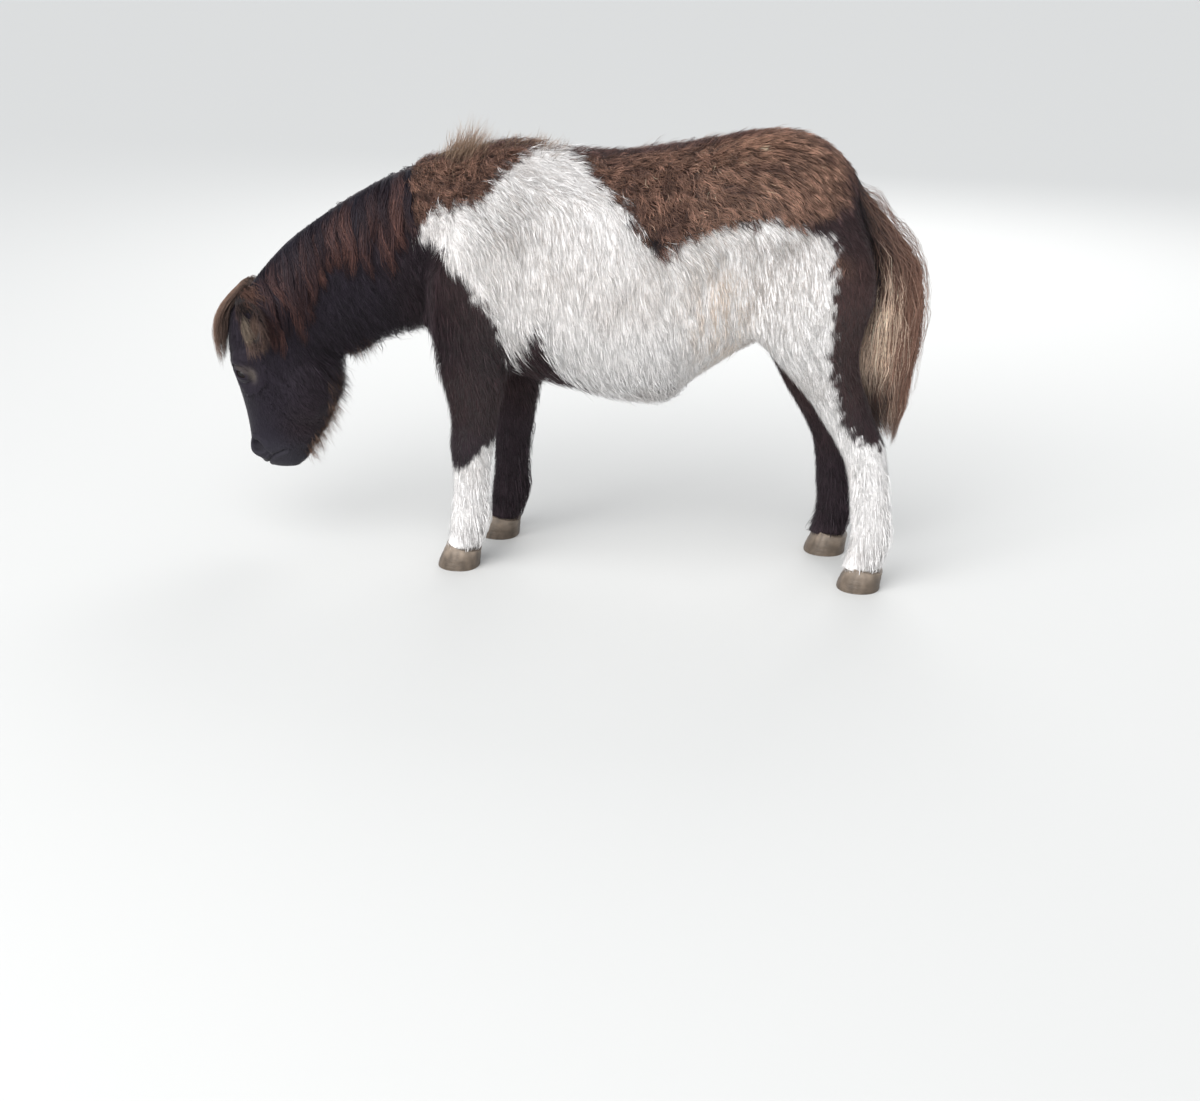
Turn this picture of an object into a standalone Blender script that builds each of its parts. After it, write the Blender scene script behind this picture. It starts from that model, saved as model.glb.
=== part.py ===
"""Life-size still model of a young Shetland pony that grazes on level ground.

The pony faces -X, its left side faces -Y and it stands on z = 0. Lengths are in metres. The flesh is
modelled whole, from lofts and rounded masses fused into one surface, and is then parted by thin cuts
into head, neck, torso and legs. Hooves, eyes, ears and tail are pieces of their own. The mane, forelock,
tail, beard, belly fringe and leg feathers are flat, tapered locks, and the curly coat on the withers and
croup is rounded clumps, all rooted in the flesh and fused with their node before it is cut to size.
"""

import math
import random
from collections import Counter
from dataclasses import dataclass
from itertools import combinations

import bmesh
import bpy
from mathutils import Matrix, Vector
from mathutils.bvhtree import BVHTree
from mathutils.geometry import tessellate_polygon

# ---------------------------------------------------------------- driving dimensions
GAP = 0.0003
FLESH_VOXEL = 0.007
FLESH_SMOOTHING = 10
RING_POINTS = 28
LOFT_STEPS = 4
LOOSE = 0.025
FAR = 1.5
SOLVER = "MANIFOLD"
# An outline's corner moves out along its bisector by at most this much more, as a squared share.
SHARPEST_CORNER = 0.2
# How square the rings are: 2 is an oval.
TRUNK_SQUARE = 2.2
SKULL_SQUARE = 2.3
LEG_SQUARE = 2.1
OVAL = 2.0

# Trunk: x, top z, bottom z, half width, z of the widest place.
TRUNK = (
    (-0.392, 0.590, 0.470, 0.035, 0.53),
    (-0.375, 0.650, 0.425, 0.085, 0.52),
    (-0.330, 0.762, 0.395, 0.118, 0.53),
    (-0.265, 0.794, 0.378, 0.138, 0.53),
    (-0.190, 0.795, 0.362, 0.152, 0.53),
    (-0.110, 0.784, 0.346, 0.170, 0.52),
    (-0.030, 0.782, 0.330, 0.183, 0.52),
    (0.050, 0.790, 0.333, 0.185, 0.53),
    (0.120, 0.803, 0.372, 0.174, 0.55),
    (0.190, 0.820, 0.425, 0.158, 0.58),
    (0.260, 0.823, 0.470, 0.148, 0.61),
    (0.320, 0.805, 0.520, 0.130, 0.63),
    (0.365, 0.765, 0.570, 0.095, 0.65),
    (0.386, 0.715, 0.620, 0.045, 0.66),
)
# Neck: middle x, middle z, half depth, half width, tilt of the crest direction from +Z towards -X.
NECK = (
    (-0.250, 0.612, 0.156, 0.095, 0.0),
    (-0.350, 0.609, 0.166, 0.100, 4.0),
    (-0.445, 0.588, 0.149, 0.086, 12.0),
    (-0.535, 0.553, 0.130, 0.074, 22.0),
    (-0.620, 0.502, 0.116, 0.066, 33.0),
    (-0.690, 0.446, 0.099, 0.060, 42.0),
)
# Head: z, x of the face line, x of the jaw line, half width, x of the widest place.
HEAD = (
    (0.512, -0.765, -0.720, 0.022, -0.745),
    (0.500, -0.784, -0.680, 0.040, -0.740),
    (0.470, -0.797, -0.630, 0.055, -0.735),
    (0.430, -0.803, -0.600, 0.062, -0.735),
    (0.390, -0.802, -0.592, 0.066, -0.735),
    (0.355, -0.796, -0.596, 0.068, -0.735),
    (0.315, -0.787, -0.598, 0.064, -0.720),
    (0.275, -0.781, -0.605, 0.056, -0.702),
    (0.240, -0.778, -0.622, 0.046, -0.702),
    (0.210, -0.776, -0.643, 0.041, -0.710),
    (0.185, -0.770, -0.665, 0.034, -0.718),
    (0.166, -0.756, -0.672, 0.024, -0.716),
    (0.154, -0.735, -0.684, 0.012, -0.712),
)
# Legs, each from the top down: z, x, y, half length, half width. The x is from the hoof's middle.
FORE_LEG = (
    (0.640, 0.060, 0.088, 0.075, 0.045),
    (0.560, 0.040, 0.098, 0.090, 0.052),
    (0.480, 0.030, 0.102, 0.085, 0.052),
    (0.420, 0.030, 0.102, 0.072, 0.048),
    (0.350, 0.032, 0.098, 0.055, 0.041),
    (0.290, 0.030, 0.092, 0.045, 0.035),
    (0.245, 0.024, 0.088, 0.045, 0.037),
    (0.200, 0.022, 0.086, 0.038, 0.031),
    (0.140, 0.018, 0.085, 0.035, 0.028),
    (0.095, 0.014, 0.085, 0.038, 0.032),
    (0.065, 0.008, 0.085, 0.032, 0.031),
    (0.035, -0.004, 0.085, 0.036, 0.035),
)
HIND_LEG = (
    (0.720, -0.140, 0.070, 0.085, 0.050),
    (0.640, -0.135, 0.090, 0.115, 0.062),
    (0.560, -0.130, 0.102, 0.125, 0.064),
    (0.490, -0.132, 0.104, 0.108, 0.056),
    (0.430, -0.105, 0.098, 0.076, 0.048),
    (0.370, -0.070, 0.091, 0.057, 0.040),
    (0.315, -0.040, 0.088, 0.050, 0.036),
    (0.275, -0.018, 0.088, 0.047, 0.035),
    (0.225, -0.004, 0.088, 0.039, 0.031),
    (0.160, 0.002, 0.088, 0.037, 0.030),
    (0.100, 0.008, 0.088, 0.038, 0.033),
    (0.068, 0.000, 0.088, 0.034, 0.032),
    (0.035, -0.010, 0.088, 0.037, 0.035),
)
SIDES = {"left": -1, "right": 1}
FORE_HOOF_X = {"left": -0.338, "right": -0.292}
HIND_HOOF_X = {"left": 0.428, "right": 0.362}
FORE_HOOF_Y = 0.085
HIND_HOOF_Y = 0.088

# Rounded masses: middle, radii, for the left side and its mirror.
MASSES = (
    ((-0.300, -0.092, 0.560), (0.080, 0.055, 0.130)),
    ((-0.328, -0.060, 0.475), (0.055, 0.055, 0.070)),
    ((0.235, -0.085, 0.660), (0.125, 0.070, 0.110)),
    ((0.245, -0.105, 0.520), (0.070, 0.050, 0.070)),
    ((-0.655, -0.036, 0.325), (0.062, 0.034, 0.072)),
    ((-0.758, -0.050, 0.382), (0.030, 0.026, 0.030)),
    ((-0.748, -0.024, 0.200), (0.026, 0.018, 0.022)),
)
MIDLINE_MASSES = (
    ((-0.676, 0.0, 0.188), (0.020, 0.022, 0.022)),
    ((-0.372, 0.0, 0.515), (0.060, 0.080, 0.100)),
    ((0.365, 0.0, 0.732), (0.052, 0.030, 0.036)),
)

# ---------------------------------------------------------------- the coat's locks and clumps
@dataclass(frozen=True)
class Kind:
    """One kind of lock: its size, its height over the flesh from root to tip, and how far it turns down."""

    length: float
    width: float
    thick: float
    rise: tuple
    droop: float


MANE = Kind(0.200, 0.040, 0.007, (-0.010, 0.014, 0.015, 0.012, 0.006), 1.6)
MANE_UNDER = Kind(0.150, 0.042, 0.007, (-0.010, 0.005, 0.005, 0.005, 0.005), 1.6)
MANE_FAR = Kind(0.085, 0.040, 0.007, (-0.010, 0.005, 0.005, 0.005, 0.005), 1.2)
FORELOCK = Kind(0.140, 0.024, 0.007, (-0.011, 0.005, 0.008, 0.010, 0.010), 0.8)
TUFT = Kind(0.075, 0.030, 0.008, (-0.011, 0.006, 0.014, 0.021, 0.027), 0.0)
BEARD = Kind(0.055, 0.026, 0.007, (-0.010, 0.005, 0.009, 0.012, 0.015), 0.6)
BELLY = Kind(0.110, 0.048, 0.007, (-0.010, 0.004, 0.005, 0.006, 0.008), 0.3)
COAT = Kind(0.145, 0.043, 0.006, (-0.010, 0.003, 0.004, 0.004), 0.2)
FRINGE = Kind(0.100, 0.036, 0.008, (-0.010, 0.004, 0.005, 0.007), 0.8)
FEATHER = Kind(0.066, 0.027, 0.007, (-0.010, 0.005, 0.009, 0.012, 0.015), 1.6)
LAYER = 0.0075
# After a union the slivers where locks cross are collapsed: edges shorter than this, in so many passes,
# where no face turns further than this cosine.
SLIVER = {"torso": 0.0068, "neck": 0.0045, "head": 0.0045, "leg": 0.0045, "tail": 0.0055}
SLIVER_PASSES = 14
SLIVER_TURN = 0.82
SEEDS = {"head": 31, "neck": 12, "torso": 13, "clumps": 14, "leg": 15, "tail": 16, "body": 17}
LOCK_SHORTER = (1.0, 0.8, 0.62, 0.46)
LOCK_MARGIN = 0.004
LOCK_VARIES = 0.16
# A lock's width: share at its root, how fast it widens, where the taper starts and how it bends.
LOCK_ROOT = 0.55
LOCK_WIDENS = 1.6
LOCK_FULL = 0.3
LOCK_TAPER = 1.5

# Mane: how many locks in each row, where it starts and ends along the crest, and its slant back at
# the poll, middle and withers.
MANE_COUNT = 19
MANE_UNDER_COUNT = 13
MANE_FAR_COUNT = 9
MANE_SPAN = (-0.712, -0.425)
MANE_SLANT = (0.55, 0.05, 0.16)
MANE_UNDER_DROP = 0.035
# Its rows: count, kind, drop below the crest, y of the roots, and the way's y and z.
MANE_ROWS = (
    (MANE_UNDER_COUNT, MANE_UNDER, MANE_UNDER_DROP, -0.050, (-0.5, -0.8)),
    (MANE_COUNT, MANE, 0.0, 0.006, (-1.0, -0.2)),
    (MANE_FAR_COUNT, MANE_FAR, 0.0, 0.016, (1.0, -0.2)),
)

# Forelock: how many locks, where they root, how far they spread at the root and in their way.
FORELOCK_COUNT = 8
FORELOCK_ROOT = (-0.772, 0.509)
FORELOCK_SPREAD = 0.026
FORELOCK_ROOT_SHARE = 0.6
FORELOCK_FANS = 14.0
FORELOCK_FALL = -0.3
# Tuft over the withers: count, where along the back, distance from the middle, level and way.
TUFT_COUNT = 7
TUFT_SPAN = (-0.335, -0.175)
TUFT_ASIDE = 0.012
TUFT_Z = 0.80
TUFT_WAY = (0.9, 0.1, 0.2)
# Beard: x and z along each edge of the jaw, distance from the middle and way.
BEARD_LINE = ((-0.655, 0.185), (-0.625, 0.235), (-0.600, 0.285), (-0.592, 0.330))
BEARD_COUNT = 6
BEARD_Y = 0.016
BEARD_BACK = 0.02
BEARD_WAY = (0.35, -0.15, -1.0)
# Belly: where along it, how many in each row, level that they root from, and the rows' y.
BELLY_SPAN = (-0.185, 0.130)
BELLY_COUNT = 6
BELLY_ROWS = (0.0, -0.075, 0.075)
BELLY_Z = 0.30
BELLY_SWEEP = -4.0
BELLY_DOWN = -0.4
# Legs: level of the feathers, their turns round the back of the fetlock, and the levels of the fringe.
FEATHER_LEVEL = 0.098
FEATHER_TURNS = (-66, -22, 22, 66)
FEATHER_ASIDE = 0.06
FEATHER_OUT = 0.2
FRINGE_LEVELS = {"fore": (0.22, 0.36), "hind": (0.22, 0.50)}
FRINGE_BEHIND = 0.03
FRINGE_WAY = (0.2, 0.0, -1.0)

# Flat locks on the body's sides: the lie of the hair, where the locks start and end and their step along x
# and down z, their distance from the middle and how far they stray.
BODY_LIE = (0.30, 0.0, -1.0)
BODY_Y = 0.20
BODY_X = (-0.262, 0.345, 0.052)
BODY_Z = (0.690, 0.385, 0.078)
BODY_STRAY = 0.018

# Clumps: distance between them, radii, height of their middle over the flesh, how far they stray, and their
# rows: from where to where, round an axis at this level and radius, up to this many radians on each side.
CLUMP_STEP = 0.057
CLUMP_RADII = (0.037, 0.029, 0.016)
CLUMP_SEGMENTS = (6, 3)
CLUMP_OVER = -0.001
CLUMP_STRAY = 0.008
CLUMP_VARIES = 0.2
CLUMP_X = (-0.340, 0.400)
CLUMP_ROW = 0.87
CLUMP_AXIS_Z = 0.60
CLUMP_AXIS_RADIUS = 0.19
CLUMP_LAST = 1.9
# Outlines of the curly brown patches on the left, x and z. The right side's lie further back.
CURLY_WITHERS = (
    (-0.412, 0.655), (-0.371, 0.680), (-0.301, 0.693), (-0.253, 0.741), (-0.200, 0.790), (-0.190, 0.900),
    (-0.450, 0.900),
)
CURLY_CROUP = (
    (-0.146, 0.785), (-0.088, 0.753), (-0.030, 0.711), (0.028, 0.622), (0.112, 0.668), (0.247, 0.689),
    (0.347, 0.649), (0.500, 0.640), (0.500, 0.950), (-0.146, 0.950),
)
RIGHT_BACK = 0.025

# Regions that part the whole flesh, as outlines in the x, z plane.
HEAD_REGION = (
    (-1.00, 0.0), (-0.50, 0.0), (-0.50, 0.335), (-0.56, 0.365),
    (-0.68, 0.412), (-0.730, 0.520), (-0.745, 0.70), (-1.00, 0.70),
)
NECK_REGION = (
    (-0.50, 0.335), (-0.46, 0.388), (-0.372, 0.3795), (-0.352, 0.79), (-0.345, 1.00), (-0.80, 1.00),
    (-0.745, 0.70), (-0.730, 0.520), (-0.68, 0.412), (-0.56, 0.365),
)
TAIL_REGION = (
    (0.358, 1.00), (0.358, 0.80), (0.378, 0.745), (0.396, 0.69), (0.409, 0.60), (0.409, 0.49),
    (0.395, 0.45), (0.392, 0.38), (0.392, 0.10), (0.80, 0.10), (0.80, 1.00),
)
FORE_TOP = ((-0.19, 0.362), (-0.46, 0.388))
HIND_TOP = ((0.62, 0.560), (0.172, 0.418))
FORE_REGION_X = (-0.46, -0.19)
HIND_REGION_X = (0.172, 0.62)
FORE_PARTING_Y = 0.022
HIND_PARTING_Y = 0.010

# Behind the heel the leg's feathers may hang lower than the coronet.
HEEL_BACK = 0.037
FEATHER_FLOOR = 0.012

# Hooves: level, half length, half width, x from the hoof's middle. The coronet is higher in front.
HOOF_RINGS = (
    (0.000, 0.043, 0.040, -0.006),
    (0.012, 0.042, 0.039, -0.004),
    (0.040, 0.037, 0.035, 0.004),
    (0.070, 0.032, 0.030, 0.012),
)
HOOF_POINTS = 18
HOOF_REACH = 0.1
HEEL_SHARE = 0.86
CORONET_Z = 0.042
CORONET_TILT = 0.22

# Eyes: radius, middle, the way they look, half sizes of the opening of the lids and how it narrows inwards.
EYE_RADIUS = 0.0170
EYE_MIDDLE = (-0.758, 0.0555, 0.359)
EYE_LOOKS = (-0.30, 1.0, 0.06)
EYE_SEGMENTS = (12, 8)
LID_THICKNESS = 0.0036
EYE_OPENING = (0.0150, 0.0088)
OPENING_NARROWS = 0.35
OPENING_DEPTH = 1.45
EYE_SLANT = -27.0

EAR_ROOT = (-0.757, 0.040, 0.487)
EAR_TIP = (-0.703, 0.112, 0.434)
EAR_OPENS = (-0.605, 0.714, 0.353)
# Ear: share of the length, half width, half depth.
EAR_RINGS = (
    (-0.06, 0.0150, 0.014),
    (0.22, 0.0230, 0.019),
    (0.48, 0.0265, 0.019),
    (0.74, 0.0190, 0.013),
    (0.92, 0.0090, 0.007),
    (1.00, 0.0030, 0.003),
)
EAR_WALL = 0.0045
EAR_POINTS = 10
# The cup's hollow: share of the length where it starts, its length as a share, how far it lies to the open side.
CUP_START = 0.10
CUP_LENGTH = 0.82
CUP_OFFSET = 0.009
CUP_LEAST = 0.001
EAR_CLEARANCE = 0.0006

NOSTRIL_MIDDLE = (-0.753, 0.034, 0.203)
NOSTRIL_RADII = (0.0065, 0.014, 0.0115)
NOSTRIL_TURNS = (-20.0, 24.0)
NOSTRIL_SEGMENTS = (10, 6)
MOUTH_LINE = ((-0.748, 0.140), (-0.741, 0.168), (-0.722, 0.187), (-0.697, 0.199))
MOUTH_WIDTH = 0.0016

# Tail: middle x, z, half depth, half width, tilt of the ring from level.
TAIL = (
    (0.366, 0.746, 0.016, 0.020, 64.0),
    (0.385, 0.710, 0.022, 0.027, 48.0),
    (0.417, 0.655, 0.031, 0.038, 30.0),
    (0.449, 0.598, 0.042, 0.046, 14.0),
    (0.454, 0.520, 0.051, 0.047, 2.0),
    (0.447, 0.430, 0.050, 0.040, -4.0),
    (0.443, 0.350, 0.044, 0.033, -3.0),
    (0.450, 0.290, 0.030, 0.023, 4.0),
    (0.457, 0.248, 0.015, 0.012, 6.0),
    (0.461, 0.224, 0.004, 0.004, 8.0),
)

# The tail's core: share of the tail's length and radius, how much thinner it ends, points of its rings.
CORE_LENGTH = 0.48
CORE_RADIUS = 0.45
CORE_THINNER = 0.75
CORE_POINTS = 10
# Tail locks: where they start and end along it, how many, width, share of the radius at root and tip.
TAIL_TIERS = (
    (0.06, 0.62, 7, 0.044, 0.20, 1.00),
    (0.18, 0.82, 7, 0.040, 0.20, 0.78),
    (0.30, 1.00, 7, 0.034, 0.20, 0.56),
)
TAIL_LOCK_THICK = 0.008
TAIL_LOCK_POINTS = 6
TAIL_LOCK_STRAYS = 0.05
TAIL_LOCK_OPENS = 2.2
TAIL_LOCK_TURN = 0.25
TAIL_LOCK_TURNS = (0.2, 0.8)

TRIANGLE_SHARE = {"torso": 0.018, "neck": 0.030, "head": 0.115, "leg": 0.045}

UP = Vector((0, 0, 1))
RIGHT = Vector((0, 1, 0))
FORWARD = Vector((-1, 0, 0))

COLOURS = {
    "flesh_dark": (0.035, 0.026, 0.024, 1.0),
    "flesh_white": (0.78, 0.74, 0.69, 1.0),
    "tail_hair": (0.13, 0.085, 0.055, 1.0),
    "horn": (0.23, 0.19, 0.15, 1.0),
    "eye": (0.012, 0.008, 0.006, 1.0),
}
ROUGHNESS = {"eye": 0.35, "horn": 0.35}
HAIR_ROUGHNESS = 0.85
WHITE_NODES = ("torso", "leg_fore_left", "leg_hind_left")


# ---------------------------------------------------------------- tools
def material(name, roughness):
    """A plain material in one of the named colours."""
    made = bpy.data.materials.new(name)
    made.use_nodes = True
    shader = made.node_tree.nodes["Principled BSDF"]
    shader.inputs["Base Color"].default_value = COLOURS[name]
    shader.inputs["Roughness"].default_value = roughness
    made.diffuse_color = COLOURS[name]
    return made


def collection(name):
    made = bpy.data.collections.new(name)
    bpy.context.scene.collection.children.link(made)
    return made


def put(mesh, name, where):
    """A new object of this mesh in that collection."""
    made = bpy.data.objects.new(name, mesh)
    where.objects.link(made)
    return made


def helper(mesh, name):
    """A cutter or guide, which isn't part of the pony."""
    made = put(mesh, name, CUTTERS)
    made.hide_render = True
    made.display_type = "WIRE"
    return made


def mesh_of(bm, name):
    mesh = bpy.data.meshes.new(name)
    bm.to_mesh(mesh)
    bm.free()
    return mesh


def evaluated(obj):
    """The mesh of an object after its modifiers."""
    bpy.context.view_layer.update()
    graph = bpy.context.evaluated_depsgraph_get()
    mesh = bpy.data.meshes.new_from_object(obj.evaluated_get(graph))
    mesh.transform(obj.matrix_world)
    return mesh


def bake(obj):
    """Applies an object's modifiers to its mesh."""
    mesh = evaluated(obj)
    obj.modifiers.clear()
    obj.data = mesh
    return obj


def boolean(obj, operation, other):
    made = obj.modifiers.new(operation.lower(), "BOOLEAN")
    made.operation = operation
    made.object = other
    made.solver = SOLVER
    return made


def between(rows, steps):
    """Rows of numbers with smooth rows put between them, by Catmull-Rom."""
    found = []
    last = len(rows) - 1
    for i in range(last):
        a, b, c, d = rows[max(i - 1, 0)], rows[i], rows[i + 1], rows[min(i + 2, last)]
        for k in range(steps):
            t = k / steps
            found.append(tuple(
                0.5 * (2 * q + (r - p) * t + (2 * p - 5 * q + 4 * r - s) * t * t + (3 * q - p - 3 * r + s) * t ** 3)
                for p, q, r, s in zip(a, b, c, d)
            ))
    found.append(tuple(rows[last]))
    return found


def ring(middle, along, across, front, back, side, square, points=RING_POINTS):
    """A closed ring of points: an oval whose front and back reach differ."""
    found = []
    for k in range(points):
        angle = 2 * math.pi * k / points
        c, s = math.cos(angle), math.sin(angle)
        reach = (front if c > 0 else back) * math.copysign(abs(c) ** (2 / square), c)
        found.append(middle + along * reach + across * (side * math.copysign(abs(s) ** (2 / square), s)))
    return found


def loft(rings, tip=None):
    """A closed bmesh through rings of equal count, closed by a cap or drawn to a tip."""
    bm = bmesh.new()
    rows = [[bm.verts.new(p) for p in r] for r in rings]
    count = len(rows[0])
    for a, b in zip(rows, rows[1:]):
        for k in range(count):
            bm.faces.new((a[k], a[(k + 1) % count], b[(k + 1) % count], b[k]))
    bm.faces.new(reversed(rows[0]))
    if tip is None:
        bm.faces.new(rows[-1])
    else:
        end = bm.verts.new(tip)
        for k in range(count):
            bm.faces.new((rows[-1][k], rows[-1][(k + 1) % count], end))
    bmesh.ops.recalc_face_normals(bm, faces=bm.faces[:])
    return bm


def oval(middle, radii, segments=24, rings=14):
    """A closed ellipsoid."""
    bm = bmesh.new()
    scale = Matrix.Translation(middle) @ Matrix.Diagonal((*radii, 1.0))
    bmesh.ops.create_uvsphere(bm, u_segments=segments, v_segments=rings, radius=1.0, matrix=scale)
    return bm


def grown(outline, distance):
    """An anticlockwise outline with every side moved out by the distance."""
    found = []
    count = len(outline)
    for k in range(count):
        before, here, after = (Vector(outline[(k + d) % count]) for d in (-1, 0, 1))
        one, two = (here - before).normalized(), (after - here).normalized()
        out = Vector((one.y + two.y, -one.x - two.x)) / 2
        found.append(tuple(here + out * (distance / max(out.length_squared, SHARPEST_CORNER))))
    return found


def holds(outline, x, z):
    """Whether an outline in the x, z plane holds a point."""
    found = False
    for (x1, z1), (x2, z2) in zip(outline, outline[1:] + outline[:1]):
        if (z1 > z) != (z2 > z) and x < (x2 - x1) * (z - z1) / (z2 - z1) + x1:
            found = not found
    return found


def prism(outline, y_low, y_high, name):
    """A helper solid: an outline in the x, z plane carried along Y."""
    bm = bmesh.new()
    face = bm.faces.new([bm.verts.new((x, y_low, z)) for x, z in outline])
    moved = bmesh.ops.extrude_face_region(bm, geom=[face])
    verts = [v for v in moved["geom"] if isinstance(v, bmesh.types.BMVert)]
    bmesh.ops.translate(bm, verts=verts, vec=(0, y_high - y_low, 0))
    bmesh.ops.recalc_face_normals(bm, faces=bm.faces[:])
    return helper(mesh_of(bm, name), name)


def triangles_of(bm, face):
    """Corners of the triangles that fill a face without doubling an edge, or None."""
    corners = face.verts[:]
    count = len(corners)
    for start in range(count):
        turned = corners[start:] + corners[:start]
        found = [sorted(three) for three in tessellate_polygon([[v.co for v in turned]])]
        uses = Counter(pair for three in found for pair in combinations(three, 2))
        sides = {pair: pair[1] - pair[0] in (1, count - 1) for pair in uses}
        if (
            len(found) == count - 2
            and sum(sides.values()) == count
            and all(used == (1 if sides[pair] else 2) for pair, used in uses.items())
            and not any(bm.edges.get((turned[one], turned[two])) for (one, two), side in sides.items() if not side)
        ):
            return [[turned[k] for k in three] for three in found]
    return None


def triangulated(obj):
    """Triangulates a mesh face by face, so that no new edge doubles one that is there already."""
    bm = bmesh.new()
    bm.from_mesh(obj.data)
    for face in [face for face in bm.faces if len(face.verts) > 3]:
        found = triangles_of(bm, face)
        if found is None:
            bmesh.ops.poke(bm, faces=[face])
            continue
        bm.faces.remove(face)
        for corners in found:
            bm.faces.new(corners)
    bm.to_mesh(obj.data)
    bm.free()
    return obj


def turned_little(vert, kept):
    """Whether the faces round a vertex keep their direction when it moves to its kept neighbour."""
    for face in vert.link_faces:
        if kept in face.verts:
            continue
        corners = [kept.co if v is vert else v.co for v in face.verts]
        normal = (corners[1] - corners[0]).cross(corners[2] - corners[0])
        if normal.length < 1e-12 or normal.normalized().dot(face.normal) < SLIVER_TURN:
            return False
    return True


def without_slivers(obj):
    """Collapses short edges of a closed mesh, wherever that keeps it closed and doesn't fold it."""
    triangulated(obj)
    sliver = SLIVER[obj.name.split("_")[0]]
    bm = bmesh.new()
    bm.from_mesh(obj.data)
    for _ in range(SLIVER_PASSES):
        bm.normal_update()
        used, moves = set(), {}
        short = [edge for edge in bm.edges if edge.calc_length() < sliver]
        for edge in sorted(short, key=lambda e: e.calc_length()):
            for gone, kept in (edge.verts, reversed(edge.verts)):
                round_gone = {e.other_vert(gone) for e in gone.link_edges}
                round_kept = {e.other_vert(kept) for e in kept.link_edges}
                both = round_gone | round_kept
                if both & used or len(round_gone & round_kept) != 2 or not turned_little(gone, kept):
                    continue
                moves[gone] = kept
                used |= both
                break
        if not moves:
            break
        bmesh.ops.weld_verts(bm, targetmap=moves)
    bm.to_mesh(obj.data)
    bm.free()
    return obj


def joined(node, pieces):
    """Fuses closed pieces with the node that they are rooted in, by one union."""
    group = collection(node.name + "_pieces")
    for piece in pieces:
        put(mesh_of(piece, "piece"), node.name + "_piece", group)
    union = node.modifiers.new("union", "BOOLEAN")
    union.operation = "UNION"
    union.operand_type = "COLLECTION"
    union.collection = group
    union.solver = SOLVER
    without_slivers(bake(node))
    for obj in list(group.objects):
        bpy.data.objects.remove(obj, do_unlink=True)
    bpy.data.collections.remove(group)
    return node


def keep_largest(obj):
    """Removes all but the largest closed surface of an object's mesh."""
    bm = bmesh.new()
    bm.from_mesh(obj.data)
    bm.verts.ensure_lookup_table()
    seen, groups = set(), []
    for start in bm.verts:
        if start in seen:
            continue
        seen.add(start)
        group, todo = [], [start]
        while todo:
            v = todo.pop()
            group.append(v)
            for e in v.link_edges:
                o = e.other_vert(v)
                if o not in seen:
                    seen.add(o)
                    todo.append(o)
        groups.append(group)
    groups.sort(key=len)
    for group in groups[:-1]:
        bmesh.ops.delete(bm, geom=group, context="VERTS")
    bm.to_mesh(obj.data)
    bm.free()
    return obj


def finished(obj, paint):
    """Triangulates, shades and paints a node."""
    triangulated(obj)
    obj.data.shade_smooth()
    obj.data.materials.clear()
    obj.data.materials.append(paint)
    return obj


# ---------------------------------------------------------------- the whole flesh
def trunk():
    rows = between(TRUNK, LOFT_STEPS)
    return loft([
        ring(Vector((x, 0, wide)), UP, RIGHT, top - wide, wide - bottom, half, TRUNK_SQUARE)
        for x, top, bottom, half, wide in rows
    ])


def neck():
    found = []
    for x, z, deep, half, tilt in between(NECK, LOFT_STEPS):
        a = math.radians(tilt)
        up = Vector((-math.sin(a), 0, math.cos(a)))
        found.append(ring(Vector((x, 0, z)), up, RIGHT, deep, deep, half, OVAL))
    return loft(found)


def skull():
    rows = between(HEAD, LOFT_STEPS)
    return loft([
        ring(Vector((wide, 0, z)), FORWARD, RIGHT, wide - face, jaw - wide, half, SKULL_SQUARE)
        for z, face, jaw, half, wide in rows
    ])


def leg(rows, hoof_x, side):
    return loft([
        ring(Vector((hoof_x + x, side * y, z)), FORWARD, RIGHT, long, long, wide, LEG_SQUARE)
        for z, x, y, long, wide in between(rows, LOFT_STEPS)
    ])


def whole_flesh():
    """Every lump of flesh fused into one smooth surface."""
    parts = [trunk(), neck(), skull()]
    for side in SIDES:
        parts.append(leg(FORE_LEG, FORE_HOOF_X[side], SIDES[side]))
        parts.append(leg(HIND_LEG, HIND_HOOF_X[side], SIDES[side]))
        for (x, y, z), radii in MASSES:
            parts.append(oval((x, -y * SIDES[side], z), radii))
    parts += [oval(middle, radii) for middle, radii in MIDLINE_MASSES]
    joined = bmesh.new()
    for part in parts:
        mesh = mesh_of(part, "lump")
        joined.from_mesh(mesh)
        bpy.data.meshes.remove(mesh)
    flesh = helper(mesh_of(joined, "flesh"), "flesh")
    fuse = flesh.modifiers.new("fuse", "REMESH")
    fuse.mode = "VOXEL"
    fuse.voxel_size = FLESH_VOXEL
    calm = flesh.modifiers.new("calm", "SMOOTH")
    calm.factor = 0.5
    calm.iterations = FLESH_SMOOTHING
    return bake(flesh)


# ---------------------------------------------------------------- locks and clumps
def own(name, point, every, margin=LOCK_MARGIN):
    """Whether a point belongs to the named node, clear of the cuts round it."""
    x, y, z = point
    if name in every:
        outline, low, high = every[name]
        return holds(grown(outline, -margin), x, z) and low + margin < y < high - margin
    if holds(grown(TAIL_REGION, margin), x, z):
        return False
    return not any(
        holds(grown(outline, margin), x, z) and low - margin < y < high + margin
        for outline, low, high in every.values()
    )


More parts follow.
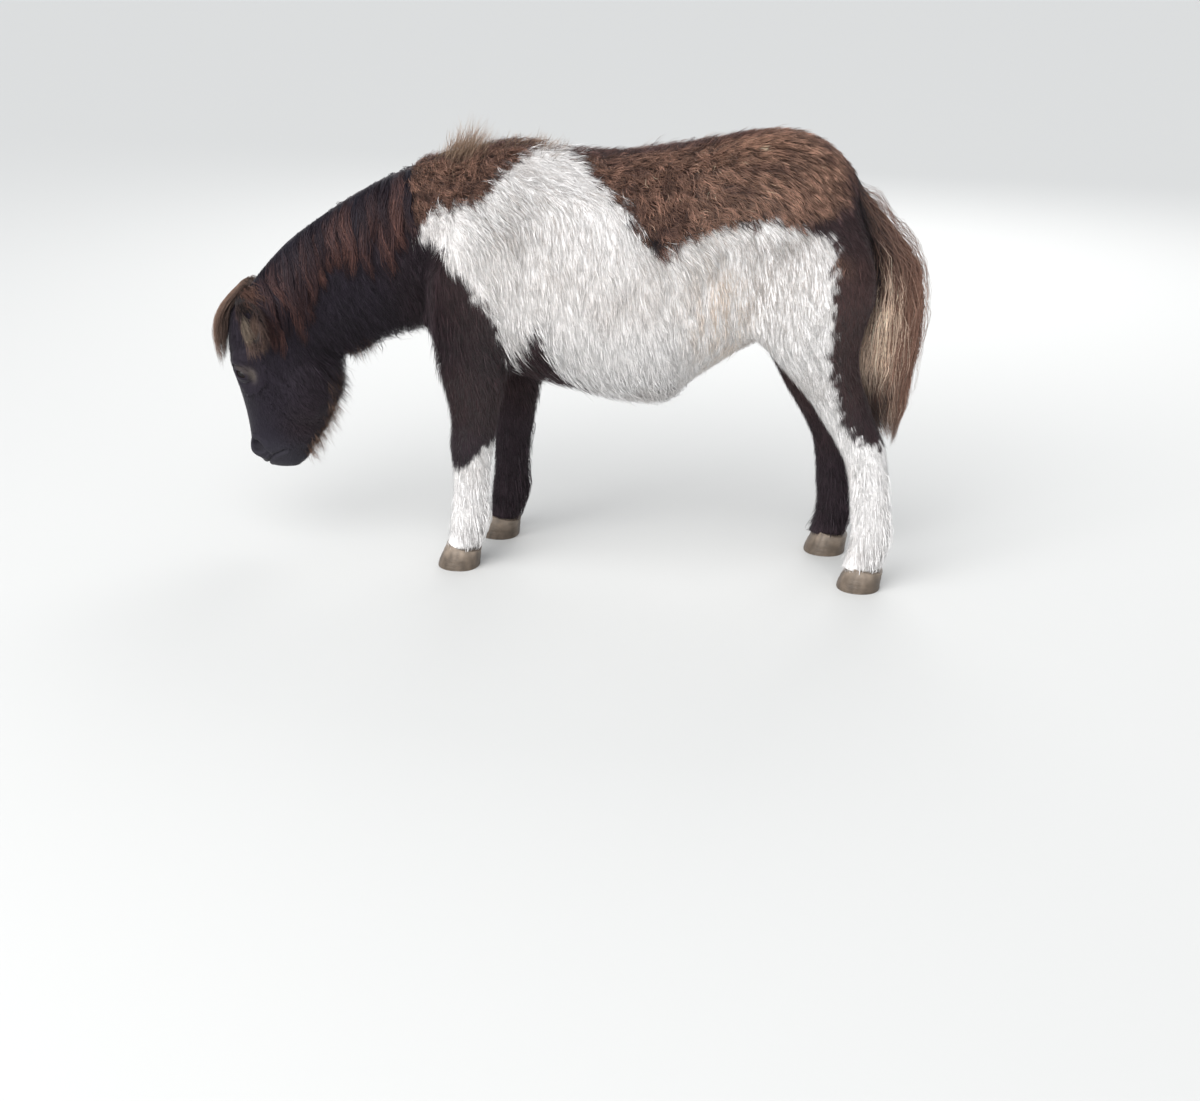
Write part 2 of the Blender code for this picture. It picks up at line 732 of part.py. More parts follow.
def lie(tree, start, way, kind, length, over):
    """Places along a lock that lies on the flesh, each with the way out of the flesh there.

    A lock that lies over its neighbours is higher by one layer from its first step on.
    """
    place, out, _, _ = tree.find_nearest(start)
    step = length / (len(kind.rise) - 1)
    found = []
    for k, height in enumerate(kind.rise):
        found.append((place + out * (height + min(k, 1) * over * LAYER), out))
        heading = way.normalized() - UP * (kind.droop * k / len(kind.rise))
        heading = (heading - out * heading.dot(out)).normalized()
        place, out, _, _ = tree.find_nearest(place + heading * step)
    return found


def full(t):
    """The share of its width that a lock has at t of its length: fullest near the root."""
    tapered = max(0.0, t - LOCK_FULL) / (1.0 - LOCK_FULL)
    return min(1.0, LOCK_ROOT + LOCK_WIDENS * t) * (1.0 - tapered ** LOCK_TAPER)


def lock(path, width, thick):
    """A closed, flat, tapered lock: three-sided rings along its path, drawn to a tip."""
    rings = []
    for k, (place, out) in enumerate(path[:-1]):
        ahead = path[k + 1][0] - path[max(k - 1, 0)][0]
        side = ahead.cross(out).normalized()
        size = full(k / (len(path) - 1))
        rings.append([
            place - side * (width * size / 2),
            place + side * (width * size / 2),
            place + out * (thick * size),
        ])
    return loft(rings, path[-1][0])


def grow(name, tree, every, roots, seed):
    """Locks of one node from their roots, varied, and shortened where they would cross a cut."""
    draw = random.Random(seed)
    found = []
    for k, (start, way, kind) in enumerate(roots):
        vary = [1 + draw.uniform(-LOCK_VARIES, LOCK_VARIES) for _ in range(3)]
        turned = way.normalized() + Vector([draw.uniform(-LOCK_VARIES, LOCK_VARIES) for _ in range(3)])
        for share in LOCK_SHORTER:
            path = lie(tree, start, turned, kind, kind.length * vary[0] * share, k % 2)
            if all(own(name, place, every) for place, _ in path):
                found.append(lock(path, kind.width * vary[1], kind.thick * vary[2]))
                break
    return found


def evenly(low, high, count):
    return [low + (high - low) * k / (count - 1) for k in range(count)]


def crest(x, drop=0.0):
    """The place on the neck's crest at x, and the slant of the mane there."""
    rows = between(NECK, LOFT_STEPS)
    tops = []
    for mx, mz, deep, _, tilt in rows:
        a = math.radians(tilt)
        tops.append((mx - math.sin(a) * deep, mz + math.cos(a) * deep))
    near = min(tops, key=lambda top: abs(top[0] - x))
    low, high = MANE_SPAN
    t = min(max((x - low) / (high - low), 0.0), 1.0)
    poll, middle, withers = MANE_SLANT
    slant = poll + (middle - poll) * min(1, 2 * t) if t < 0.5 else middle + (withers - middle) * (2 * t - 1)
    return Vector((x, 0, near[1] - drop)), slant


def mane_roots():
    """Two rows that fall to the left, and a short one that falls to the right."""
    found = []
    for count, kind, drop, start, way in MANE_ROWS:
        for x in evenly(*MANE_SPAN, count):
            place, slant = crest(x, drop)
            found.append((place + RIGHT * start, Vector((slant, *way)), kind))
    return found


def head_roots():
    """Forelock between the ears, and beard along both edges of the jaw."""
    x, z = FORELOCK_ROOT
    found = []
    for y in evenly(-FORELOCK_SPREAD, FORELOCK_SPREAD, FORELOCK_COUNT):
        way = Vector((-1.0, y * FORELOCK_FANS, FORELOCK_FALL))
        found.append((Vector((x, y * FORELOCK_ROOT_SHARE, z)), way, FORELOCK))
    line = between(BEARD_LINE, LOFT_STEPS)
    back, in_, down = BEARD_WAY
    for sign in SIDES.values():
        for at in evenly(0, len(line) - 1, BEARD_COUNT):
            bx, bz = line[round(at)]
            found.append((Vector((bx + BEARD_BACK, sign * BEARD_Y, bz)), Vector((back, sign * in_, down)), BEARD))
    return found


def torso_roots():
    """Tuft on the withers, fringe of the belly, and flat locks on the white of both sides."""
    found = []
    for k, x in enumerate(evenly(*TUFT_SPAN, TUFT_COUNT)):
        found.append((Vector((x, TUFT_ASIDE * (-1) ** k, TUFT_Z)), Vector(TUFT_WAY), TUFT))
    for y in BELLY_ROWS:
        for x in evenly(*BELLY_SPAN, BELLY_COUNT):
            found.append((Vector((x, y, BELLY_Z)), Vector((1.0, y * BELLY_SWEEP, BELLY_DOWN)), BELLY))
    low, high, step = BODY_X
    top, bottom, drop = BODY_Z
    draw = random.Random(SEEDS["body"])
    for sign in SIDES.values():
        for row in range(math.ceil((top - bottom) / drop)):
            for column in range(int((high - low) / step)):
                x, z = low + (column + (row % 2) / 2) * step, top - row * drop
                if not curly(x, z, sign):
                    stray = Vector((draw.uniform(-1, 1), 0, draw.uniform(-1, 1))) * BODY_STRAY
                    found.append((Vector((x, sign * BODY_Y, z)) + stray, Vector(BODY_LIE), COAT))
    return found


def leg_roots(name):
    """Feathers round the back of the fetlock and a fringe down the back of the upper leg."""
    _, which, side = name.split("_")
    sign = SIDES[side]
    hoof_x = (FORE_HOOF_X if which == "fore" else HIND_HOOF_X)[side]
    rows = FORE_LEG if which == "fore" else HIND_LEG
    y = sign * (FORE_HOOF_Y if which == "fore" else HIND_HOOF_Y)
    low, high = FRINGE_LEVELS[which]
    found = []
    for turn in FEATHER_TURNS:
        a = math.radians(turn)
        out = Vector((math.cos(a), math.sin(a), 0))
        found.append((Vector((hoof_x, y, FEATHER_LEVEL)) + out * FEATHER_ASIDE, out * FEATHER_OUT - UP, FEATHER))
    for z, x, ly, long, _ in rows:
        if low < z < high:
            found.append((Vector((hoof_x + x + long + FRINGE_BEHIND, sign * ly, z)), Vector(FRINGE_WAY), FRINGE))
    return found


def curly(x, z, sign):
    """Whether the coat is curly at x, z on the left (-1) or right (1) side."""
    back = RIGHT_BACK if sign > 0 else 0.0
    return holds(CURLY_WITHERS, x - back, z) or holds(CURLY_CROUP, x - back, z)


def clumps(tree, seed):
    """Rounded clumps set close over the curly patches, flattened along the flesh."""
    draw = random.Random(seed)
    turn = CLUMP_STEP / CLUMP_AXIS_RADIUS
    each_side = int(CLUMP_LAST / turn)
    stray = CLUMP_STRAY / CLUMP_AXIS_RADIUS
    found = []
    for row in range(int((CLUMP_X[1] - CLUMP_X[0]) / (CLUMP_STEP * CLUMP_ROW))):
        x = CLUMP_X[0] + row * CLUMP_STEP * CLUMP_ROW
        for k in range(-each_side, each_side + 1):
            angle = (k + (row % 2) / 2) * turn + draw.uniform(-stray, stray)
            middle = Vector((x + draw.uniform(-CLUMP_STRAY, CLUMP_STRAY), 0, CLUMP_AXIS_Z))
            place, out, _, _ = tree.ray_cast(middle, Vector((0, math.sin(angle), math.cos(angle))))
            if place is None or not curly(place.x, place.z, math.copysign(1, angle)):
                continue
            size = 1 + draw.uniform(-CLUMP_VARIES, CLUMP_VARIES)
            spin = Matrix.Rotation(draw.uniform(0, math.pi), 4, "Z")
            lay = out.to_track_quat("Z", "X").to_matrix().to_4x4()
            bm = oval((0, 0, CLUMP_OVER), [r * size for r in CLUMP_RADII], *CLUMP_SEGMENTS)
            bmesh.ops.transform(bm, matrix=Matrix.Translation(place) @ lay @ spin, verts=bm.verts[:])
            found.append(bm)
    return found


# ---------------------------------------------------------------- parting the flesh
def coronet(x, hoof_x):
    """The level of the hoof's upper edge, higher at the toe."""
    return CORONET_Z + CORONET_TILT * (hoof_x - x)


def leg_region(top, reach, hoof_x):
    """The outline of a leg from its top cut down to the coronet."""
    low, high = reach
    heel = hoof_x + HEEL_BACK
    return (
        (low, coronet(low, hoof_x)), (heel, coronet(heel, hoof_x)),
        (heel, FEATHER_FLOOR), (high, FEATHER_FLOOR), top[0], top[1],
    )


def regions():
    """Name of each part of flesh that is cut from the torso: outline, low y, high y."""
    found = {"head": (HEAD_REGION, -FAR, FAR), "neck": (NECK_REGION, -FAR, FAR)}
    for side, sign in SIDES.items():
        spans = sorted((sign * FORE_PARTING_Y, sign * FAR)), sorted((sign * HIND_PARTING_Y, sign * FAR))
        found["leg_fore_" + side] = (leg_region(FORE_TOP, FORE_REGION_X, FORE_HOOF_X[side]), *spans[0])
        found["leg_hind_" + side] = (leg_region(HIND_TOP, HIND_REGION_X, HIND_HOOF_X[side]), *spans[1])
    return found


def rooted(name, tree, every):
    """The locks and clumps of one node."""
    if name == "head":
        return grow(name, tree, every, head_roots(), SEEDS["head"])
    if name == "neck":
        return grow(name, tree, every, mane_roots(), SEEDS["neck"])
    if name == "torso":
        return grow(name, tree, every, torso_roots(), SEEDS["torso"]) + clumps(tree, SEEDS["clumps"])
    return grow(name, tree, every, leg_roots(name), SEEDS["leg"])


def part_flesh(flesh):
    """Cuts the flesh into its named nodes, each with its locks fused on before the last cut."""
    nodes = {}
    every = regions()
    tree = BVHTree.FromPolygons([v.co for v in flesh.data.vertices], [f.vertices for f in flesh.data.polygons])
    for name, (outline, low, high) in every.items():
        node = put(flesh.data.copy(), name, PONY)
        boolean(node, "INTERSECT", prism(grown(outline, LOOSE), low - LOOSE, high + LOOSE, name + "_loose"))
        thin = node.modifiers.new("thin", "DECIMATE")
        thin.ratio = TRIANGLE_SHARE[name.split("_")[0]]
        joined(bake(node), rooted(name, tree, every))
        close = prism(grown(outline, -GAP / 2), low + GAP / 2, high - GAP / 2, name + "_close")
        boolean(node, "INTERSECT", close)
        nodes[name] = keep_largest(bake(node))
    torso = put(flesh.data.copy(), "torso", PONY)
    for name, (outline, low, high) in every.items():
        boolean(torso, "DIFFERENCE", prism(grown(outline, -LOOSE), low + LOOSE, high - LOOSE, name + "_inner"))
    thin = torso.modifiers.new("thin", "DECIMATE")
    thin.ratio = TRIANGLE_SHARE["torso"]
    joined(bake(torso), rooted("torso", tree, every))
    for name, (outline, low, high) in every.items():
        outer = prism(grown(outline, GAP / 2), low - GAP / 2, high + GAP / 2, name + "_outer")
        boolean(torso, "DIFFERENCE", outer)
    boolean(torso, "DIFFERENCE", prism(grown(TAIL_REGION, GAP / 2), -FAR, FAR, "tail_outer"))
    nodes["torso"] = keep_largest(bake(torso))
    return nodes


# ---------------------------------------------------------------- hooves, eyes, ears
def hoof(name, hoof_x, y):
    """The horn of one hoof, flat underneath, cut along the coronet."""
    rings = [
        ring(Vector((hoof_x + x, y, z)), FORWARD, RIGHT, long, long * HEEL_SHARE, wide, TRUNK_SQUARE, HOOF_POINTS)
        for z, long, wide, x in HOOF_RINGS
    ]
    made = put(mesh_of(loft(rings), name), name, PONY)
    low, high = hoof_x - HOOF_REACH, hoof_x + HOOF_REACH
    edge = [(x, coronet(x, hoof_x) - GAP) for x in (high, low)]
    outline = ((low, -HOOF_REACH), (high, -HOOF_REACH), *edge)
    boolean(made, "INTERSECT", prism(outline, -FAR, FAR, name + "_cut"))
    return bake(made)


def eye_frame(sign):
    """The eye's place, with Z looking out of the head and X along the lids."""
    x, y, z = EYE_MIDDLE
    out = Vector((EYE_LOOKS[0], sign * EYE_LOOKS[1], EYE_LOOKS[2])).normalized()
    a = math.radians(EYE_SLANT)
    along = Vector((-math.cos(a), 0, -math.sin(a)))
    along = (along - out * along.dot(out)).normalized()
    frame = Matrix((along, out.cross(along), out)).transposed().to_4x4()
    return Matrix.Translation((x, sign * y, z)) @ frame


def eyeball(radius, frame):
    bm = bmesh.new()
    around, along = EYE_SEGMENTS
    bmesh.ops.create_uvsphere(bm, u_segments=around, v_segments=along, radius=radius, matrix=frame)
    return bm


def lids_and_sockets(head):
    """Raises the lids round each eye, opens them and hollows the socket."""
    for side, sign in SIDES.items():
        frame = eye_frame(sign)
        lids = eyeball(EYE_RADIUS + LID_THICKNESS, frame)
        boolean(head, "UNION", helper(mesh_of(lids, "lids"), "lids_" + side))
        bm = bmesh.new()
        bmesh.ops.create_cone(
            bm, cap_ends=True, segments=EYE_SEGMENTS[0], radius1=OPENING_NARROWS, radius2=1.0, depth=2.0
        )
        long, tall = EYE_OPENING
        shape = Matrix.Translation((0, 0, EYE_RADIUS * OPENING_DEPTH)) @ Matrix.Diagonal((long, tall, EYE_RADIUS, 1))
        bmesh.ops.transform(bm, matrix=frame @ shape, verts=bm.verts[:])
        boolean(head, "DIFFERENCE", helper(mesh_of(bm, "opening"), "opening_" + side))
        boolean(head, "DIFFERENCE", helper(mesh_of(eyeball(EYE_RADIUS + GAP, frame), "socket"), "socket_" + side))


def eye(side):
    return put(mesh_of(eyeball(EYE_RADIUS, eye_frame(SIDES[side])), "eye"), "eye_" + side, PONY)


def nostrils_and_mouth(head):
    x, y, z = NOSTRIL_MIDDLE
    for side, sign in SIDES.items():
        outwards, back = (math.radians(a) for a in NOSTRIL_TURNS)
        turn = Matrix.Rotation(outwards * sign, 4, "Z") @ Matrix.Rotation(back, 4, "Y")
        bm = oval((0, 0, 0), NOSTRIL_RADII, *NOSTRIL_SEGMENTS)
        bmesh.ops.transform(bm, matrix=Matrix.Translation((x, sign * y, z)) @ turn, verts=bm.verts[:])
        boolean(head, "DIFFERENCE", helper(mesh_of(bm, "nostril"), "nostril_" + side))
    half = MOUTH_WIDTH / 2
    outline = [(px + half, pz) for px, pz in MOUTH_LINE] + [(px - half, pz) for px, pz in reversed(MOUTH_LINE)]
    boolean(head, "DIFFERENCE", prism(outline, -FAR, FAR, "mouth"))


def ear_frame(sign):
    root, tip = (Vector((x, sign * y, z)) for x, y, z in (EAR_ROOT, EAR_TIP))
    axis = (tip - root).normalized()
    opens = Vector((EAR_OPENS[0], sign * EAR_OPENS[1], EAR_OPENS[2]))
    opens = (opens - axis * opens.dot(axis)).normalized()
    return root, tip, axis, opens


def ear_rings(sign, more=0.0):
    """The rings of an ear's outside, each wider by the same amount, from its root plane on."""
    root, tip, axis, opens = ear_frame(sign)
    across = axis.cross(opens)
    length = (tip - root).length
    return [
        ring(root + axis * (length * s), opens, across, deep + more, deep + more, wide + more, OVAL, EAR_POINTS)
        for s, wide, deep in EAR_RINGS
    ]


def ear(side, head):
    """The cup of one ear. The head is cut clear of it, so that they meet at its root alone."""
    sign = SIDES[side]
    root, tip, axis, opens = ear_frame(sign)
    across = axis.cross(opens)
    length = (tip - root).length
    hollow = [
        ring(
            root + axis * (length * (CUP_START + CUP_LENGTH * max(s, 0.0))) + opens * CUP_OFFSET,
            opens, across, deep, deep - EAR_WALL / 2, max(wide - EAR_WALL, CUP_LEAST), OVAL, EAR_POINTS,
        )
        for s, wide, deep in EAR_RINGS
    ]
    turn = Matrix((opens, across, axis)).transposed().to_4x4()
    half_space = {}
    for name, low in (("root", 0.0), ("pocket", -GAP)):
        bm = bmesh.new()
        bmesh.ops.create_cube(bm, size=FAR)
        where = Matrix.Translation(root + axis * (low + FAR / 2)) @ turn
        bmesh.ops.transform(bm, matrix=where, verts=bm.verts[:])
        half_space[name] = helper(mesh_of(bm, name), name + "_" + side)
    made = put(mesh_of(loft(ear_rings(sign)), "ear"), "ear_" + side, PONY)
    boolean(made, "DIFFERENCE", helper(mesh_of(loft(hollow), "cup"), "cup_" + side))
    boolean(made, "INTERSECT", half_space["root"])
    pocket = helper(mesh_of(loft(ear_rings(sign, EAR_CLEARANCE)), "pocket"), "ear_pocket_" + side)
    boolean(pocket, "INTERSECT", half_space["pocket"])
    boolean(head, "DIFFERENCE", bake(pocket))
    return keep_largest(bake(made))


# ---------------------------------------------------------------- tail
def tail_place(s, turn, share):
    """A place in the tail, s along it, turned round its middle at a share of its radius, and its way out."""
    rows = between(TAIL, LOFT_STEPS)
    at = min(max(s, 0.0), 1.0) * (len(rows) - 1)
    k = min(int(at), len(rows) - 2)
    x, z, deep, half, tilt = (a + (b - a) * (at - k) for a, b in zip(rows[k], rows[k + 1]))
    a = math.radians(tilt)
    back, across = Vector((math.cos(a), 0, math.sin(a))), Vector((0, 1, 0))
    out = back * (deep * math.cos(turn)) + across * (half * math.sin(turn))
    return Vector((x, 0, z)) + out * share, out.normalized()


def tail_locks(seed):
    """Tiers of long locks round the tail's core, out to its tip."""
    draw = random.Random(seed)
    found = []
    for start, end, count, width, low, high in TAIL_TIERS:
        for k in range(count):
            turn = 2 * math.pi * (k + draw.uniform(*TAIL_LOCK_TURNS)) / count
            begin = start + draw.uniform(-TAIL_LOCK_STRAYS, TAIL_LOCK_STRAYS)
            finish = min(1.0, end + draw.uniform(-TAIL_LOCK_STRAYS, TAIL_LOCK_STRAYS))
            path = []
            for n in range(TAIL_LOCK_POINTS):
                t = n / (TAIL_LOCK_POINTS - 1)
                share = low + (high - low) * min(1.0, TAIL_LOCK_OPENS * t)
                path.append(tail_place(begin + (finish - begin) * t, turn + TAIL_LOCK_TURN * t, share))
            found.append(lock(path, width, TAIL_LOCK_THICK))
    return found


def tail():
    """A short core, at most half way to the tips, with the locks fused on it."""
    rows = between(TAIL, LOFT_STEPS // 2)
    rows = rows[:round(len(rows) * CORE_LENGTH)]
    core = []
    for k, (x, z, deep, half, tilt) in enumerate(rows):
        a = math.radians(tilt)
        along = Vector((math.cos(a), 0, math.sin(a)))
        at_root = max(0.0, 1.0 - k / 2)
        size = at_root + (1 - at_root) * CORE_RADIUS * (1 - CORE_THINNER * (k / (len(rows) - 1)) ** 2)
        core.append(ring(Vector((x, 0, z)), along, RIGHT, deep * size, deep * size, half * size, OVAL, CORE_POINTS))
    made = put(mesh_of(loft(core), "tail"), "tail", PONY)
    joined(made, tail_locks(SEEDS["tail"]))
    boolean(made, "INTERSECT", prism(grown(TAIL_REGION, -GAP / 2), -FAR, FAR, "tail_close"))
    return keep_largest(bake(made))


# ---------------------------------------------------------------- assembly
def centre_on_origin(objects):
    """Moves every node so that the whole pony's box is centred over the origin, standing on z = 0."""
    corners = [v.co for obj in objects for v in obj.data.vertices]
    low = Vector([min(c[k] for c in corners) for k in range(3)])
    high = Vector([max(c[k] for c in corners) for k in range(3)])
    shift = Vector((-(low.x + high.x) / 2, -(low.y + high.y) / 2, -low.z))
    for obj in objects:
        obj.data.transform(Matrix.Translation(shift))
    return shift


def build():
    paints = {name: material(name, ROUGHNESS.get(name, HAIR_ROUGHNESS)) for name in COLOURS}
    flesh = whole_flesh()
    nodes = part_flesh(flesh)
    head = nodes["head"]
    lids_and_sockets(head)
    nostrils_and_mouth(head)
    ears = [ear(side, head) for side in SIDES]
    keep_largest(bake(head))
    made = [
        finished(obj, paints["flesh_white" if obj.name in WHITE_NODES else "flesh_dark"])
        for obj in (*nodes.values(), *ears)
    ]
    for side, sign in SIDES.items():
        made.append(finished(hoof("hoof_fore_" + side, FORE_HOOF_X[side], sign * FORE_HOOF_Y), paints["horn"]))
        made.append(finished(hoof("hoof_hind_" + side, HIND_HOOF_X[side], sign * HIND_HOOF_Y), paints["horn"]))
        made.append(finished(eye(side), paints["eye"]))
    made.append(finished(tail(), paints["tail_hair"]))
    return centre_on_origin(made)


for old in list(bpy.data.objects):
    bpy.data.objects.remove(old, do_unlink=True)
PONY = collection("shetland_pony")
CUTTERS = collection("cutters")
SHIFT = build()
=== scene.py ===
"""Looks of a young Shetland pony that grazes: a still, life-size model.

The pony faces -X, its left side faces -Y and it stands on z = 0. One skin stands for the head, neck,
torso and legs. Over it lie the coat, mane, forelock, tail, beard and leg feathers, as solid tufts and
strands made from arrays. Ears, eyes and hooves are pieces of their own. Lengths are in metres, and the
tables of sizes are those that the solids are built from, before both are centred over the origin.
"""

import logging
import math
from dataclasses import dataclass, field
from enum import Enum
from typing import Callable, Iterable, Sequence

import bmesh
import bpy
import numpy as np
from mathutils import Matrix, Vector
from mathutils.bvhtree import BVHTree
from mathutils.kdtree import KDTree


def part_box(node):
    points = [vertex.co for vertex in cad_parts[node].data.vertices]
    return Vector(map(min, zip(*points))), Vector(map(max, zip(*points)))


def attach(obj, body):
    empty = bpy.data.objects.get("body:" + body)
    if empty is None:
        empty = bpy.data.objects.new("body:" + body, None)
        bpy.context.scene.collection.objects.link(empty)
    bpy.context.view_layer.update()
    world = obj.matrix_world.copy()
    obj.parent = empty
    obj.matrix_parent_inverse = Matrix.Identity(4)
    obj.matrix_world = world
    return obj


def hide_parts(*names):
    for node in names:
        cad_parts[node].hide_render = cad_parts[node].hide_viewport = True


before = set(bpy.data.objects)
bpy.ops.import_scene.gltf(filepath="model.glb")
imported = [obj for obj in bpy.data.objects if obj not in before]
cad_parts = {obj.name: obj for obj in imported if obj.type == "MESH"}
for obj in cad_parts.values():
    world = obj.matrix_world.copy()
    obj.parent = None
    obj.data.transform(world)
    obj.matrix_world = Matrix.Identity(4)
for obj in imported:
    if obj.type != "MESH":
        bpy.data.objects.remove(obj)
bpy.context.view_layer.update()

LOG = logging.getLogger("shetland_pony")
BODY = "root"
COAT_COLOUR = "Coat"
BAKE_MAP = "OFBake"
PATCH = 0.003

Row = tuple[float, ...]
Colour = tuple[float, float, float]

UP = Vector((0, 0, 1))
RIGHT = Vector((0, 1, 0))
FORWARD = Vector((-1, 0, 0))


class Side(Enum):
    """The pony's two sides, by the sign of y."""

    LEFT = -1
    RIGHT = 1

    @property
    def word(self) -> str:
        """The side's word in the names of pieces and nodes."""
        return self.name.lower()


class Slot(Enum):
    """Material slots of the record."""

    DARK = "dark_coat"
    WHITE = "white_coat"
    TAIL = "tail_hair"
    HORN = "horn"
    EYE = "eye"


# ---------------------------------------------------------------- sizes shared by the pieces
@dataclass(frozen=True)
class Sizes:
    """Sizes of the flesh, hooves, eyes and ears, in the frame in which the pony was drawn."""

    # Trunk: x, top z, bottom z, half width, z of the widest place.
    trunk: tuple[Row, ...] = (
        (-0.392, 0.590, 0.470, 0.035, 0.53),
        (-0.375, 0.650, 0.425, 0.085, 0.52),
        (-0.330, 0.762, 0.395, 0.118, 0.53),
        (-0.265, 0.794, 0.378, 0.138, 0.53),
        (-0.190, 0.795, 0.362, 0.152, 0.53),
        (-0.110, 0.784, 0.346, 0.170, 0.52),
        (-0.030, 0.782, 0.330, 0.183, 0.52),
        (0.050, 0.790, 0.333, 0.185, 0.53),
        (0.120, 0.803, 0.372, 0.174, 0.55),
        (0.190, 0.820, 0.425, 0.158, 0.58),
        (0.260, 0.823, 0.470, 0.148, 0.61),
        (0.320, 0.805, 0.520, 0.130, 0.63),
        (0.365, 0.765, 0.570, 0.095, 0.65),
        (0.386, 0.715, 0.620, 0.045, 0.66),
    )
    # Neck: middle x, middle z, half depth, half width, tilt of the crest direction from +Z towards -X.
    neck: tuple[Row, ...] = (
        (-0.250, 0.612, 0.156, 0.095, 0.0),
        (-0.350, 0.609, 0.166, 0.100, 4.0),
        (-0.445, 0.588, 0.149, 0.086, 12.0),
        (-0.535, 0.553, 0.130, 0.074, 22.0),
        (-0.620, 0.502, 0.116, 0.066, 33.0),
        (-0.690, 0.446, 0.099, 0.060, 42.0),
    )
    # Head: z, x of the face line, x of the jaw line, half width, x of the widest place.
    head: tuple[Row, ...] = (
        (0.512, -0.765, -0.720, 0.022, -0.745),
        (0.500, -0.784, -0.680, 0.040, -0.740),
        (0.470, -0.797, -0.630, 0.055, -0.735),
        (0.430, -0.803, -0.600, 0.062, -0.735),
        (0.390, -0.802, -0.592, 0.066, -0.735),
        (0.355, -0.796, -0.596, 0.068, -0.735),
        (0.315, -0.787, -0.598, 0.064, -0.720),
        (0.275, -0.781, -0.605, 0.056, -0.702),
        (0.240, -0.778, -0.622, 0.046, -0.702),
        (0.210, -0.776, -0.643, 0.041, -0.710),
        (0.185, -0.770, -0.665, 0.034, -0.718),
        (0.166, -0.756, -0.672, 0.024, -0.716),
        (0.154, -0.735, -0.684, 0.012, -0.712),
    )
    # Legs, from the top down: z, x, y, half length, half width. The x is from the hoof's middle.
    fore_leg: tuple[Row, ...] = (
        (0.640, 0.060, 0.088, 0.075, 0.045),
        (0.560, 0.040, 0.098, 0.090, 0.052),
        (0.480, 0.030, 0.102, 0.085, 0.052),
        (0.420, 0.030, 0.102, 0.072, 0.048),
        (0.350, 0.032, 0.098, 0.055, 0.041),
        (0.290, 0.030, 0.092, 0.045, 0.035),
        (0.245, 0.024, 0.088, 0.045, 0.037),
        (0.200, 0.022, 0.086, 0.038, 0.031),
        (0.140, 0.018, 0.085, 0.035, 0.028),
        (0.095, 0.014, 0.085, 0.038, 0.032),
        (0.065, 0.008, 0.085, 0.032, 0.031),
        (0.035, -0.004, 0.085, 0.036, 0.035),
    )
    hind_leg: tuple[Row, ...] = (
        (0.720, -0.140, 0.070, 0.085, 0.050),
        (0.640, -0.135, 0.090, 0.115, 0.062),
        (0.560, -0.130, 0.102, 0.125, 0.064),
        (0.490, -0.132, 0.104, 0.108, 0.056),
        (0.430, -0.105, 0.098, 0.076, 0.048),
        (0.370, -0.070, 0.091, 0.057, 0.040),
        (0.315, -0.040, 0.088, 0.050, 0.036),
        (0.275, -0.018, 0.088, 0.047, 0.035),
        (0.225, -0.004, 0.088, 0.039, 0.031),
        (0.160, 0.002, 0.088, 0.037, 0.030),
        (0.100, 0.008, 0.088, 0.038, 0.033),
        (0.068, 0.000, 0.088, 0.034, 0.032),
        (0.035, -0.010, 0.088, 0.037, 0.035),
    )
    # Middles of the hooves: x for each side, then y of the right ones.
    fore_hoof_x: dict[Side, float] = field(default_factory=lambda: {Side.LEFT: -0.338, Side.RIGHT: -0.292})
    hind_hoof_x: dict[Side, float] = field(default_factory=lambda: {Side.LEFT: 0.428, Side.RIGHT: 0.362})
    fore_hoof_y: float = 0.085
    hind_hoof_y: float = 0.088
    # Rounded masses on both sides, then on the midline: middle and radii.
    masses: tuple[tuple[Row, Row], ...] = (
        ((-0.300, -0.092, 0.560), (0.080, 0.055, 0.130)),
        ((-0.328, -0.060, 0.475), (0.055, 0.055, 0.070)),
        ((0.235, -0.085, 0.660), (0.125, 0.070, 0.110)),
        ((0.245, -0.105, 0.520), (0.070, 0.050, 0.070)),
        ((-0.655, -0.036, 0.325), (0.062, 0.034, 0.072)),
        ((-0.758, -0.050, 0.382), (0.030, 0.026, 0.030)),
        ((-0.748, -0.024, 0.200), (0.026, 0.018, 0.022)),
    )
    midline_masses: tuple[tuple[Row, Row], ...] = (
        ((-0.676, 0.0, 0.188), (0.020, 0.022, 0.022)),
        ((-0.372, 0.0, 0.515), (0.060, 0.080, 0.100)),
        ((0.342, 0.0, 0.738), (0.040, 0.030, 0.038)),
    )
    # Tail: middle x, z, half depth, half width, tilt of the ring from level.
    tail: tuple[Row, ...] = (
        (0.366, 0.746, 0.016, 0.020, 64.0),
        (0.385, 0.710, 0.022, 0.027, 48.0),
        (0.417, 0.655, 0.031, 0.038, 30.0),
        (0.449, 0.598, 0.042, 0.046, 14.0),
        (0.454, 0.520, 0.051, 0.047, 2.0),
        (0.447, 0.430, 0.050, 0.040, -4.0),
        (0.443, 0.350, 0.044, 0.033, -3.0),
        (0.450, 0.290, 0.030, 0.023, 4.0),
        (0.457, 0.248, 0.015, 0.012, 6.0),
        (0.461, 0.224, 0.004, 0.004, 8.0),
    )
    # Hooves: level, half length, half width, x from the hoof's middle.
    hoof: tuple[Row, ...] = (
        (0.000, 0.043, 0.040, -0.006),
        (0.012, 0.042, 0.039, -0.004),
        (0.040, 0.037, 0.035, 0.004),
        (0.070, 0.032, 0.030, 0.012),
    )
    # Level of the coronets and how much they rise to the front.
    coronet_z: float = 0.042
    coronet_tilt: float = 0.22
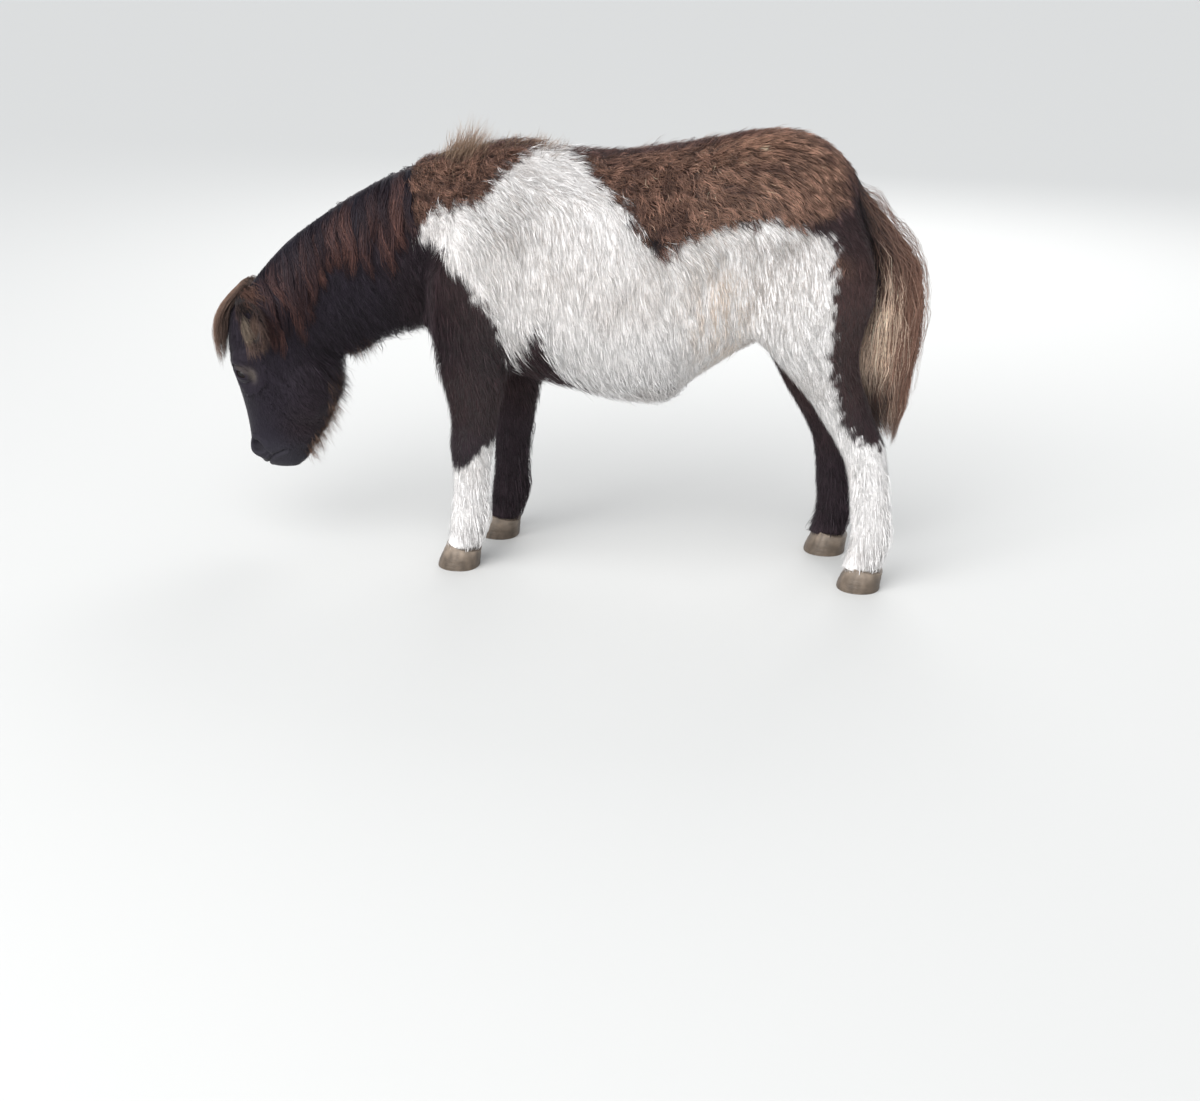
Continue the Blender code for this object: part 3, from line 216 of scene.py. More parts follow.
    # Right eye: radius, middle, the way it looks, slant of the lids in degrees, half length and height between.
    eye_radius: float = 0.0170
    eye_middle: Row = (-0.758, 0.0555, 0.359)
    eye_looks: Row = (-0.30, 1.0, 0.06)
    eye_slant: float = -27.0
    eye_opening: tuple[float, float] = (0.0118, 0.0058)
    # Right ear: root, tip and the way that its cup opens.
    ear_root: Row = (-0.757, 0.040, 0.487)
    ear_tip: Row = (-0.703, 0.112, 0.434)
    ear_opens: Row = (-0.605, 0.714, 0.353)
    # Ear: share of the length, half width, half depth.
    ear: tuple[Row, ...] = (
        (-0.15, 0.0120, 0.012),
        (0.00, 0.0165, 0.015),
        (0.22, 0.0230, 0.019),
        (0.48, 0.0265, 0.019),
        (0.74, 0.0190, 0.013),
        (0.92, 0.0090, 0.007),
        (1.00, 0.0030, 0.003),
    )
    # Right nostril, and the line of the mouth in x and z.
    nostril_middle: Row = (-0.753, 0.034, 0.203)
    mouth_line: tuple[tuple[float, float], ...] = (
        (-0.748, 0.140), (-0.741, 0.168), (-0.722, 0.187), (-0.697, 0.199),
    )
    # Outlines in the x, z plane of the head and neck, for the unwrap and the names of pieces.
    head_outline: tuple[tuple[float, float], ...] = (
        (-1.00, 0.0), (-0.50, 0.0), (-0.50, 0.335), (-0.56, 0.365), (-0.68, 0.412), (-0.730, 0.520),
        (-0.745, 0.70), (-1.00, 0.70),
    )
    neck_outline: tuple[tuple[float, float], ...] = (
        (-0.50, 0.335), (-0.46, 0.388), (-0.372, 0.3795), (-0.352, 0.79), (-0.345, 1.00), (-0.80, 1.00),
        (-0.745, 0.70), (-0.730, 0.520), (-0.68, 0.412), (-0.56, 0.365),
    )


SIZES = Sizes()


def drawn_to_world() -> Vector:
    """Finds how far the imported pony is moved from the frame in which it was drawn.

    Returns:
        The shift, read from the box of the left fore hoof and of the right one.
    """
    low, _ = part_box("hoof_fore_left")
    _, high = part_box("hoof_fore_right")
    front = min(SIZES.fore_hoof_x[Side.LEFT] + x - long for _, long, _, x in SIZES.hoof)
    return Vector((low[0] - front, (low[1] + high[1]) / 2, low[2]))


SHIFT = drawn_to_world()


# ---------------------------------------------------------------- numbers
def unit(rows: np.ndarray) -> np.ndarray:
    """Rows of vectors made one long."""
    return rows / np.maximum(np.linalg.norm(rows, axis=-1, keepdims=True), 1e-9)


def between(rows: Sequence[Row], steps: int) -> list[Row]:
    """Puts smooth rows between rows of numbers, by Catmull-Rom.

    Args:
        rows: Rows of equal length.
        steps: How many rows each stretch becomes.

    Returns:
        The denser rows, first and last included.
    """
    found = []
    last = len(rows) - 1
    for i in range(last):
        a, b, c, d = rows[max(i - 1, 0)], rows[i], rows[i + 1], rows[min(i + 2, last)]
        for k in range(steps):
            t = k / steps
            found.append(tuple(
                0.5 * (2 * q + (r - p) * t + (2 * p - 5 * q + 4 * r - s) * t * t
                       + (3 * q - p - 3 * r + s) * t ** 3)
                for p, q, r, s in zip(a, b, c, d)
            ))
    found.append(tuple(rows[last]))
    return found


def smooth_noise(places: np.ndarray, size: float, seed: int) -> np.ndarray:
    """Smooth noise as a sum of waves in seeded directions.

    Args:
        places: Points, one a row.
        size: Length of one swell of the noise.
        seed: Seed of the waves.

    Returns:
        One value for each point, mostly between -1 and 1.
    """
    draw = np.random.default_rng(seed)
    waves = unit(draw.normal(size=(9, 3))) * (2 * math.pi / size) * draw.uniform(0.6, 1.5, (9, 1))
    return np.sin(places @ waves.T + draw.uniform(0, 2 * math.pi, 9)).sum(axis=1) / 4.0


def outside(outline: Sequence[tuple[float, float]], x: np.ndarray, z: np.ndarray) -> np.ndarray:
    """Distance of points from an outline in the x, z plane.

    Args:
        outline: Corners of a closed outline.
        x: The points' x.
        z: The points' z.

    Returns:
        Distances, negative inside the outline.
    """
    nearest = np.full(x.shape, 1e9)
    inside = np.zeros(x.shape, dtype=bool)
    for (x1, z1), (x2, z2) in zip(outline, list(outline[1:]) + [outline[0]]):
        dx, dz = x2 - x1, z2 - z1
        t = np.clip(((x - x1) * dx + (z - z1) * dz) / max(dx * dx + dz * dz, 1e-12), 0, 1)
        nearest = np.minimum(nearest, np.hypot(x - x1 - t * dx, z - z1 - t * dz))
        if abs(dz) > 1e-9:
            inside ^= ((z1 > z) != (z2 > z)) & (x < dx * (z - z1) / dz + x1)
    return np.where(inside, -nearest, nearest)


def eased(low: float, high: float, value: np.ndarray) -> np.ndarray:
    """A smooth step from 0 at low to 1 at high."""
    t = np.clip((value - low) / (high - low), 0, 1)
    return t * t * (3 - 2 * t)


def blended(one: np.ndarray | Colour, two: np.ndarray | Colour, share: float | np.ndarray) -> np.ndarray:
    """The colours that lie between two by a share from 0 to 1."""
    return np.asarray(one) + (np.asarray(two) - np.asarray(one)) * share


def apart_from(middle: Row, places: np.ndarray) -> np.ndarray:
    """How far places are from a point and its mirror image, whichever is on their side."""
    x, y, z = places.T
    return np.linalg.norm(np.stack((x, np.abs(y), z), axis=1) - middle, axis=1)


# ---------------------------------------------------------------- finishes
@dataclass(frozen=True)
class Finish:
    """A finish of hair, skin or horn whose colour comes from the piece's own colour attribute.

    Attributes:
        name: The material's name.
        slot: The record's material slot; not used.
        roughness: Roughness of the surface.
        sheen: Weight of the soft sheen.
        sheen_tint: Colour of the sheen.
        specular: Specular level.
        fleck_size: Noise scale of the fine colour change.
        fleck: How much lighter and darker the fine colour change goes.
        bump: Height of the bump in metres.
        bump_scale: Scale of the bump's noise, stretched along the hair by stretch.
        stretch: How much longer than wide the bump's grains are.
        coat: Weight of a clear wet layer.
        coat_roughness: Roughness of the wet layer.
        sheen_roughness: Roughness of the sheen.
    """

    name: str
    slot: Slot
    roughness: float = 0.6
    sheen: float = 0.0
    sheen_tint: Colour = (1.0, 1.0, 1.0)
    specular: float = 0.3
    fleck_size: float = 180.0
    fleck: float = 0.12
    bump: float = 0.0
    bump_scale: float = 500.0
    stretch: float = 1.0
    coat: float = 0.0
    coat_roughness: float = 0.04
    sheen_roughness: float = 0.4

    @staticmethod
    def set_inputs(node: bpy.types.Node, values: dict[str, float | tuple[float, ...]]) -> bpy.types.Node:
        """Sets the inputs of a node.

        Args:
            node: The node.
            values: The inputs' values, by their names.

        Returns:
            The node.
        """
        for name, value in values.items():
            node.inputs[name].default_value = value
        return node

    def build(self) -> bpy.types.Material:
        """Makes the material's nodes.

        Returns:
            The material.
        """
        made = bpy.data.materials.new(self.name)
        made.use_nodes = True
        nodes, links = made.node_tree.nodes, made.node_tree.links
        shader = self.set_inputs(nodes["Principled BSDF"], {
            "Roughness": self.roughness, "Specular IOR Level": self.specular,
            "Sheen Weight": self.sheen, "Sheen Roughness": self.sheen_roughness,
            "Sheen Tint": (*self.sheen_tint, 1.0),
            "Coat Weight": self.coat, "Coat Roughness": self.coat_roughness,
        })
        colour = nodes.new("ShaderNodeAttribute")
        colour.attribute_name = COAT_COLOUR
        place = nodes.new("ShaderNodeTexCoord")
        fleck = self.set_inputs(nodes.new("ShaderNodeTexNoise"), {"Scale": self.fleck_size, "Detail": 2.0})
        links.new(place.outputs["Object"], fleck.inputs["Vector"])
        strength = self.set_inputs(nodes.new("ShaderNodeMapRange"), {
            "From Min": 0.3, "From Max": 0.7, "To Min": 1 - self.fleck, "To Max": 1 + self.fleck,
        })
        links.new(fleck.outputs["Fac"], strength.inputs["Value"])
        scaled = nodes.new("ShaderNodeVectorMath")
        scaled.operation = "SCALE"
        links.new(colour.outputs["Color"], scaled.inputs[0])
        links.new(strength.outputs["Result"], scaled.inputs["Scale"])
        links.new(scaled.outputs["Vector"], shader.inputs["Base Color"])
        if self.bump:
            stretched = self.set_inputs(nodes.new("ShaderNodeMapping"), {"Scale": (1, 1, 1 / self.stretch)})
            links.new(place.outputs["Object"], stretched.inputs["Vector"])
            grain = nodes.new("ShaderNodeTexNoise")
            self.set_inputs(grain, {"Scale": self.bump_scale, "Detail": 3.0})
            links.new(stretched.outputs["Vector"], grain.inputs["Vector"])
            bump = self.set_inputs(nodes.new("ShaderNodeBump"), {"Distance": self.bump})
            links.new(grain.outputs["Fac"], bump.inputs["Height"])
            links.new(bump.outputs["Normal"], shader.inputs["Normal"])
        return made


class Finishes:
    """The pony's finishes, each made once."""

    HAIR = Finish("fur_hair", Slot.WHITE, roughness=0.80, sheen=0.12, specular=0.12, fleck=0.06)
    DARK_HAIR = Finish(
        "dark_hair", Slot.DARK, roughness=0.55, sheen=0.05, sheen_tint=(0.8, 0.7, 0.8), specular=0.28,
        fleck=0.15,
    )
    LONG_HAIR = Finish(
        "long_hair", Slot.DARK, roughness=0.58, sheen=0.02, sheen_tint=(0.8, 0.7, 0.8), specular=0.22,
    )
    TAIL_HAIR = Finish(
        "tail_strands", Slot.TAIL, roughness=0.50, sheen=0.05, sheen_tint=(0.9, 0.7, 0.5), specular=0.32,
        fleck=0.15,
    )
    SKIN = Finish(
        "pony_skin", Slot.WHITE, roughness=0.70, sheen=0.1, specular=0.18, bump=0.0010, bump_scale=420.0,
        stretch=5.0,
    )
    EAR = Finish("ear_skin", Slot.DARK, sheen=0.1, specular=0.2, fleck=0.2, bump=0.0006, stretch=3.0)
    HORN = Finish(
        "hoof_horn", Slot.HORN, roughness=0.45, specular=0.35, fleck=0.22, fleck_size=60.0, bump=0.0008,
        bump_scale=160.0, stretch=0.35,
    )
    EYE = Finish(
        "wet_eye", Slot.EYE, roughness=0.35, specular=0.10, fleck=0.25, fleck_size=420.0, coat=0.35,
    )
    _made: dict[str, bpy.types.Material] = {}

    @classmethod
    def dress(cls, piece: bpy.types.Object, finish: Finish) -> None:
        """Gives a piece its finish.

        Args:
            piece: The piece.
            finish: Its finish.
        """
        if finish.name not in cls._made:
            cls._made[finish.name] = finish.build()
        piece.data.materials.clear()
        piece.data.materials.append(cls._made[finish.name])


# ---------------------------------------------------------------- markings
@dataclass(frozen=True)
class Tint:
    """The colour of hair from its root to its tip."""

    root: Colour
    tip: Colour


@dataclass(frozen=True)
class Markings:
    """Where the coat is white, curly brown or dark, as outlines in the x, z plane of each side.

    Attributes:
        left_white: Outline of the white on the left side.
        right_white: Outline of the white on the right side.
        sock: The sock of the left fore leg, as x and z along its upper edge.
        fore_legs: The fore legs' reach in x, and the level under which they are dark but for the sock.
        curly_front: Where, along x, the curly coat starts.
        curly_rear: Where it ends.
        curly_low: Lowest level of the curly coat.
        curly_low_front: Its lowest level in front of the white.
        curly_change: Where, along x, the second level gives way to the first.
        edge: Half width of the edge of the white.
        soft_edge: The same behind the elbow, where white and dark mix.
        ragged: How far the edge wanders.
        whorl: The dark whorl in the left side: x, z and size.
        lobe: Outline of the darker rear of the croup.
        fringe: The brown fringe under the belly's front: x, level and reach.
        white: Tint of the white coat; the tints after it are those of its creamy and grey hairs.
        black: Tint of the darkest coat, which runs to brown; the blue cast of its tips is painted sky
            reflection.
        curl: Tint of the curls in front, which runs to croup behind; spine is the dark in and over them.
        coal: Tint of the whorl.
        varies: How much lighter and darker single dark hairs are.
        white_varies: The same for white hairs.
    """

    left_white: tuple[tuple[float, float], ...] = (
        (-0.404, 0.632), (-0.353, 0.612), (-0.304, 0.565), (-0.266, 0.512), (-0.246, 0.454), (-0.227, 0.403),
        (-0.191, 0.447), (-0.179, 0.479), (-0.162, 0.451), (-0.140, 0.397), (-0.105, 0.365), (-0.050, 0.340),
        (-0.030, 0.250), (-0.030, -0.100), (0.600, -0.100), (0.600, 0.270), (0.439, 0.280), (0.406, 0.291),
        (0.378, 0.318), (0.356, 0.386), (0.341, 0.453), (0.346, 0.491), (0.342, 0.563), (0.344, 0.614),
        (0.347, 0.649), (0.307, 0.670), (0.247, 0.689), (0.179, 0.683), (0.118, 0.668), (0.082, 0.650),
        (0.062, 0.632), (0.045, 0.622), (0.018, 0.652), (-0.020, 0.705), (-0.088, 0.753), (-0.146, 0.785),
        (-0.146, 0.950), (-0.186, 0.950), (-0.186, 0.789), (-0.216, 0.773), (-0.253, 0.741), (-0.269, 0.708),
        (-0.301, 0.693), (-0.371, 0.680),
    )
    right_white: tuple[tuple[float, float], ...] = (
        (-0.355, 0.600), (-0.310, 0.540), (-0.285, 0.470), (-0.215, 0.420), (-0.150, 0.372), (-0.050, 0.340),
        (-0.030, 0.250), (-0.030, -0.100), (0.130, -0.100), (0.150, 0.420), (0.185, 0.500), (0.160, 0.575),
        (0.080, 0.610), (0.010, 0.660), (-0.045, 0.730), (-0.146, 0.785), (-0.146, 0.950), (-0.186, 0.950),
        (-0.190, 0.789), (-0.235, 0.755), (-0.275, 0.700), (-0.340, 0.655),
    )
    sock: tuple[tuple[float, float], ...] = (
        (-0.420, 0.190), (-0.343, 0.199), (-0.325, 0.202), (-0.311, 0.220), (-0.283, 0.250), (-0.24, 0.26),
    )
    fore_legs: tuple[float, float, float] = (-0.46, -0.19, 0.33)
    curly_front: float = -0.425
    curly_rear: float = 0.358
    curly_low: float = 0.600
    curly_low_front: float = 0.655
    curly_change: float = -0.19
    edge: float = 0.009
    soft_edge: float = 0.030
    ragged: float = 0.009
    whorl: Row = (0.037, 0.650, 0.0105)
    lobe: tuple[tuple[float, float], ...] = (
        (0.282, 0.668), (0.300, 0.690), (0.342, 0.694), (0.364, 0.708), (0.372, 0.745), (0.374, 0.790),
        (0.460, 0.800), (0.460, 0.600), (0.344, 0.640),
    )
    fringe: tuple[float, float, float] = (-0.115, 0.335, 0.055)
    white: Tint = Tint((0.82, 0.79, 0.77), (0.94, 0.93, 0.93))
    cream: Tint = Tint((0.76, 0.61, 0.50), (0.94, 0.82, 0.71))
    grey: Tint = Tint((0.34, 0.29, 0.26), (0.60, 0.55, 0.52))
    # The blue cast of the black tip is painted sky reflection.
    black: Tint = Tint((0.005, 0.004, 0.007), (0.015, 0.0125, 0.025))
    brown: Tint = Tint((0.009, 0.005, 0.005), (0.110, 0.058, 0.053))
    curl: Tint = Tint((0.020, 0.009, 0.008), (0.330, 0.180, 0.125))
    croup: Tint = Tint((0.055, 0.026, 0.019), (0.430, 0.245, 0.170))
    spine: Tint = Tint((0.012, 0.007, 0.007), (0.110, 0.055, 0.046))
    coal: Tint = Tint((0.006, 0.004, 0.005), (0.020, 0.012, 0.013))
    varies: float = 0.30
    white_varies: float = 0.05

    def whiteness(self, places: np.ndarray) -> np.ndarray:
        """How white the coat is at each place, from 0 to 1, with a ragged edge.

        Args:
            places: Points in the drawn frame, one a row.

        Returns:
            One share for each point.
        """
        x, y, z = places.T
        middle = eased(-0.03, 0.03, y)
        far = outside(self.left_white, x, z) * (1 - middle) + outside(self.right_white, x, z) * middle
        low, high, level = self.fore_legs
        fore = (x > low) & (x < high) & (z < level)
        top = np.interp(x, *zip(*self.sock))
        far = np.where(fore, np.where(y < 0, z - top, 0.05), far)
        far += self.ragged * (smooth_noise(places, 0.022, 5) + 0.3 * smooth_noise(places, 0.008, 6))
        at, under, reach = self.fringe
        far += 0.020 * np.exp(-((x - at) / reach) ** 2) * (1 - eased(under, under + 0.022, z))
        armpit = np.exp(-((x + 0.08) ** 2 / 0.006 + (z - 0.35) ** 2 / 0.002))
        edge = self.edge + (self.soft_edge - self.edge) * armpit
        return 1 - eased(-1.0, 1.0, far / edge)

    def curliness(self, places: np.ndarray) -> np.ndarray:
        """How curly the coat is at each place, from 0 to 1.

        Args:
            places: Points in the drawn frame, one a row.

        Returns:
            One share for each point.
        """
        x, _, z = places.T
        low = np.where(x < self.curly_change, self.curly_low_front, self.curly_low)
        found = eased(self.curly_front - 0.02, self.curly_front + 0.02, x) * eased(low - 0.02, low + 0.02, z)
        found *= eased(-0.010, 0.014, outside(self.lobe, x, z) + 0.008 * smooth_noise(places, 0.03, 13))
        found *= 1 - eased(self.curly_rear - 0.03, self.curly_rear + 0.04, x)
        return found * (1 - self.whiteness(places))

    def picked(self, places: np.ndarray, draw: np.random.Generator) -> np.ndarray:
        """Which hairs are white, drawn from how white the coat is where they show."""
        return draw.uniform(0, 1, len(places)) < self.whiteness(places)

    def tints(
        self, places: np.ndarray, warmth: np.ndarray, pick: np.ndarray, draw: np.random.Generator
    ) -> tuple[np.ndarray, np.ndarray]:
        """Colours of the hair at its root and tip.

        Args:
            places: Where the hairs show, in the drawn frame.
            warmth: How brown the dark hair is there, from 0 to 1.
            pick: Which hairs are white.
            draw: Seeded random numbers.

        Returns:
            The root colours and the tip colours, one row for each place.
        """
        count = len(places)
        curl = self.curliness(places)
        x, y, z = places.T
        stripe = (1 - eased(0.020, 0.050, np.abs(y))) * eased(0.74, 0.77, z)
        stripe *= 1 - 0.6 * eased(0.15, 0.25, x)
        wx, wz, size = self.whorl
        whorl = np.clip(2.5 * np.exp(-((x - wx) ** 2 + (z - wz) ** 2) / size ** 2) * (y < 0), 0, 1)[:, None]
        gaps = eased(0.2, 1.1, smooth_noise(places * (1.0, 1.0, 2.2), 0.050, 9)) * 0.55
        margin = eased(-0.04, 0.0, -np.abs(outside(self.left_white, x, z))) * (x < 0.1) * 0.25
        dim = np.clip(stripe + gaps + margin, 0, 1)
        rear = eased(0.02, 0.22, x)
        speckled = np.exp(-((x - 0.23) ** 2 / 0.010 + (z - 0.60) ** 2 / 0.009))
        speckled += np.exp(-((x + 0.16) ** 2 / 0.012 + (z - 0.68) ** 2 / 0.007)) * 0.70
        speckle = draw.uniform(0, 1, count) < speckled * 0.75
        mottle = 0.30 * eased(0.2, 1.0, smooth_noise(places, 0.10, 8))
        mottle += speckle * draw.uniform(0.3, 1.0, count)
        flank = np.exp(-((x - 0.150) ** 2 / 0.0022 + (z - 0.50) ** 2 / 0.014))
        flank *= eased(-1.0, 0.5, smooth_noise(places * (1.8, 1.0, 0.6), 0.045, 12))
        cream = np.clip(flank * 0.85 + np.exp(-((z - 0.56) / 0.09) ** 2) * 0.12, 0, 1)
        found = []
        vary = draw.normal(0, 1, count)[:, None]
        for end in ("root", "tip"):
            light = self.mix(self.white, self.grey, np.clip(mottle, 0, 0.85), end)
            light = blended(light, getattr(self.cream, end), cream[:, None])
            dark = self.mix(self.black, self.brown, warmth, end)
            curly = self.mix(self.curl, self.croup, rear, end)
            curly = blended(curly, getattr(self.spine, end), dim[:, None])
            dark = blended(blended(dark, curly, curl[:, None]), getattr(self.coal, end), whorl)
            dark, light = dark * np.exp(vary * self.varies), light * np.exp(vary * self.white_varies)
            found.append(np.clip(np.where(pick[:, None], light, dark), 0, 1))
        return found[0], found[1]

    @staticmethod
    def mix(one: Tint, two: Tint, share: np.ndarray, end: str) -> np.ndarray:
        """Mixes the root or tip colours of two tints by a share for each place."""
        return blended(getattr(one, end), getattr(two, end), share[:, None])

    def skin_colours(self, places: np.ndarray, warmth: np.ndarray) -> np.ndarray:
        """Colours of the skin under the coat.

        Args:
            places: Points in the drawn frame, one a row.
            warmth: How brown the dark coat is there, from 0 to 1.

        Returns:
            One colour for each point.
        """
        light = 0.45 * (np.array(self.white.root) + np.array(self.white.tip))
        dark = 0.45 * sum(self.mix(self.black, self.brown, warmth, end) for end in ("tip", "root"))
        dark = blended(dark, np.array(self.curl.tip) * 0.15, self.curliness(places)[:, None])
        return blended(dark, light, self.whiteness(places)[:, None])


MARKINGS = Markings()


# ---------------------------------------------------------------- the lie of the coat
@dataclass(frozen=True)
class Patch:
    """The coat at one place of the body.

    Attributes:
        x: Place along the body.
        z: Level of the place.
        way: The lie of the hair there: x, outwards, z.
        length: Length of the hair.
        lift: How far the hair stands off the skin, as a share of its length.
        depth: How far the skin lies under the surface of the solids.
        warmth: How brown dark hair is there.
        dense: Tufts for each square centimetre.
        width: Width of a tuft.
    """

    x: float
    z: float
    way: Row
    length: float
    lift: float
    depth: float
    warmth: float
    dense: float
    width: float


class Comb:
    """The lie, length and look of the coat everywhere, blended between patches.

    Attributes:
        PATCHES: The coat at places of the right side.
        REACH: How far a patch reaches.
        BATCH: How many places are blended at a time.
    """

    PATCHES: tuple[Patch, ...] = (
        Patch(-0.800, 0.440, (-0.1, 0.2, -1.0), 0.014, 0.16, 0.002, 0.10, 21.7, 0.00085),
        Patch(-0.735, 0.420, (0.5, 0.1, -0.8), 0.013, 0.14, 0.002, 0.10, 23.2, 0.00076),
        Patch(-0.700, 0.330, (0.5, 0.1, -0.8), 0.014, 0.14, 0.002, 0.10, 23.2, 0.00076),
        Patch(-0.785, 0.300, (0.1, 0.1, -1.0), 0.008, 0.12, 0.001, 0.05, 34.1, 0.00068),
        Patch(-0.775, 0.230, (0.2, 0.1, -1.0), 0.006, 0.12, 0.001, 0.05, 40.3, 0.00059),
        Patch(-0.730, 0.180, (0.3, 0.1, -0.8), 0.004, 0.14, 0.0005, 0.02, 40.3, 0.00051),
        Patch(-0.625, 0.230, (0.8, 0.1, -0.8), 0.022, 0.22, 0.003, 0.30, 14.0, 0.00094),
        Patch(-0.600, 0.320, (0.7, 0.1, -0.8), 0.024, 0.22, 0.003, 0.20, 14.0, 0.00094),
        Patch(-0.740, 0.500, (0.7, 0.3, -0.6), 0.018, 0.18, 0.003, 0.15, 18.9, 0.00097),
        Patch(-0.620, 0.470, (0.5, 0.0, -0.9), 0.022, 0.20, 0.004, 0.10, 16.8, 0.00090),
        Patch(-0.555, 0.385, (0.6, 0.0, -0.9), 0.050, 0.50, 0.003, 0.20, 14.7, 0.00097),
        Patch(-0.520, 0.520, (0.45, 0.0, -0.9), 0.024, 0.20, 0.006, 0.10, 13.7, 0.00097),
        Patch(-0.490, 0.430, (0.5, 0.0, -0.9), 0.040, 0.38, 0.006, 0.15, 12.6, 0.00097),
        Patch(-0.420, 0.600, (0.5, 0.0, -0.9), 0.028, 0.22, 0.006, 0.25, 13.7, 0.00097),
        Patch(-0.400, 0.480, (0.2, 0.1, -1.0), 0.034, 0.28, 0.016, 0.38, 14.7, 0.00101),
        Patch(-0.310, 0.560, (0.3, 0.0, -1.0), 0.030, 0.22, 0.007, 0.60, 14.7, 0.00101),
        Patch(-0.230, 0.400, (0.4, 0.1, -0.9), 0.036, 0.25, 0.007, 0.50, 12.2, 0.00122),
        Patch(-0.300, 0.720, (0.8, 0.3, -0.6), 0.036, 0.34, 0.008, 0.60, 13.7, 0.00115),
        Patch(-0.120, 0.780, (0.9, 0.4, -0.4), 0.032, 0.28, 0.008, 0.60, 13.2, 0.00115),
        Patch(-0.120, 0.640, (0.25, 0.0, -1.0), 0.031, 0.18, 0.008, 0.60, 13.5, 0.00101),
        Patch(0.000, 0.500, (0.20, 0.0, -1.0), 0.034, 0.16, 0.008, 0.60, 13.5, 0.00094),
        Patch(0.000, 0.360, (0.3, 0.0, -1.0), 0.044, 0.22, 0.008, 0.60, 12.2, 0.00115),
        Patch(0.160, 0.480, (0.1, 0.0, -1.0), 0.032, 0.16, 0.01, 0.60, 12.2, 0.00108),
        Patch(0.150, 0.405, (0.3, 0.0, -1.0), 0.024, 0.18, 0.018, 0.60, 12.2, 0.00108),
        Patch(0.050, 0.740, (0.7, 0.3, -0.8), 0.036, 0.34, 0.006, 0.60, 13.7, 0.00115),
        Patch(0.200, 0.800, (1.0, 0.2, -0.4), 0.032, 0.27, 0.005, 0.60, 13.7, 0.00108),
        Patch(0.260, 0.720, (0.7, 0.1, -0.8), 0.032, 0.18, 0.008, 0.60, 13.7, 0.00108),
        Patch(0.260, 0.600, (0.15, 0.0, -1.0), 0.026, 0.16, 0.007, 0.60, 14.7, 0.00108),
        Patch(0.380, 0.560, (0.1, 0.1, -1.0), 0.022, 0.14, 0.005, 0.90, 15.9, 0.00101),
        Patch(0.370, 0.720, (0.6, 0.1, -0.9), 0.024, 0.16, 0.006, 0.60, 15.9, 0.00101),
        Patch(0.320, 0.400, (0.3, 0.0, -1.0), 0.024, 0.18, 0.005, 0.80, 15.9, 0.00101),
        Patch(0.410, 0.280, (0.15, 0.0, -1.0), 0.020, 0.18, 0.004, 0.50, 15.4, 0.00097),
        Patch(0.420, 0.160, (0.15, 0.0, -1.0), 0.020, 0.20, 0.003, 0.30, 15.4, 0.00097),
        Patch(0.420, 0.070, (0.2, 0.1, -1.0), 0.024, 0.25, 0.003, 0.30, 15.4, 0.00097),
        Patch(-0.305, 0.340, (0.15, 0.0, -1.0), 0.026, 0.20, 0.005, 0.60, 13.2, 0.00105),
        Patch(-0.315, 0.240, (0.1, 0.0, -1.0), 0.020, 0.18, 0.004, 0.30, 15.4, 0.00097),
        Patch(-0.320, 0.140, (0.15, 0.0, -1.0), 0.020, 0.20, 0.003, 0.30, 15.4, 0.00097),
        Patch(-0.325, 0.070, (0.2, 0.1, -1.0), 0.024, 0.25, 0.003, 0.30, 15.4, 0.00097),
    )
    REACH = 0.055
    BATCH = 20000

    def __init__(self) -> None:
        """Lays the patches' numbers out as arrays."""
        self.places = np.array([(p.x, p.z) for p in self.PATCHES])
        self.values = np.array([
            (*p.way, p.length, p.lift, p.depth, p.warmth, p.dense, p.width) for p in self.PATCHES
        ])

    def at(self, places: np.ndarray) -> dict[str, np.ndarray]:
        """Blends the patches at places.

        Args:
            places: Points in the drawn frame, one a row.

        Returns:
            The way, length, lift, depth, warmth, density and width at each point.
        """
        found = np.empty((len(places), self.values.shape[1]))
        for start in range(0, len(places), self.BATCH):
            part = places[start:start + self.BATCH]
            apart = np.hypot(part[:, 0:1] - self.places[:, 0], part[:, 2:3] - self.places[:, 1])
            weight = np.exp(-(apart / self.REACH) ** 2) + 1e-6 / (apart + 0.01) ** 2
            found[start:start + self.BATCH] = weight @ self.values / weight.sum(axis=1, keepdims=True)
        way = found[:, :3].copy()
        way[:, 1] *= np.sign(places[:, 1])
        names = ("length", "lift", "depth", "warmth", "dense", "width")
        return {"way": way, **{name: found[:, 3 + k] for k, name in enumerate(names)}}


COMB = Comb()


# ---------------------------------------------------------------- unwrap
@dataclass(frozen=True)
class Chart:
    """One part of the unwrap: the part's turns round its axis, laid out in a rectangle.

    Attributes:
        along: Which coordinate runs along the part: 0 for x, 2 for z.
        middle: The axis, as the other coordinate and y.
        reach: First and last value of the coordinate along the part.
        corner: Lower corner of the rectangle.
        size: Width and height of the rectangle.
    """

    along: int
    middle: tuple[float, float]
    reach: tuple[float, float]
    corner: tuple[float, float]
    size: tuple[float, float]

    def unwrap(self, places: np.ndarray) -> np.ndarray:
        """Lays points of the part out on the map.

        Args:
            places: Points in the drawn frame, one a row.

        Returns:
            Their places on the map.
        """
        other = 2 if self.along == 0 else 0
        turn = np.arctan2(places[:, 1] - self.middle[1], places[:, other] - self.middle[0])
        low, high = self.reach
        u = (places[:, self.along] - low) / (high - low)
        v = turn / (2 * math.pi) + 0.5
        return np.stack((self.corner[0] + u * self.size[0], self.corner[1] + v * self.size[1]), axis=1)


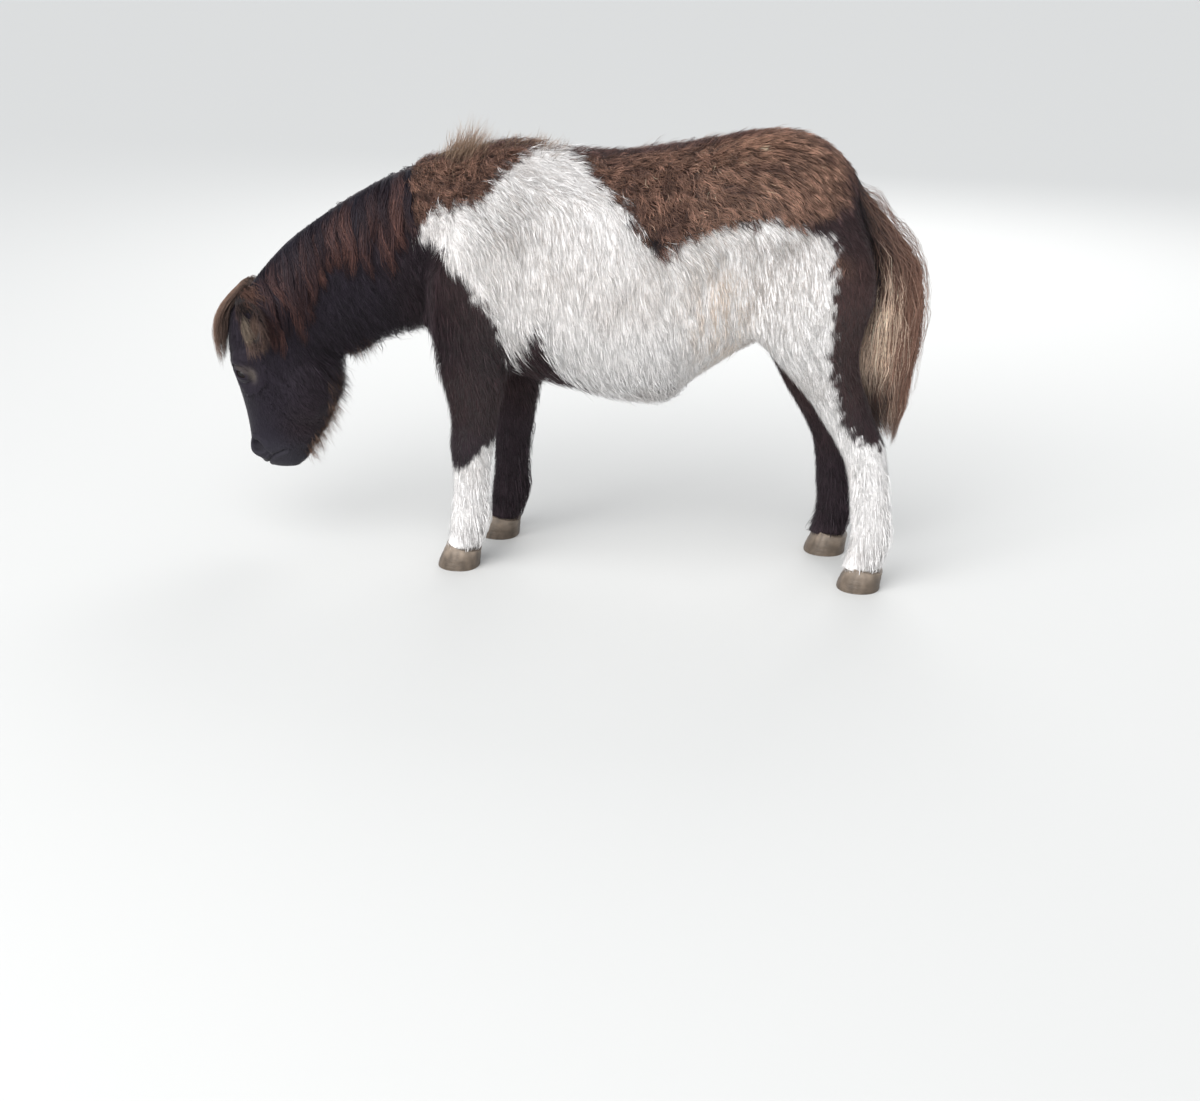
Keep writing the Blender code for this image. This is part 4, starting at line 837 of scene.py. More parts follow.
class Unwrap:
    """The map of the skin: trunk, neck, head and each leg in a rectangle of its own."""

    TRUNK, NECK, HEAD, FORE_LEFT, FORE_RIGHT, HIND_LEFT, HIND_RIGHT = range(7)
    LEG_TOP = {"fore": 0.375, "hind": 0.43}
    CHARTS: tuple[Chart, ...] = (
        Chart(0, (0.57, 0.0), (-0.45, 0.50), (0.02, 0.52), (0.96, 0.44)),
        Chart(0, (0.56, 0.0), (-0.80, -0.30), (0.02, 0.27), (0.46, 0.20)),
        Chart(2, (-0.70, 0.0), (0.12, 0.60), (0.52, 0.27), (0.46, 0.20)),
        Chart(2, (-0.312, -0.090), (0.02, 0.50), (0.02, 0.14), (0.46, 0.10)),
        Chart(2, (-0.266, 0.090), (0.02, 0.50), (0.52, 0.14), (0.46, 0.10)),
        Chart(2, (0.390, -0.090), (0.02, 0.50), (0.02, 0.02), (0.46, 0.10)),
        Chart(2, (0.324, 0.090), (0.02, 0.50), (0.52, 0.02), (0.46, 0.10)),
    )

    @classmethod
    def parts(cls, places: np.ndarray) -> np.ndarray:
        """Which part of the body each place is on.

        Args:
            places: Points in the drawn frame, one a row.

        Returns:
            The number of the part for each point.
        """
        x, y, z = places.T
        found = np.full(len(places), cls.TRUNK)
        found[outside(SIZES.neck_outline, x, z) < 0] = cls.NECK
        found[outside(SIZES.head_outline, x, z) < 0] = cls.HEAD
        fore = (z < cls.LEG_TOP["fore"]) & (x > -0.46) & (x < -0.19)
        hind = (z < cls.LEG_TOP["hind"] + (x - 0.30) * 0.31) & (x > 0.17)
        found[fore & (y < 0)] = cls.FORE_LEFT
        found[fore & (y >= 0)] = cls.FORE_RIGHT
        found[hind & (y < 0)] = cls.HIND_LEFT
        found[hind & (y >= 0)] = cls.HIND_RIGHT
        return found

    @classmethod
    def flat(cls, places: np.ndarray, parts: np.ndarray) -> np.ndarray:
        """The place on the map of each point, by the chart of its part.

        Args:
            places: Points in the drawn frame, one a row.
            parts: The number of each point's part.

        Returns:
            The places on the map.
        """
        found = np.zeros((len(places), 2))
        for number, chart in enumerate(cls.CHARTS):
            here = parts == number
            found[here] = chart.unwrap(places[here])
        return found

    @classmethod
    def spots(cls, places: np.ndarray) -> np.ndarray:
        """The places on the map of points, whatever parts they are on."""
        return cls.flat(places, cls.parts(places))


# ---------------------------------------------------------------- meshes
def meshed(bm: bmesh.types.BMesh, name: str) -> bpy.types.Mesh:
    """Makes a mesh of a bmesh and frees the bmesh.

    Args:
        bm: The bmesh.
        name: Name of the mesh.

    Returns:
        The mesh.
    """
    mesh = bpy.data.meshes.new(name)
    bm.to_mesh(mesh)
    bm.free()
    return mesh


def settled(bm: bmesh.types.BMesh, name: str, turn: Matrix = Matrix.Identity(4)) -> bpy.types.Mesh:
    """Makes a smooth mesh of a bmesh, in the pony's place.

    Args:
        bm: The bmesh.
        name: Name of the mesh.
        turn: Where the bmesh goes in the drawn frame.

    Returns:
        The mesh.
    """
    bmesh.ops.recalc_face_normals(bm, faces=bm.faces[:])
    bmesh.ops.transform(bm, matrix=Matrix.Translation(SHIFT) @ turn, verts=bm.verts[:])
    mesh = meshed(bm, name)
    mesh.shade_smooth()
    return mesh


def new_piece(mesh: bpy.types.Mesh, name: str, finish: Finish) -> bpy.types.Object:
    """Links a new object that rides on the pony's one body and has its finish.

    Args:
        mesh: The mesh, with its place in its vertices.
        name: Name of the piece.
        finish: Its finish.

    Returns:
        The object.
    """
    made = bpy.data.objects.new(name, mesh)
    bpy.context.scene.collection.objects.link(made)
    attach(made, BODY)
    Finishes.dress(made, finish)
    return made


def coordinates(mesh: bpy.types.Mesh) -> np.ndarray:
    """Reads the points of a mesh.

    Args:
        mesh: The mesh.

    Returns:
        The points, one a row.
    """
    found = np.empty(len(mesh.vertices) * 3)
    mesh.vertices.foreach_get("co", found)
    return found.reshape(-1, 3)


def paint(mesh: bpy.types.Mesh, colours: np.ndarray) -> None:
    """Stores one colour a point in the attribute that the finishes read.

    Args:
        mesh: The mesh.
        colours: Red, green and blue, one row a point.
    """
    layer = mesh.color_attributes.new(name=COAT_COLOUR, type="FLOAT_COLOR", domain="POINT")
    full = np.ones((len(colours), 4))
    full[:, :3] = colours
    layer.data.foreach_set("color", full.astype(np.float32).ravel())


def loft(bm: bmesh.types.BMesh, rings: Iterable[Callable[[float, float], Vector]], segments: int) -> None:
    """Bridges circles that are each bent to their ring, and fills both ends.

    Args:
        bm: The bmesh to add to.
        rings: For each ring, the place of a point from its cosine and sine.
        segments: Points of each circle.
    """
    before = None
    for place in rings:
        circle = bmesh.ops.create_circle(bm, segments=segments, radius=1.0)["verts"]
        edges = list({edge for vert in circle for edge in vert.link_edges})
        for vert in circle:
            vert.co = place(vert.co.x, vert.co.y)
        if before is None:
            bmesh.ops.edgeloop_fill(bm, edges=edges)
        else:
            bmesh.ops.bridge_loops(bm, edges=before + edges)
        before = edges
    bmesh.ops.edgeloop_fill(bm, edges=before)


def oval_ring(
    middle: Vector, along: Vector, across: Vector, front: float, back: float, side: float,
    square: float = 2.0,
) -> Callable[[float, float], Vector]:
    """The places of a ring whose front and back reach differ.

    Args:
        middle: Middle of the ring.
        along: Direction of its front.
        across: Direction of its side.
        front: Reach to the front.
        back: Reach to the back.
        side: Reach to each side.
        square: 2 for an oval, more for a squarer ring.

    Returns:
        A function from cosine and sine to a place.
    """
    def place(c: float, s: float) -> Vector:
        """The place for a cosine and a sine."""
        reach = (front if c > 0 else back) * math.copysign(abs(c) ** (2 / square), c)
        return middle + along * reach + across * (side * math.copysign(abs(s) ** (2 / square), s))
    return place


# ---------------------------------------------------------------- skin
@dataclass
class Skin:
    """The pony's one skin, from muzzle to coronets, inside the solids by the depth of its coat.

    Attributes:
        voxel: Cell of the remesh that fuses the lumps of flesh.
        smoothing: Rounds of smoothing after it.
        segments: Points of each ring.
        steps: Rings put between two rows of the tables.
        lid_height: How far the skin lies over the eyeball.
        lid_blend: How softly the dome of the eye runs into the head.
        lid_inwards: How deep the lids turn in.
        mouth_reach: Half width of the line of the mouth.
        mouth_depth: Its depth.
        nostril_radii: Reach of a nostril along its three axes.
        nostril_depth: Its depth.
        mouth_middle: Middle of the lips, for the finer faces there.
    """

    voxel: float = 0.0065
    smoothing: int = 11
    segments: int = 40
    steps: int = 4
    lid_height: float = 0.0026
    lid_blend: float = 0.008
    lid_inwards: float = 0.005
    mouth_reach: float = 0.0036
    mouth_depth: float = 0.0042
    nostril_radii: tuple[float, float, float] = (0.0065, 0.0100, 0.0120)
    nostril_depth: float = 0.0150
    mouth_middle: Row = (-0.722, 0.0, 0.176)

    def flesh(self) -> bpy.types.Mesh:
        """Fuses every lump of flesh into one smooth surface.

        Returns:
            The fused mesh in the drawn frame.
        """
        bm = bmesh.new()
        loft(bm, [
            oval_ring(Vector((x, 0, wide)), UP, RIGHT, top - wide, wide - bottom, half, 2.2)
            for x, top, bottom, half, wide in between(SIZES.trunk, self.steps)
        ], self.segments)
        loft(bm, [
            oval_ring(
                Vector((x, 0, z)), Matrix.Rotation(-math.radians(tilt), 3, "Y") @ UP, RIGHT, deep, deep, half,
            )
            for x, z, deep, half, tilt in between(SIZES.neck, self.steps)
        ], self.segments)
        loft(bm, [
            oval_ring(Vector((wide, 0, z)), FORWARD, RIGHT, wide - face, jaw - wide, half, 2.3)
            for z, face, jaw, half, wide in between(SIZES.head, self.steps)
        ], self.segments)
        for side in Side:
            for rows, hoof_x in ((SIZES.fore_leg, SIZES.fore_hoof_x), (SIZES.hind_leg, SIZES.hind_hoof_x)):
                loft(bm, [
                    oval_ring(
                        Vector((hoof_x[side] + x, side.value * y, z)), FORWARD, RIGHT, long, long, wide, 2.1,
                    )
                    for z, x, y, long, wide in between(rows, self.steps)
                ], self.segments)
        lumps = list(SIZES.midline_masses)
        for (x, y, z), radii in SIZES.masses:
            lumps += [((x, y, z), radii), ((x, -y, z), radii)]
        for middle, radii in lumps:
            shape = Matrix.Translation(middle) @ Matrix.Diagonal((*radii, 1.0))
            bmesh.ops.create_uvsphere(bm, u_segments=24, v_segments=14, radius=1.0, matrix=shape)
        bmesh.ops.recalc_face_normals(bm, faces=bm.faces[:])
        lump = bpy.data.objects.new("flesh", meshed(bm, "flesh"))
        bpy.context.scene.collection.objects.link(lump)
        fuse = lump.modifiers.new("fuse", "REMESH")
        fuse.mode = "VOXEL"
        fuse.voxel_size = self.voxel
        calm = lump.modifiers.new("calm", "SMOOTH")
        calm.factor = 0.5
        calm.iterations = self.smoothing
        bpy.context.view_layer.update()
        made = bpy.data.meshes.new_from_object(lump.evaluated_get(bpy.context.evaluated_depsgraph_get()))
        bpy.data.objects.remove(lump)
        return made

    def fine_places(self) -> list[tuple[Vector, float, int]]:
        """Finds where folds need finer faces: round each eye and nostril, and along the lips.

        Returns:
            The middle and radius of each place, and how often its edges are cut.
        """
        found = [
            (Vector((x, side.value * y, z)), radius, cuts)
            for side in Side
            for (x, y, z), radius, cuts in ((SIZES.eye_middle, 0.031, 3), (SIZES.nostril_middle, 0.026, 2))
        ]
        return [*found, (Vector(self.mouth_middle), 0.046, 2)]

    def build(self) -> bpy.types.Object:
        """Makes the skin with its folds, unwrap and colours.

        Returns:
            The skin.
        """
        mesh = self.flesh()
        bm = bmesh.new()
        bm.from_mesh(mesh)
        self.above_hooves(bm)
        for middle, radius, cuts in self.fine_places():
            near = [edge for edge in bm.edges if (edge.verts[0].co - middle).length < radius]
            bmesh.ops.subdivide_edges(bm, edges=near, cuts=cuts, use_grid_fill=True, smooth=0.6)
        bm.normal_update()
        self.inset(bm)
        for side in Side:
            EyeLids(side, self).open(bm)
            self.nostril(bm, side)
        self.mouth(bm)
        bmesh.ops.triangulate(bm, faces=[face for face in bm.faces if len(face.verts) > 4])
        bm.normal_update()
        bm.to_mesh(mesh)
        bm.free()
        self.finish(mesh)
        made = new_piece(mesh, "skin", Finishes.SKIN)
        legs = (f"leg_{pair}_{side.word}" for pair in ("fore", "hind") for side in Side)
        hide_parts("head", "neck", "torso", *legs)
        return made

    @staticmethod
    def above_hooves(bm: bmesh.types.BMesh) -> None:
        """Cuts the feet off just inside the hooves, below the coronets.

        Args:
            bm: The skin.
        """
        level = SIZES.coronet_z - 0.010
        geometry = bm.verts[:] + bm.edges[:] + bm.faces[:]
        cut = bmesh.ops.bisect_plane(
            bm, geom=geometry, dist=1e-5, plane_co=(0, 0, level), plane_no=(0, 0, 1), clear_inner=True
        )
        rims = [item for item in cut["geom_cut"] if isinstance(item, bmesh.types.BMEdge)]
        bmesh.ops.edgeloop_fill(bm, edges=rims)

    @staticmethod
    def inset(bm: bmesh.types.BMesh) -> None:
        """Moves the surface in by the depth of the coat.

        Args:
            bm: The skin.
        """
        places = np.array([vert.co for vert in bm.verts])
        depth = COMB.at(places)["depth"]
        for vert, deep in zip(bm.verts, depth):
            vert.co -= vert.normal * float(deep)

    def nostril(self, bm: bmesh.types.BMesh, side: Side) -> None:
        """Sinks one nostril in, with a raised rim.

        Args:
            bm: The skin.
            side: Which nostril.
        """
        x, y, z = SIZES.nostril_middle
        middle = Vector((x, side.value * y, z))
        turn = Matrix.Rotation(math.radians(-20 * side.value), 3, "Z")
        turn = turn @ Matrix.Rotation(math.radians(24), 3, "Y")
        inwards = (turn @ Vector((0.75, -0.45 * side.value, 0.25))).normalized()
        back = turn.transposed()
        moves = []
        for vert in bm.verts:
            away = vert.co - middle
            if away.length > 0.03 or vert.normal.dot(inwards) > 0.2:
                continue
            local = back @ away
            off = math.hypot(local.y / self.nostril_radii[1], local.z / self.nostril_radii[2])
            if off < 1:
                moves.append((vert, inwards * self.nostril_depth * (1 - off ** 3)))
            elif off < 1.9:
                rim = math.sin((off - 1) / 0.9 * math.pi)
                moves.append((vert, vert.normal * 0.0018 * rim))
        for vert, move in moves:
            vert.co += move

    def mouth(self, bm: bmesh.types.BMesh) -> None:
        """Presses the line of the mouth in, with full lips on both sides of it.

        Args:
            bm: The skin.
        """
        line = SIZES.mouth_line + SIZES.mouth_line[::-1]
        for vert in bm.verts:
            if vert.co.z > 0.22 or vert.co.x > -0.68 or vert.co.z < 0.13:
                continue
            off = abs(float(outside(line, np.array([vert.co.x]), np.array([vert.co.z]))[0]))
            if off < self.mouth_reach:
                pressed = math.cos(off / self.mouth_reach * math.pi / 2) ** 2
                vert.co -= vert.normal * self.mouth_depth * pressed
            elif off < 3 * self.mouth_reach:
                swell = math.sin((off / self.mouth_reach - 1) / 2 * math.pi)
                vert.co += vert.normal * 0.0012 * swell

    @staticmethod
    def finish(mesh: bpy.types.Mesh) -> None:
        """Unwraps, colours and shades the skin, and moves it to its place.

        Args:
            mesh: The skin, in the drawn frame.
        """
        places = coordinates(mesh)
        loops = np.empty(len(mesh.loops), dtype=np.int32)
        mesh.loops.foreach_get("vertex_index", loops)
        starts = np.empty(len(mesh.polygons), dtype=np.int32)
        mesh.polygons.foreach_get("loop_start", starts)
        counts = np.diff(np.append(starts, len(loops)))
        middles = np.add.reduceat(places[loops], starts, axis=0) / counts[:, None]
        parts = Unwrap.parts(middles)
        of_loop = np.repeat(np.arange(len(starts)), counts)
        flat = Unwrap.flat(places[loops], parts[of_loop])
        centre = Unwrap.flat(middles, parts)
        height = np.array([chart.size[1] for chart in Unwrap.CHARTS])[parts[of_loop]]
        apart = flat[:, 1] - centre[of_loop, 1]
        flat[:, 1] -= np.round(apart / height) * height
        layer = mesh.uv_layers.new(name=BAKE_MAP)
        layer.data.foreach_set("uv", flat.astype(np.float32).ravel())
        paint(mesh, SkinPaint.colours(places))
        mesh.shade_smooth()
        mesh.transform(Matrix.Translation(SHIFT))


class SkinPaint:
    """The colours of the bare skin.

    Attributes:
        MUZZLE: Colour of the muzzle.
        RIM: Colour in the nostrils and on the rims of the lids.
        EYE_PATCH_AND_HIGHLIGHT: Colour of the lightened skin round the eyes: a paler patch behind them and
            painted highlight on the fold above.
        MUZZLE_TOP: Level up to which the muzzle's colour reaches.
    """

    MUZZLE: Colour = (0.021, 0.019, 0.026)
    RIM: Colour = (0.006, 0.005, 0.005)
    # Lightens the skin round the eyes: a paler patch behind, and painted highlight on the fold above.
    EYE_PATCH_AND_HIGHLIGHT: Colour = (0.095, 0.078, 0.070)
    MUZZLE_TOP: float = 0.215

    @classmethod
    def colours(cls, places: np.ndarray) -> np.ndarray:
        """Colours of the whole skin.

        Args:
            places: Points in the drawn frame, one a row.

        Returns:
            One colour for each point.
        """
        found = MARKINGS.skin_colours(places, COMB.at(places)["warmth"])
        x, _, z = places.T
        muzzle = (1 - eased(cls.MUZZLE_TOP - 0.03, cls.MUZZLE_TOP + 0.03, z)) * (x < -0.62)
        nostrils = np.exp(-(apart_from(SIZES.nostril_middle, places) / 0.008) ** 2)
        rims = 1 - eased(0.0172, 0.0192, apart_from(SIZES.eye_middle, places))
        # Painted highlight on the fold above each eye, with the paler patch behind it, is blended in here.
        for colour, share in (
            (cls.MUZZLE, muzzle), (cls.RIM, nostrils), (cls.EYE_PATCH_AND_HIGHLIGHT, Coat.eye_light(places)),
            (cls.RIM, rims),
        ):
            found = blended(found, colour, share[:, None])
        return found


def eye_frame(side: Side) -> Matrix:
    """The eye's place, with Z looking out of the head and X along the lids.

    Args:
        side: Which eye.

    Returns:
        The place in the drawn frame.
    """
    x, y, z = SIZES.eye_middle
    lx, ly, lz = SIZES.eye_looks
    out = Vector((lx, side.value * ly, lz)).normalized()
    slant = math.radians(SIZES.eye_slant)
    along = Vector((-math.cos(slant), 0, -math.sin(slant)))
    along = (along - out * along.dot(out)).normalized()
    turn = Matrix((along, out.cross(along), out)).transposed().to_4x4()
    return Matrix.Translation((x, side.value * y, z)) @ turn


@dataclass
class EyeLids:
    """The lids round one eye, opened in the skin.

    Attributes:
        side: Which eye.
        skin: The skin that the lids are part of.
    """

    side: Side
    skin: Skin

    def open(self, bm: bmesh.types.BMesh) -> None:
        """Lays the skin over the eyeball, cuts the opening and turns its rim in.

        Args:
            bm: The skin.
        """
        frame_here = eye_frame(self.side)
        back = frame_here.inverted()
        radius = SIZES.eye_radius
        long, tall = SIZES.eye_opening
        inside = []
        for vert in bm.verts:
            local = back @ vert.co
            if local.length > 0.045 or local.z < -0.004:
                continue
            off = math.hypot(local.x / long, local.y / tall)
            flat = math.hypot(local.x, local.y)
            dome = math.sqrt(max((radius + self.skin.lid_height) ** 2 - flat ** 2, 0.0))
            local.z = self.soft_highest(local.z, dome, self.skin.lid_blend)
            upper = local.y * self.brow_sign() > 0
            fold = math.exp(-((off - 1.45) / 0.26) ** 2) * (0.0026 if upper else 0.0010)
            crease = math.exp(-((off - 2.15) / 0.26) ** 2) * (0.0020 if upper else 0.0012)
            brow = math.exp(-((off - 2.95) / 0.45) ** 2) * (0.0022 if upper else 0.0)
            local.z += fold - crease + brow
            vert.co = frame_here @ local
            if self.reach(local.x, local.y) < 1:
                inside.append(vert)
        picked = set(inside)
        gone = {face for vert in inside for face in vert.link_faces if picked.issuperset(face.verts)}
        bmesh.ops.delete(bm, geom=list(gone), context="FACES")
        rim = [edge for edge in bm.edges if edge.is_boundary and (back @ edge.verts[0].co).length < 0.04]
        for vert in {vert for edge in rim for vert in edge.verts}:
            local = back @ vert.co
            share = self.to_rim(local.x, local.y)
            local.x, local.y = local.x * share, local.y * share
            flat = math.hypot(local.x, local.y)
            local.z = math.sqrt(max((radius + 0.0010) ** 2 - flat ** 2, 0.0)) + 0.0006
            vert.co = frame_here @ local
        turned = bmesh.ops.extrude_edge_only(bm, edges=rim)["geom"]
        for vert in (item for item in turned if isinstance(item, bmesh.types.BMVert)):
            local = back @ vert.co
            local.x *= 1.12
            local.y *= 1.12
            local.z -= self.skin.lid_inwards
            vert.co = frame_here @ local

    @staticmethod
    def reach(x: float | np.ndarray, y: float | np.ndarray) -> float | np.ndarray:
        """How far out a place is, with 1 on the almond-shaped rim of the lids."""
        long, tall = SIZES.eye_opening
        return abs(y) / tall + (x / long) ** 2

    @staticmethod
    def to_rim(x: float, y: float) -> float:
        """How many times further out the rim lies than a place.

        Args:
            x: The place along the lids.
            y: The place across them.

        Returns:
            The number of times.
        """
        long, tall = SIZES.eye_opening
        square, line = (x / long) ** 2, abs(y) / tall
        if square < 1e-6:
            return 1 / max(line, 1e-6)
        return (-line + math.sqrt(line ** 2 + 4 * square)) / (2 * square)

    @staticmethod
    def soft_highest(one: float, two: float, blend: float) -> float:
        """The higher of two heights, rounded where they meet."""
        share = min(max(0.5 + 0.5 * (one - two) / blend, 0.0), 1.0)
        return two + (one - two) * share + blend * share * (1 - share)

    def brow_sign(self) -> float:
        """The sign of the lid frame's y on the upper lid."""
        return 1.0 if (eye_frame(self.side).to_3x3() @ RIGHT).z > 0 else -1.0


@dataclass
class Eye:
    """One eyeball with a raised cornea, a dark iris and a long pupil.

    Attributes:
        side: Which eye.
        segments: Its faces round and along.
        iris: Radius of the iris.
        pupil: Half length and half height of the pupil.
        bulge: How far the cornea stands out.
        white: Colour of the eyeball outside the iris.
        brown: Colour of the iris.
        black: Colour of the pupil.
    """

    side: Side
    segments: tuple[int, int] = (48, 32)
    iris: float = 0.0092
    pupil: tuple[float, float] = (0.0056, 0.0030)
    bulge: float = 0.0010
    white: Colour = (0.020, 0.012, 0.010)
    brown: Colour = (0.008, 0.004, 0.003)
    black: Colour = (0.002, 0.002, 0.003)

    def build(self) -> bpy.types.Object:
        """Makes the eyeball.

        Returns:
            The piece.
        """
        bm = bmesh.new()
        around, along = self.segments
        bmesh.ops.create_uvsphere(bm, u_segments=around, v_segments=along, radius=SIZES.eye_radius)
        colours = []
        for vert in bm.verts:
            flat = math.hypot(vert.co.x, vert.co.y)
            in_iris = vert.co.z > 0 and flat < self.iris
            in_pupil = in_iris and math.hypot(vert.co.x / self.pupil[0], vert.co.y / self.pupil[1]) < 1
            colours.append(self.black if in_pupil else self.brown if in_iris else self.white)
            if in_iris:
                vert.co.z += self.bulge * math.cos(flat / self.iris * math.pi / 2)
        mesh = settled(bm, "eyeball", eye_frame(self.side))
        paint(mesh, np.array(colours))
        made = new_piece(mesh, f"eyeball_{self.side.word}", Finishes.EYE)
        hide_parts(f"eye_{self.side.word}")
        return made


@dataclass
class Hoof:
    """One hoof, with growth rings round the wall and a flat sole.

    Attributes:
        pair: fore or hind.
        side: Which side.
        segments: Points round the wall.
        rings: Rings from the ground up.
        heel_share: Reach to the heel, as a share of the reach to the toe.
        ridge: Height of the growth rings.
        toe: Colour near the ground.
        band: Colour under the coronet.
    """

    pair: str
    side: Side
    segments: int = 56
    rings: int = 22
    heel_share: float = 0.86
    ridge: float = 0.0004
    toe: Colour = (0.105, 0.080, 0.060)
    band: Colour = (0.200, 0.160, 0.125)

    def build(self) -> bpy.types.Object:
        """Makes the hoof.

        Returns:
            The piece.
        """
        fore = self.pair == "fore"
        x0 = (SIZES.fore_hoof_x if fore else SIZES.hind_hoof_x)[self.side]
        y0 = self.side.value * (SIZES.fore_hoof_y if fore else SIZES.hind_hoof_y)
        rows = between(SIZES.hoof, 8)
        bm = bmesh.new()
        rings = []
        for k in range(self.rings + 1):
            stops = np.linspace(0, 1, len(rows))
            z, long, wide, x = (float(np.interp(k / self.rings, stops, column)) for column in zip(*rows))
            more = self.ridge * math.sin(k * 2.1) if 0 < k < self.rings else 0.0
            heel = long * self.heel_share + more
            rings.append(oval_ring(
                Vector((x0 + x, y0, z)), FORWARD, RIGHT, long + more, heel, wide + more, 2.2,
            ))
        loft(bm, rings, self.segments)
        slope = Vector((-SIZES.coronet_tilt, 0, -1)).normalized()
        bmesh.ops.bisect_plane(
            bm, geom=bm.verts[:] + bm.edges[:] + bm.faces[:], dist=1e-6,
            plane_co=(x0, y0, SIZES.coronet_z), plane_no=-slope, clear_outer=True,
        )
        bmesh.ops.holes_fill(bm, edges=[edge for edge in bm.edges if edge.is_boundary], sides=0)
        mesh = settled(bm, "hoof")
        places = coordinates(mesh)
        streak = 1 + 0.25 * smooth_noise(places * (1, 1, 0.2), 0.012, 31)[:, None]
        paint(mesh, blended(self.toe, self.band, eased(0.015, 0.045, places[:, 2])[:, None]) * streak)
        mesh.set_sharp_from_angle(angle=math.radians(50))
        made = new_piece(mesh, f"horn_{self.pair}_{self.side.word}", Finishes.HORN)
        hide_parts(f"hoof_{self.pair}_{self.side.word}")
        return made


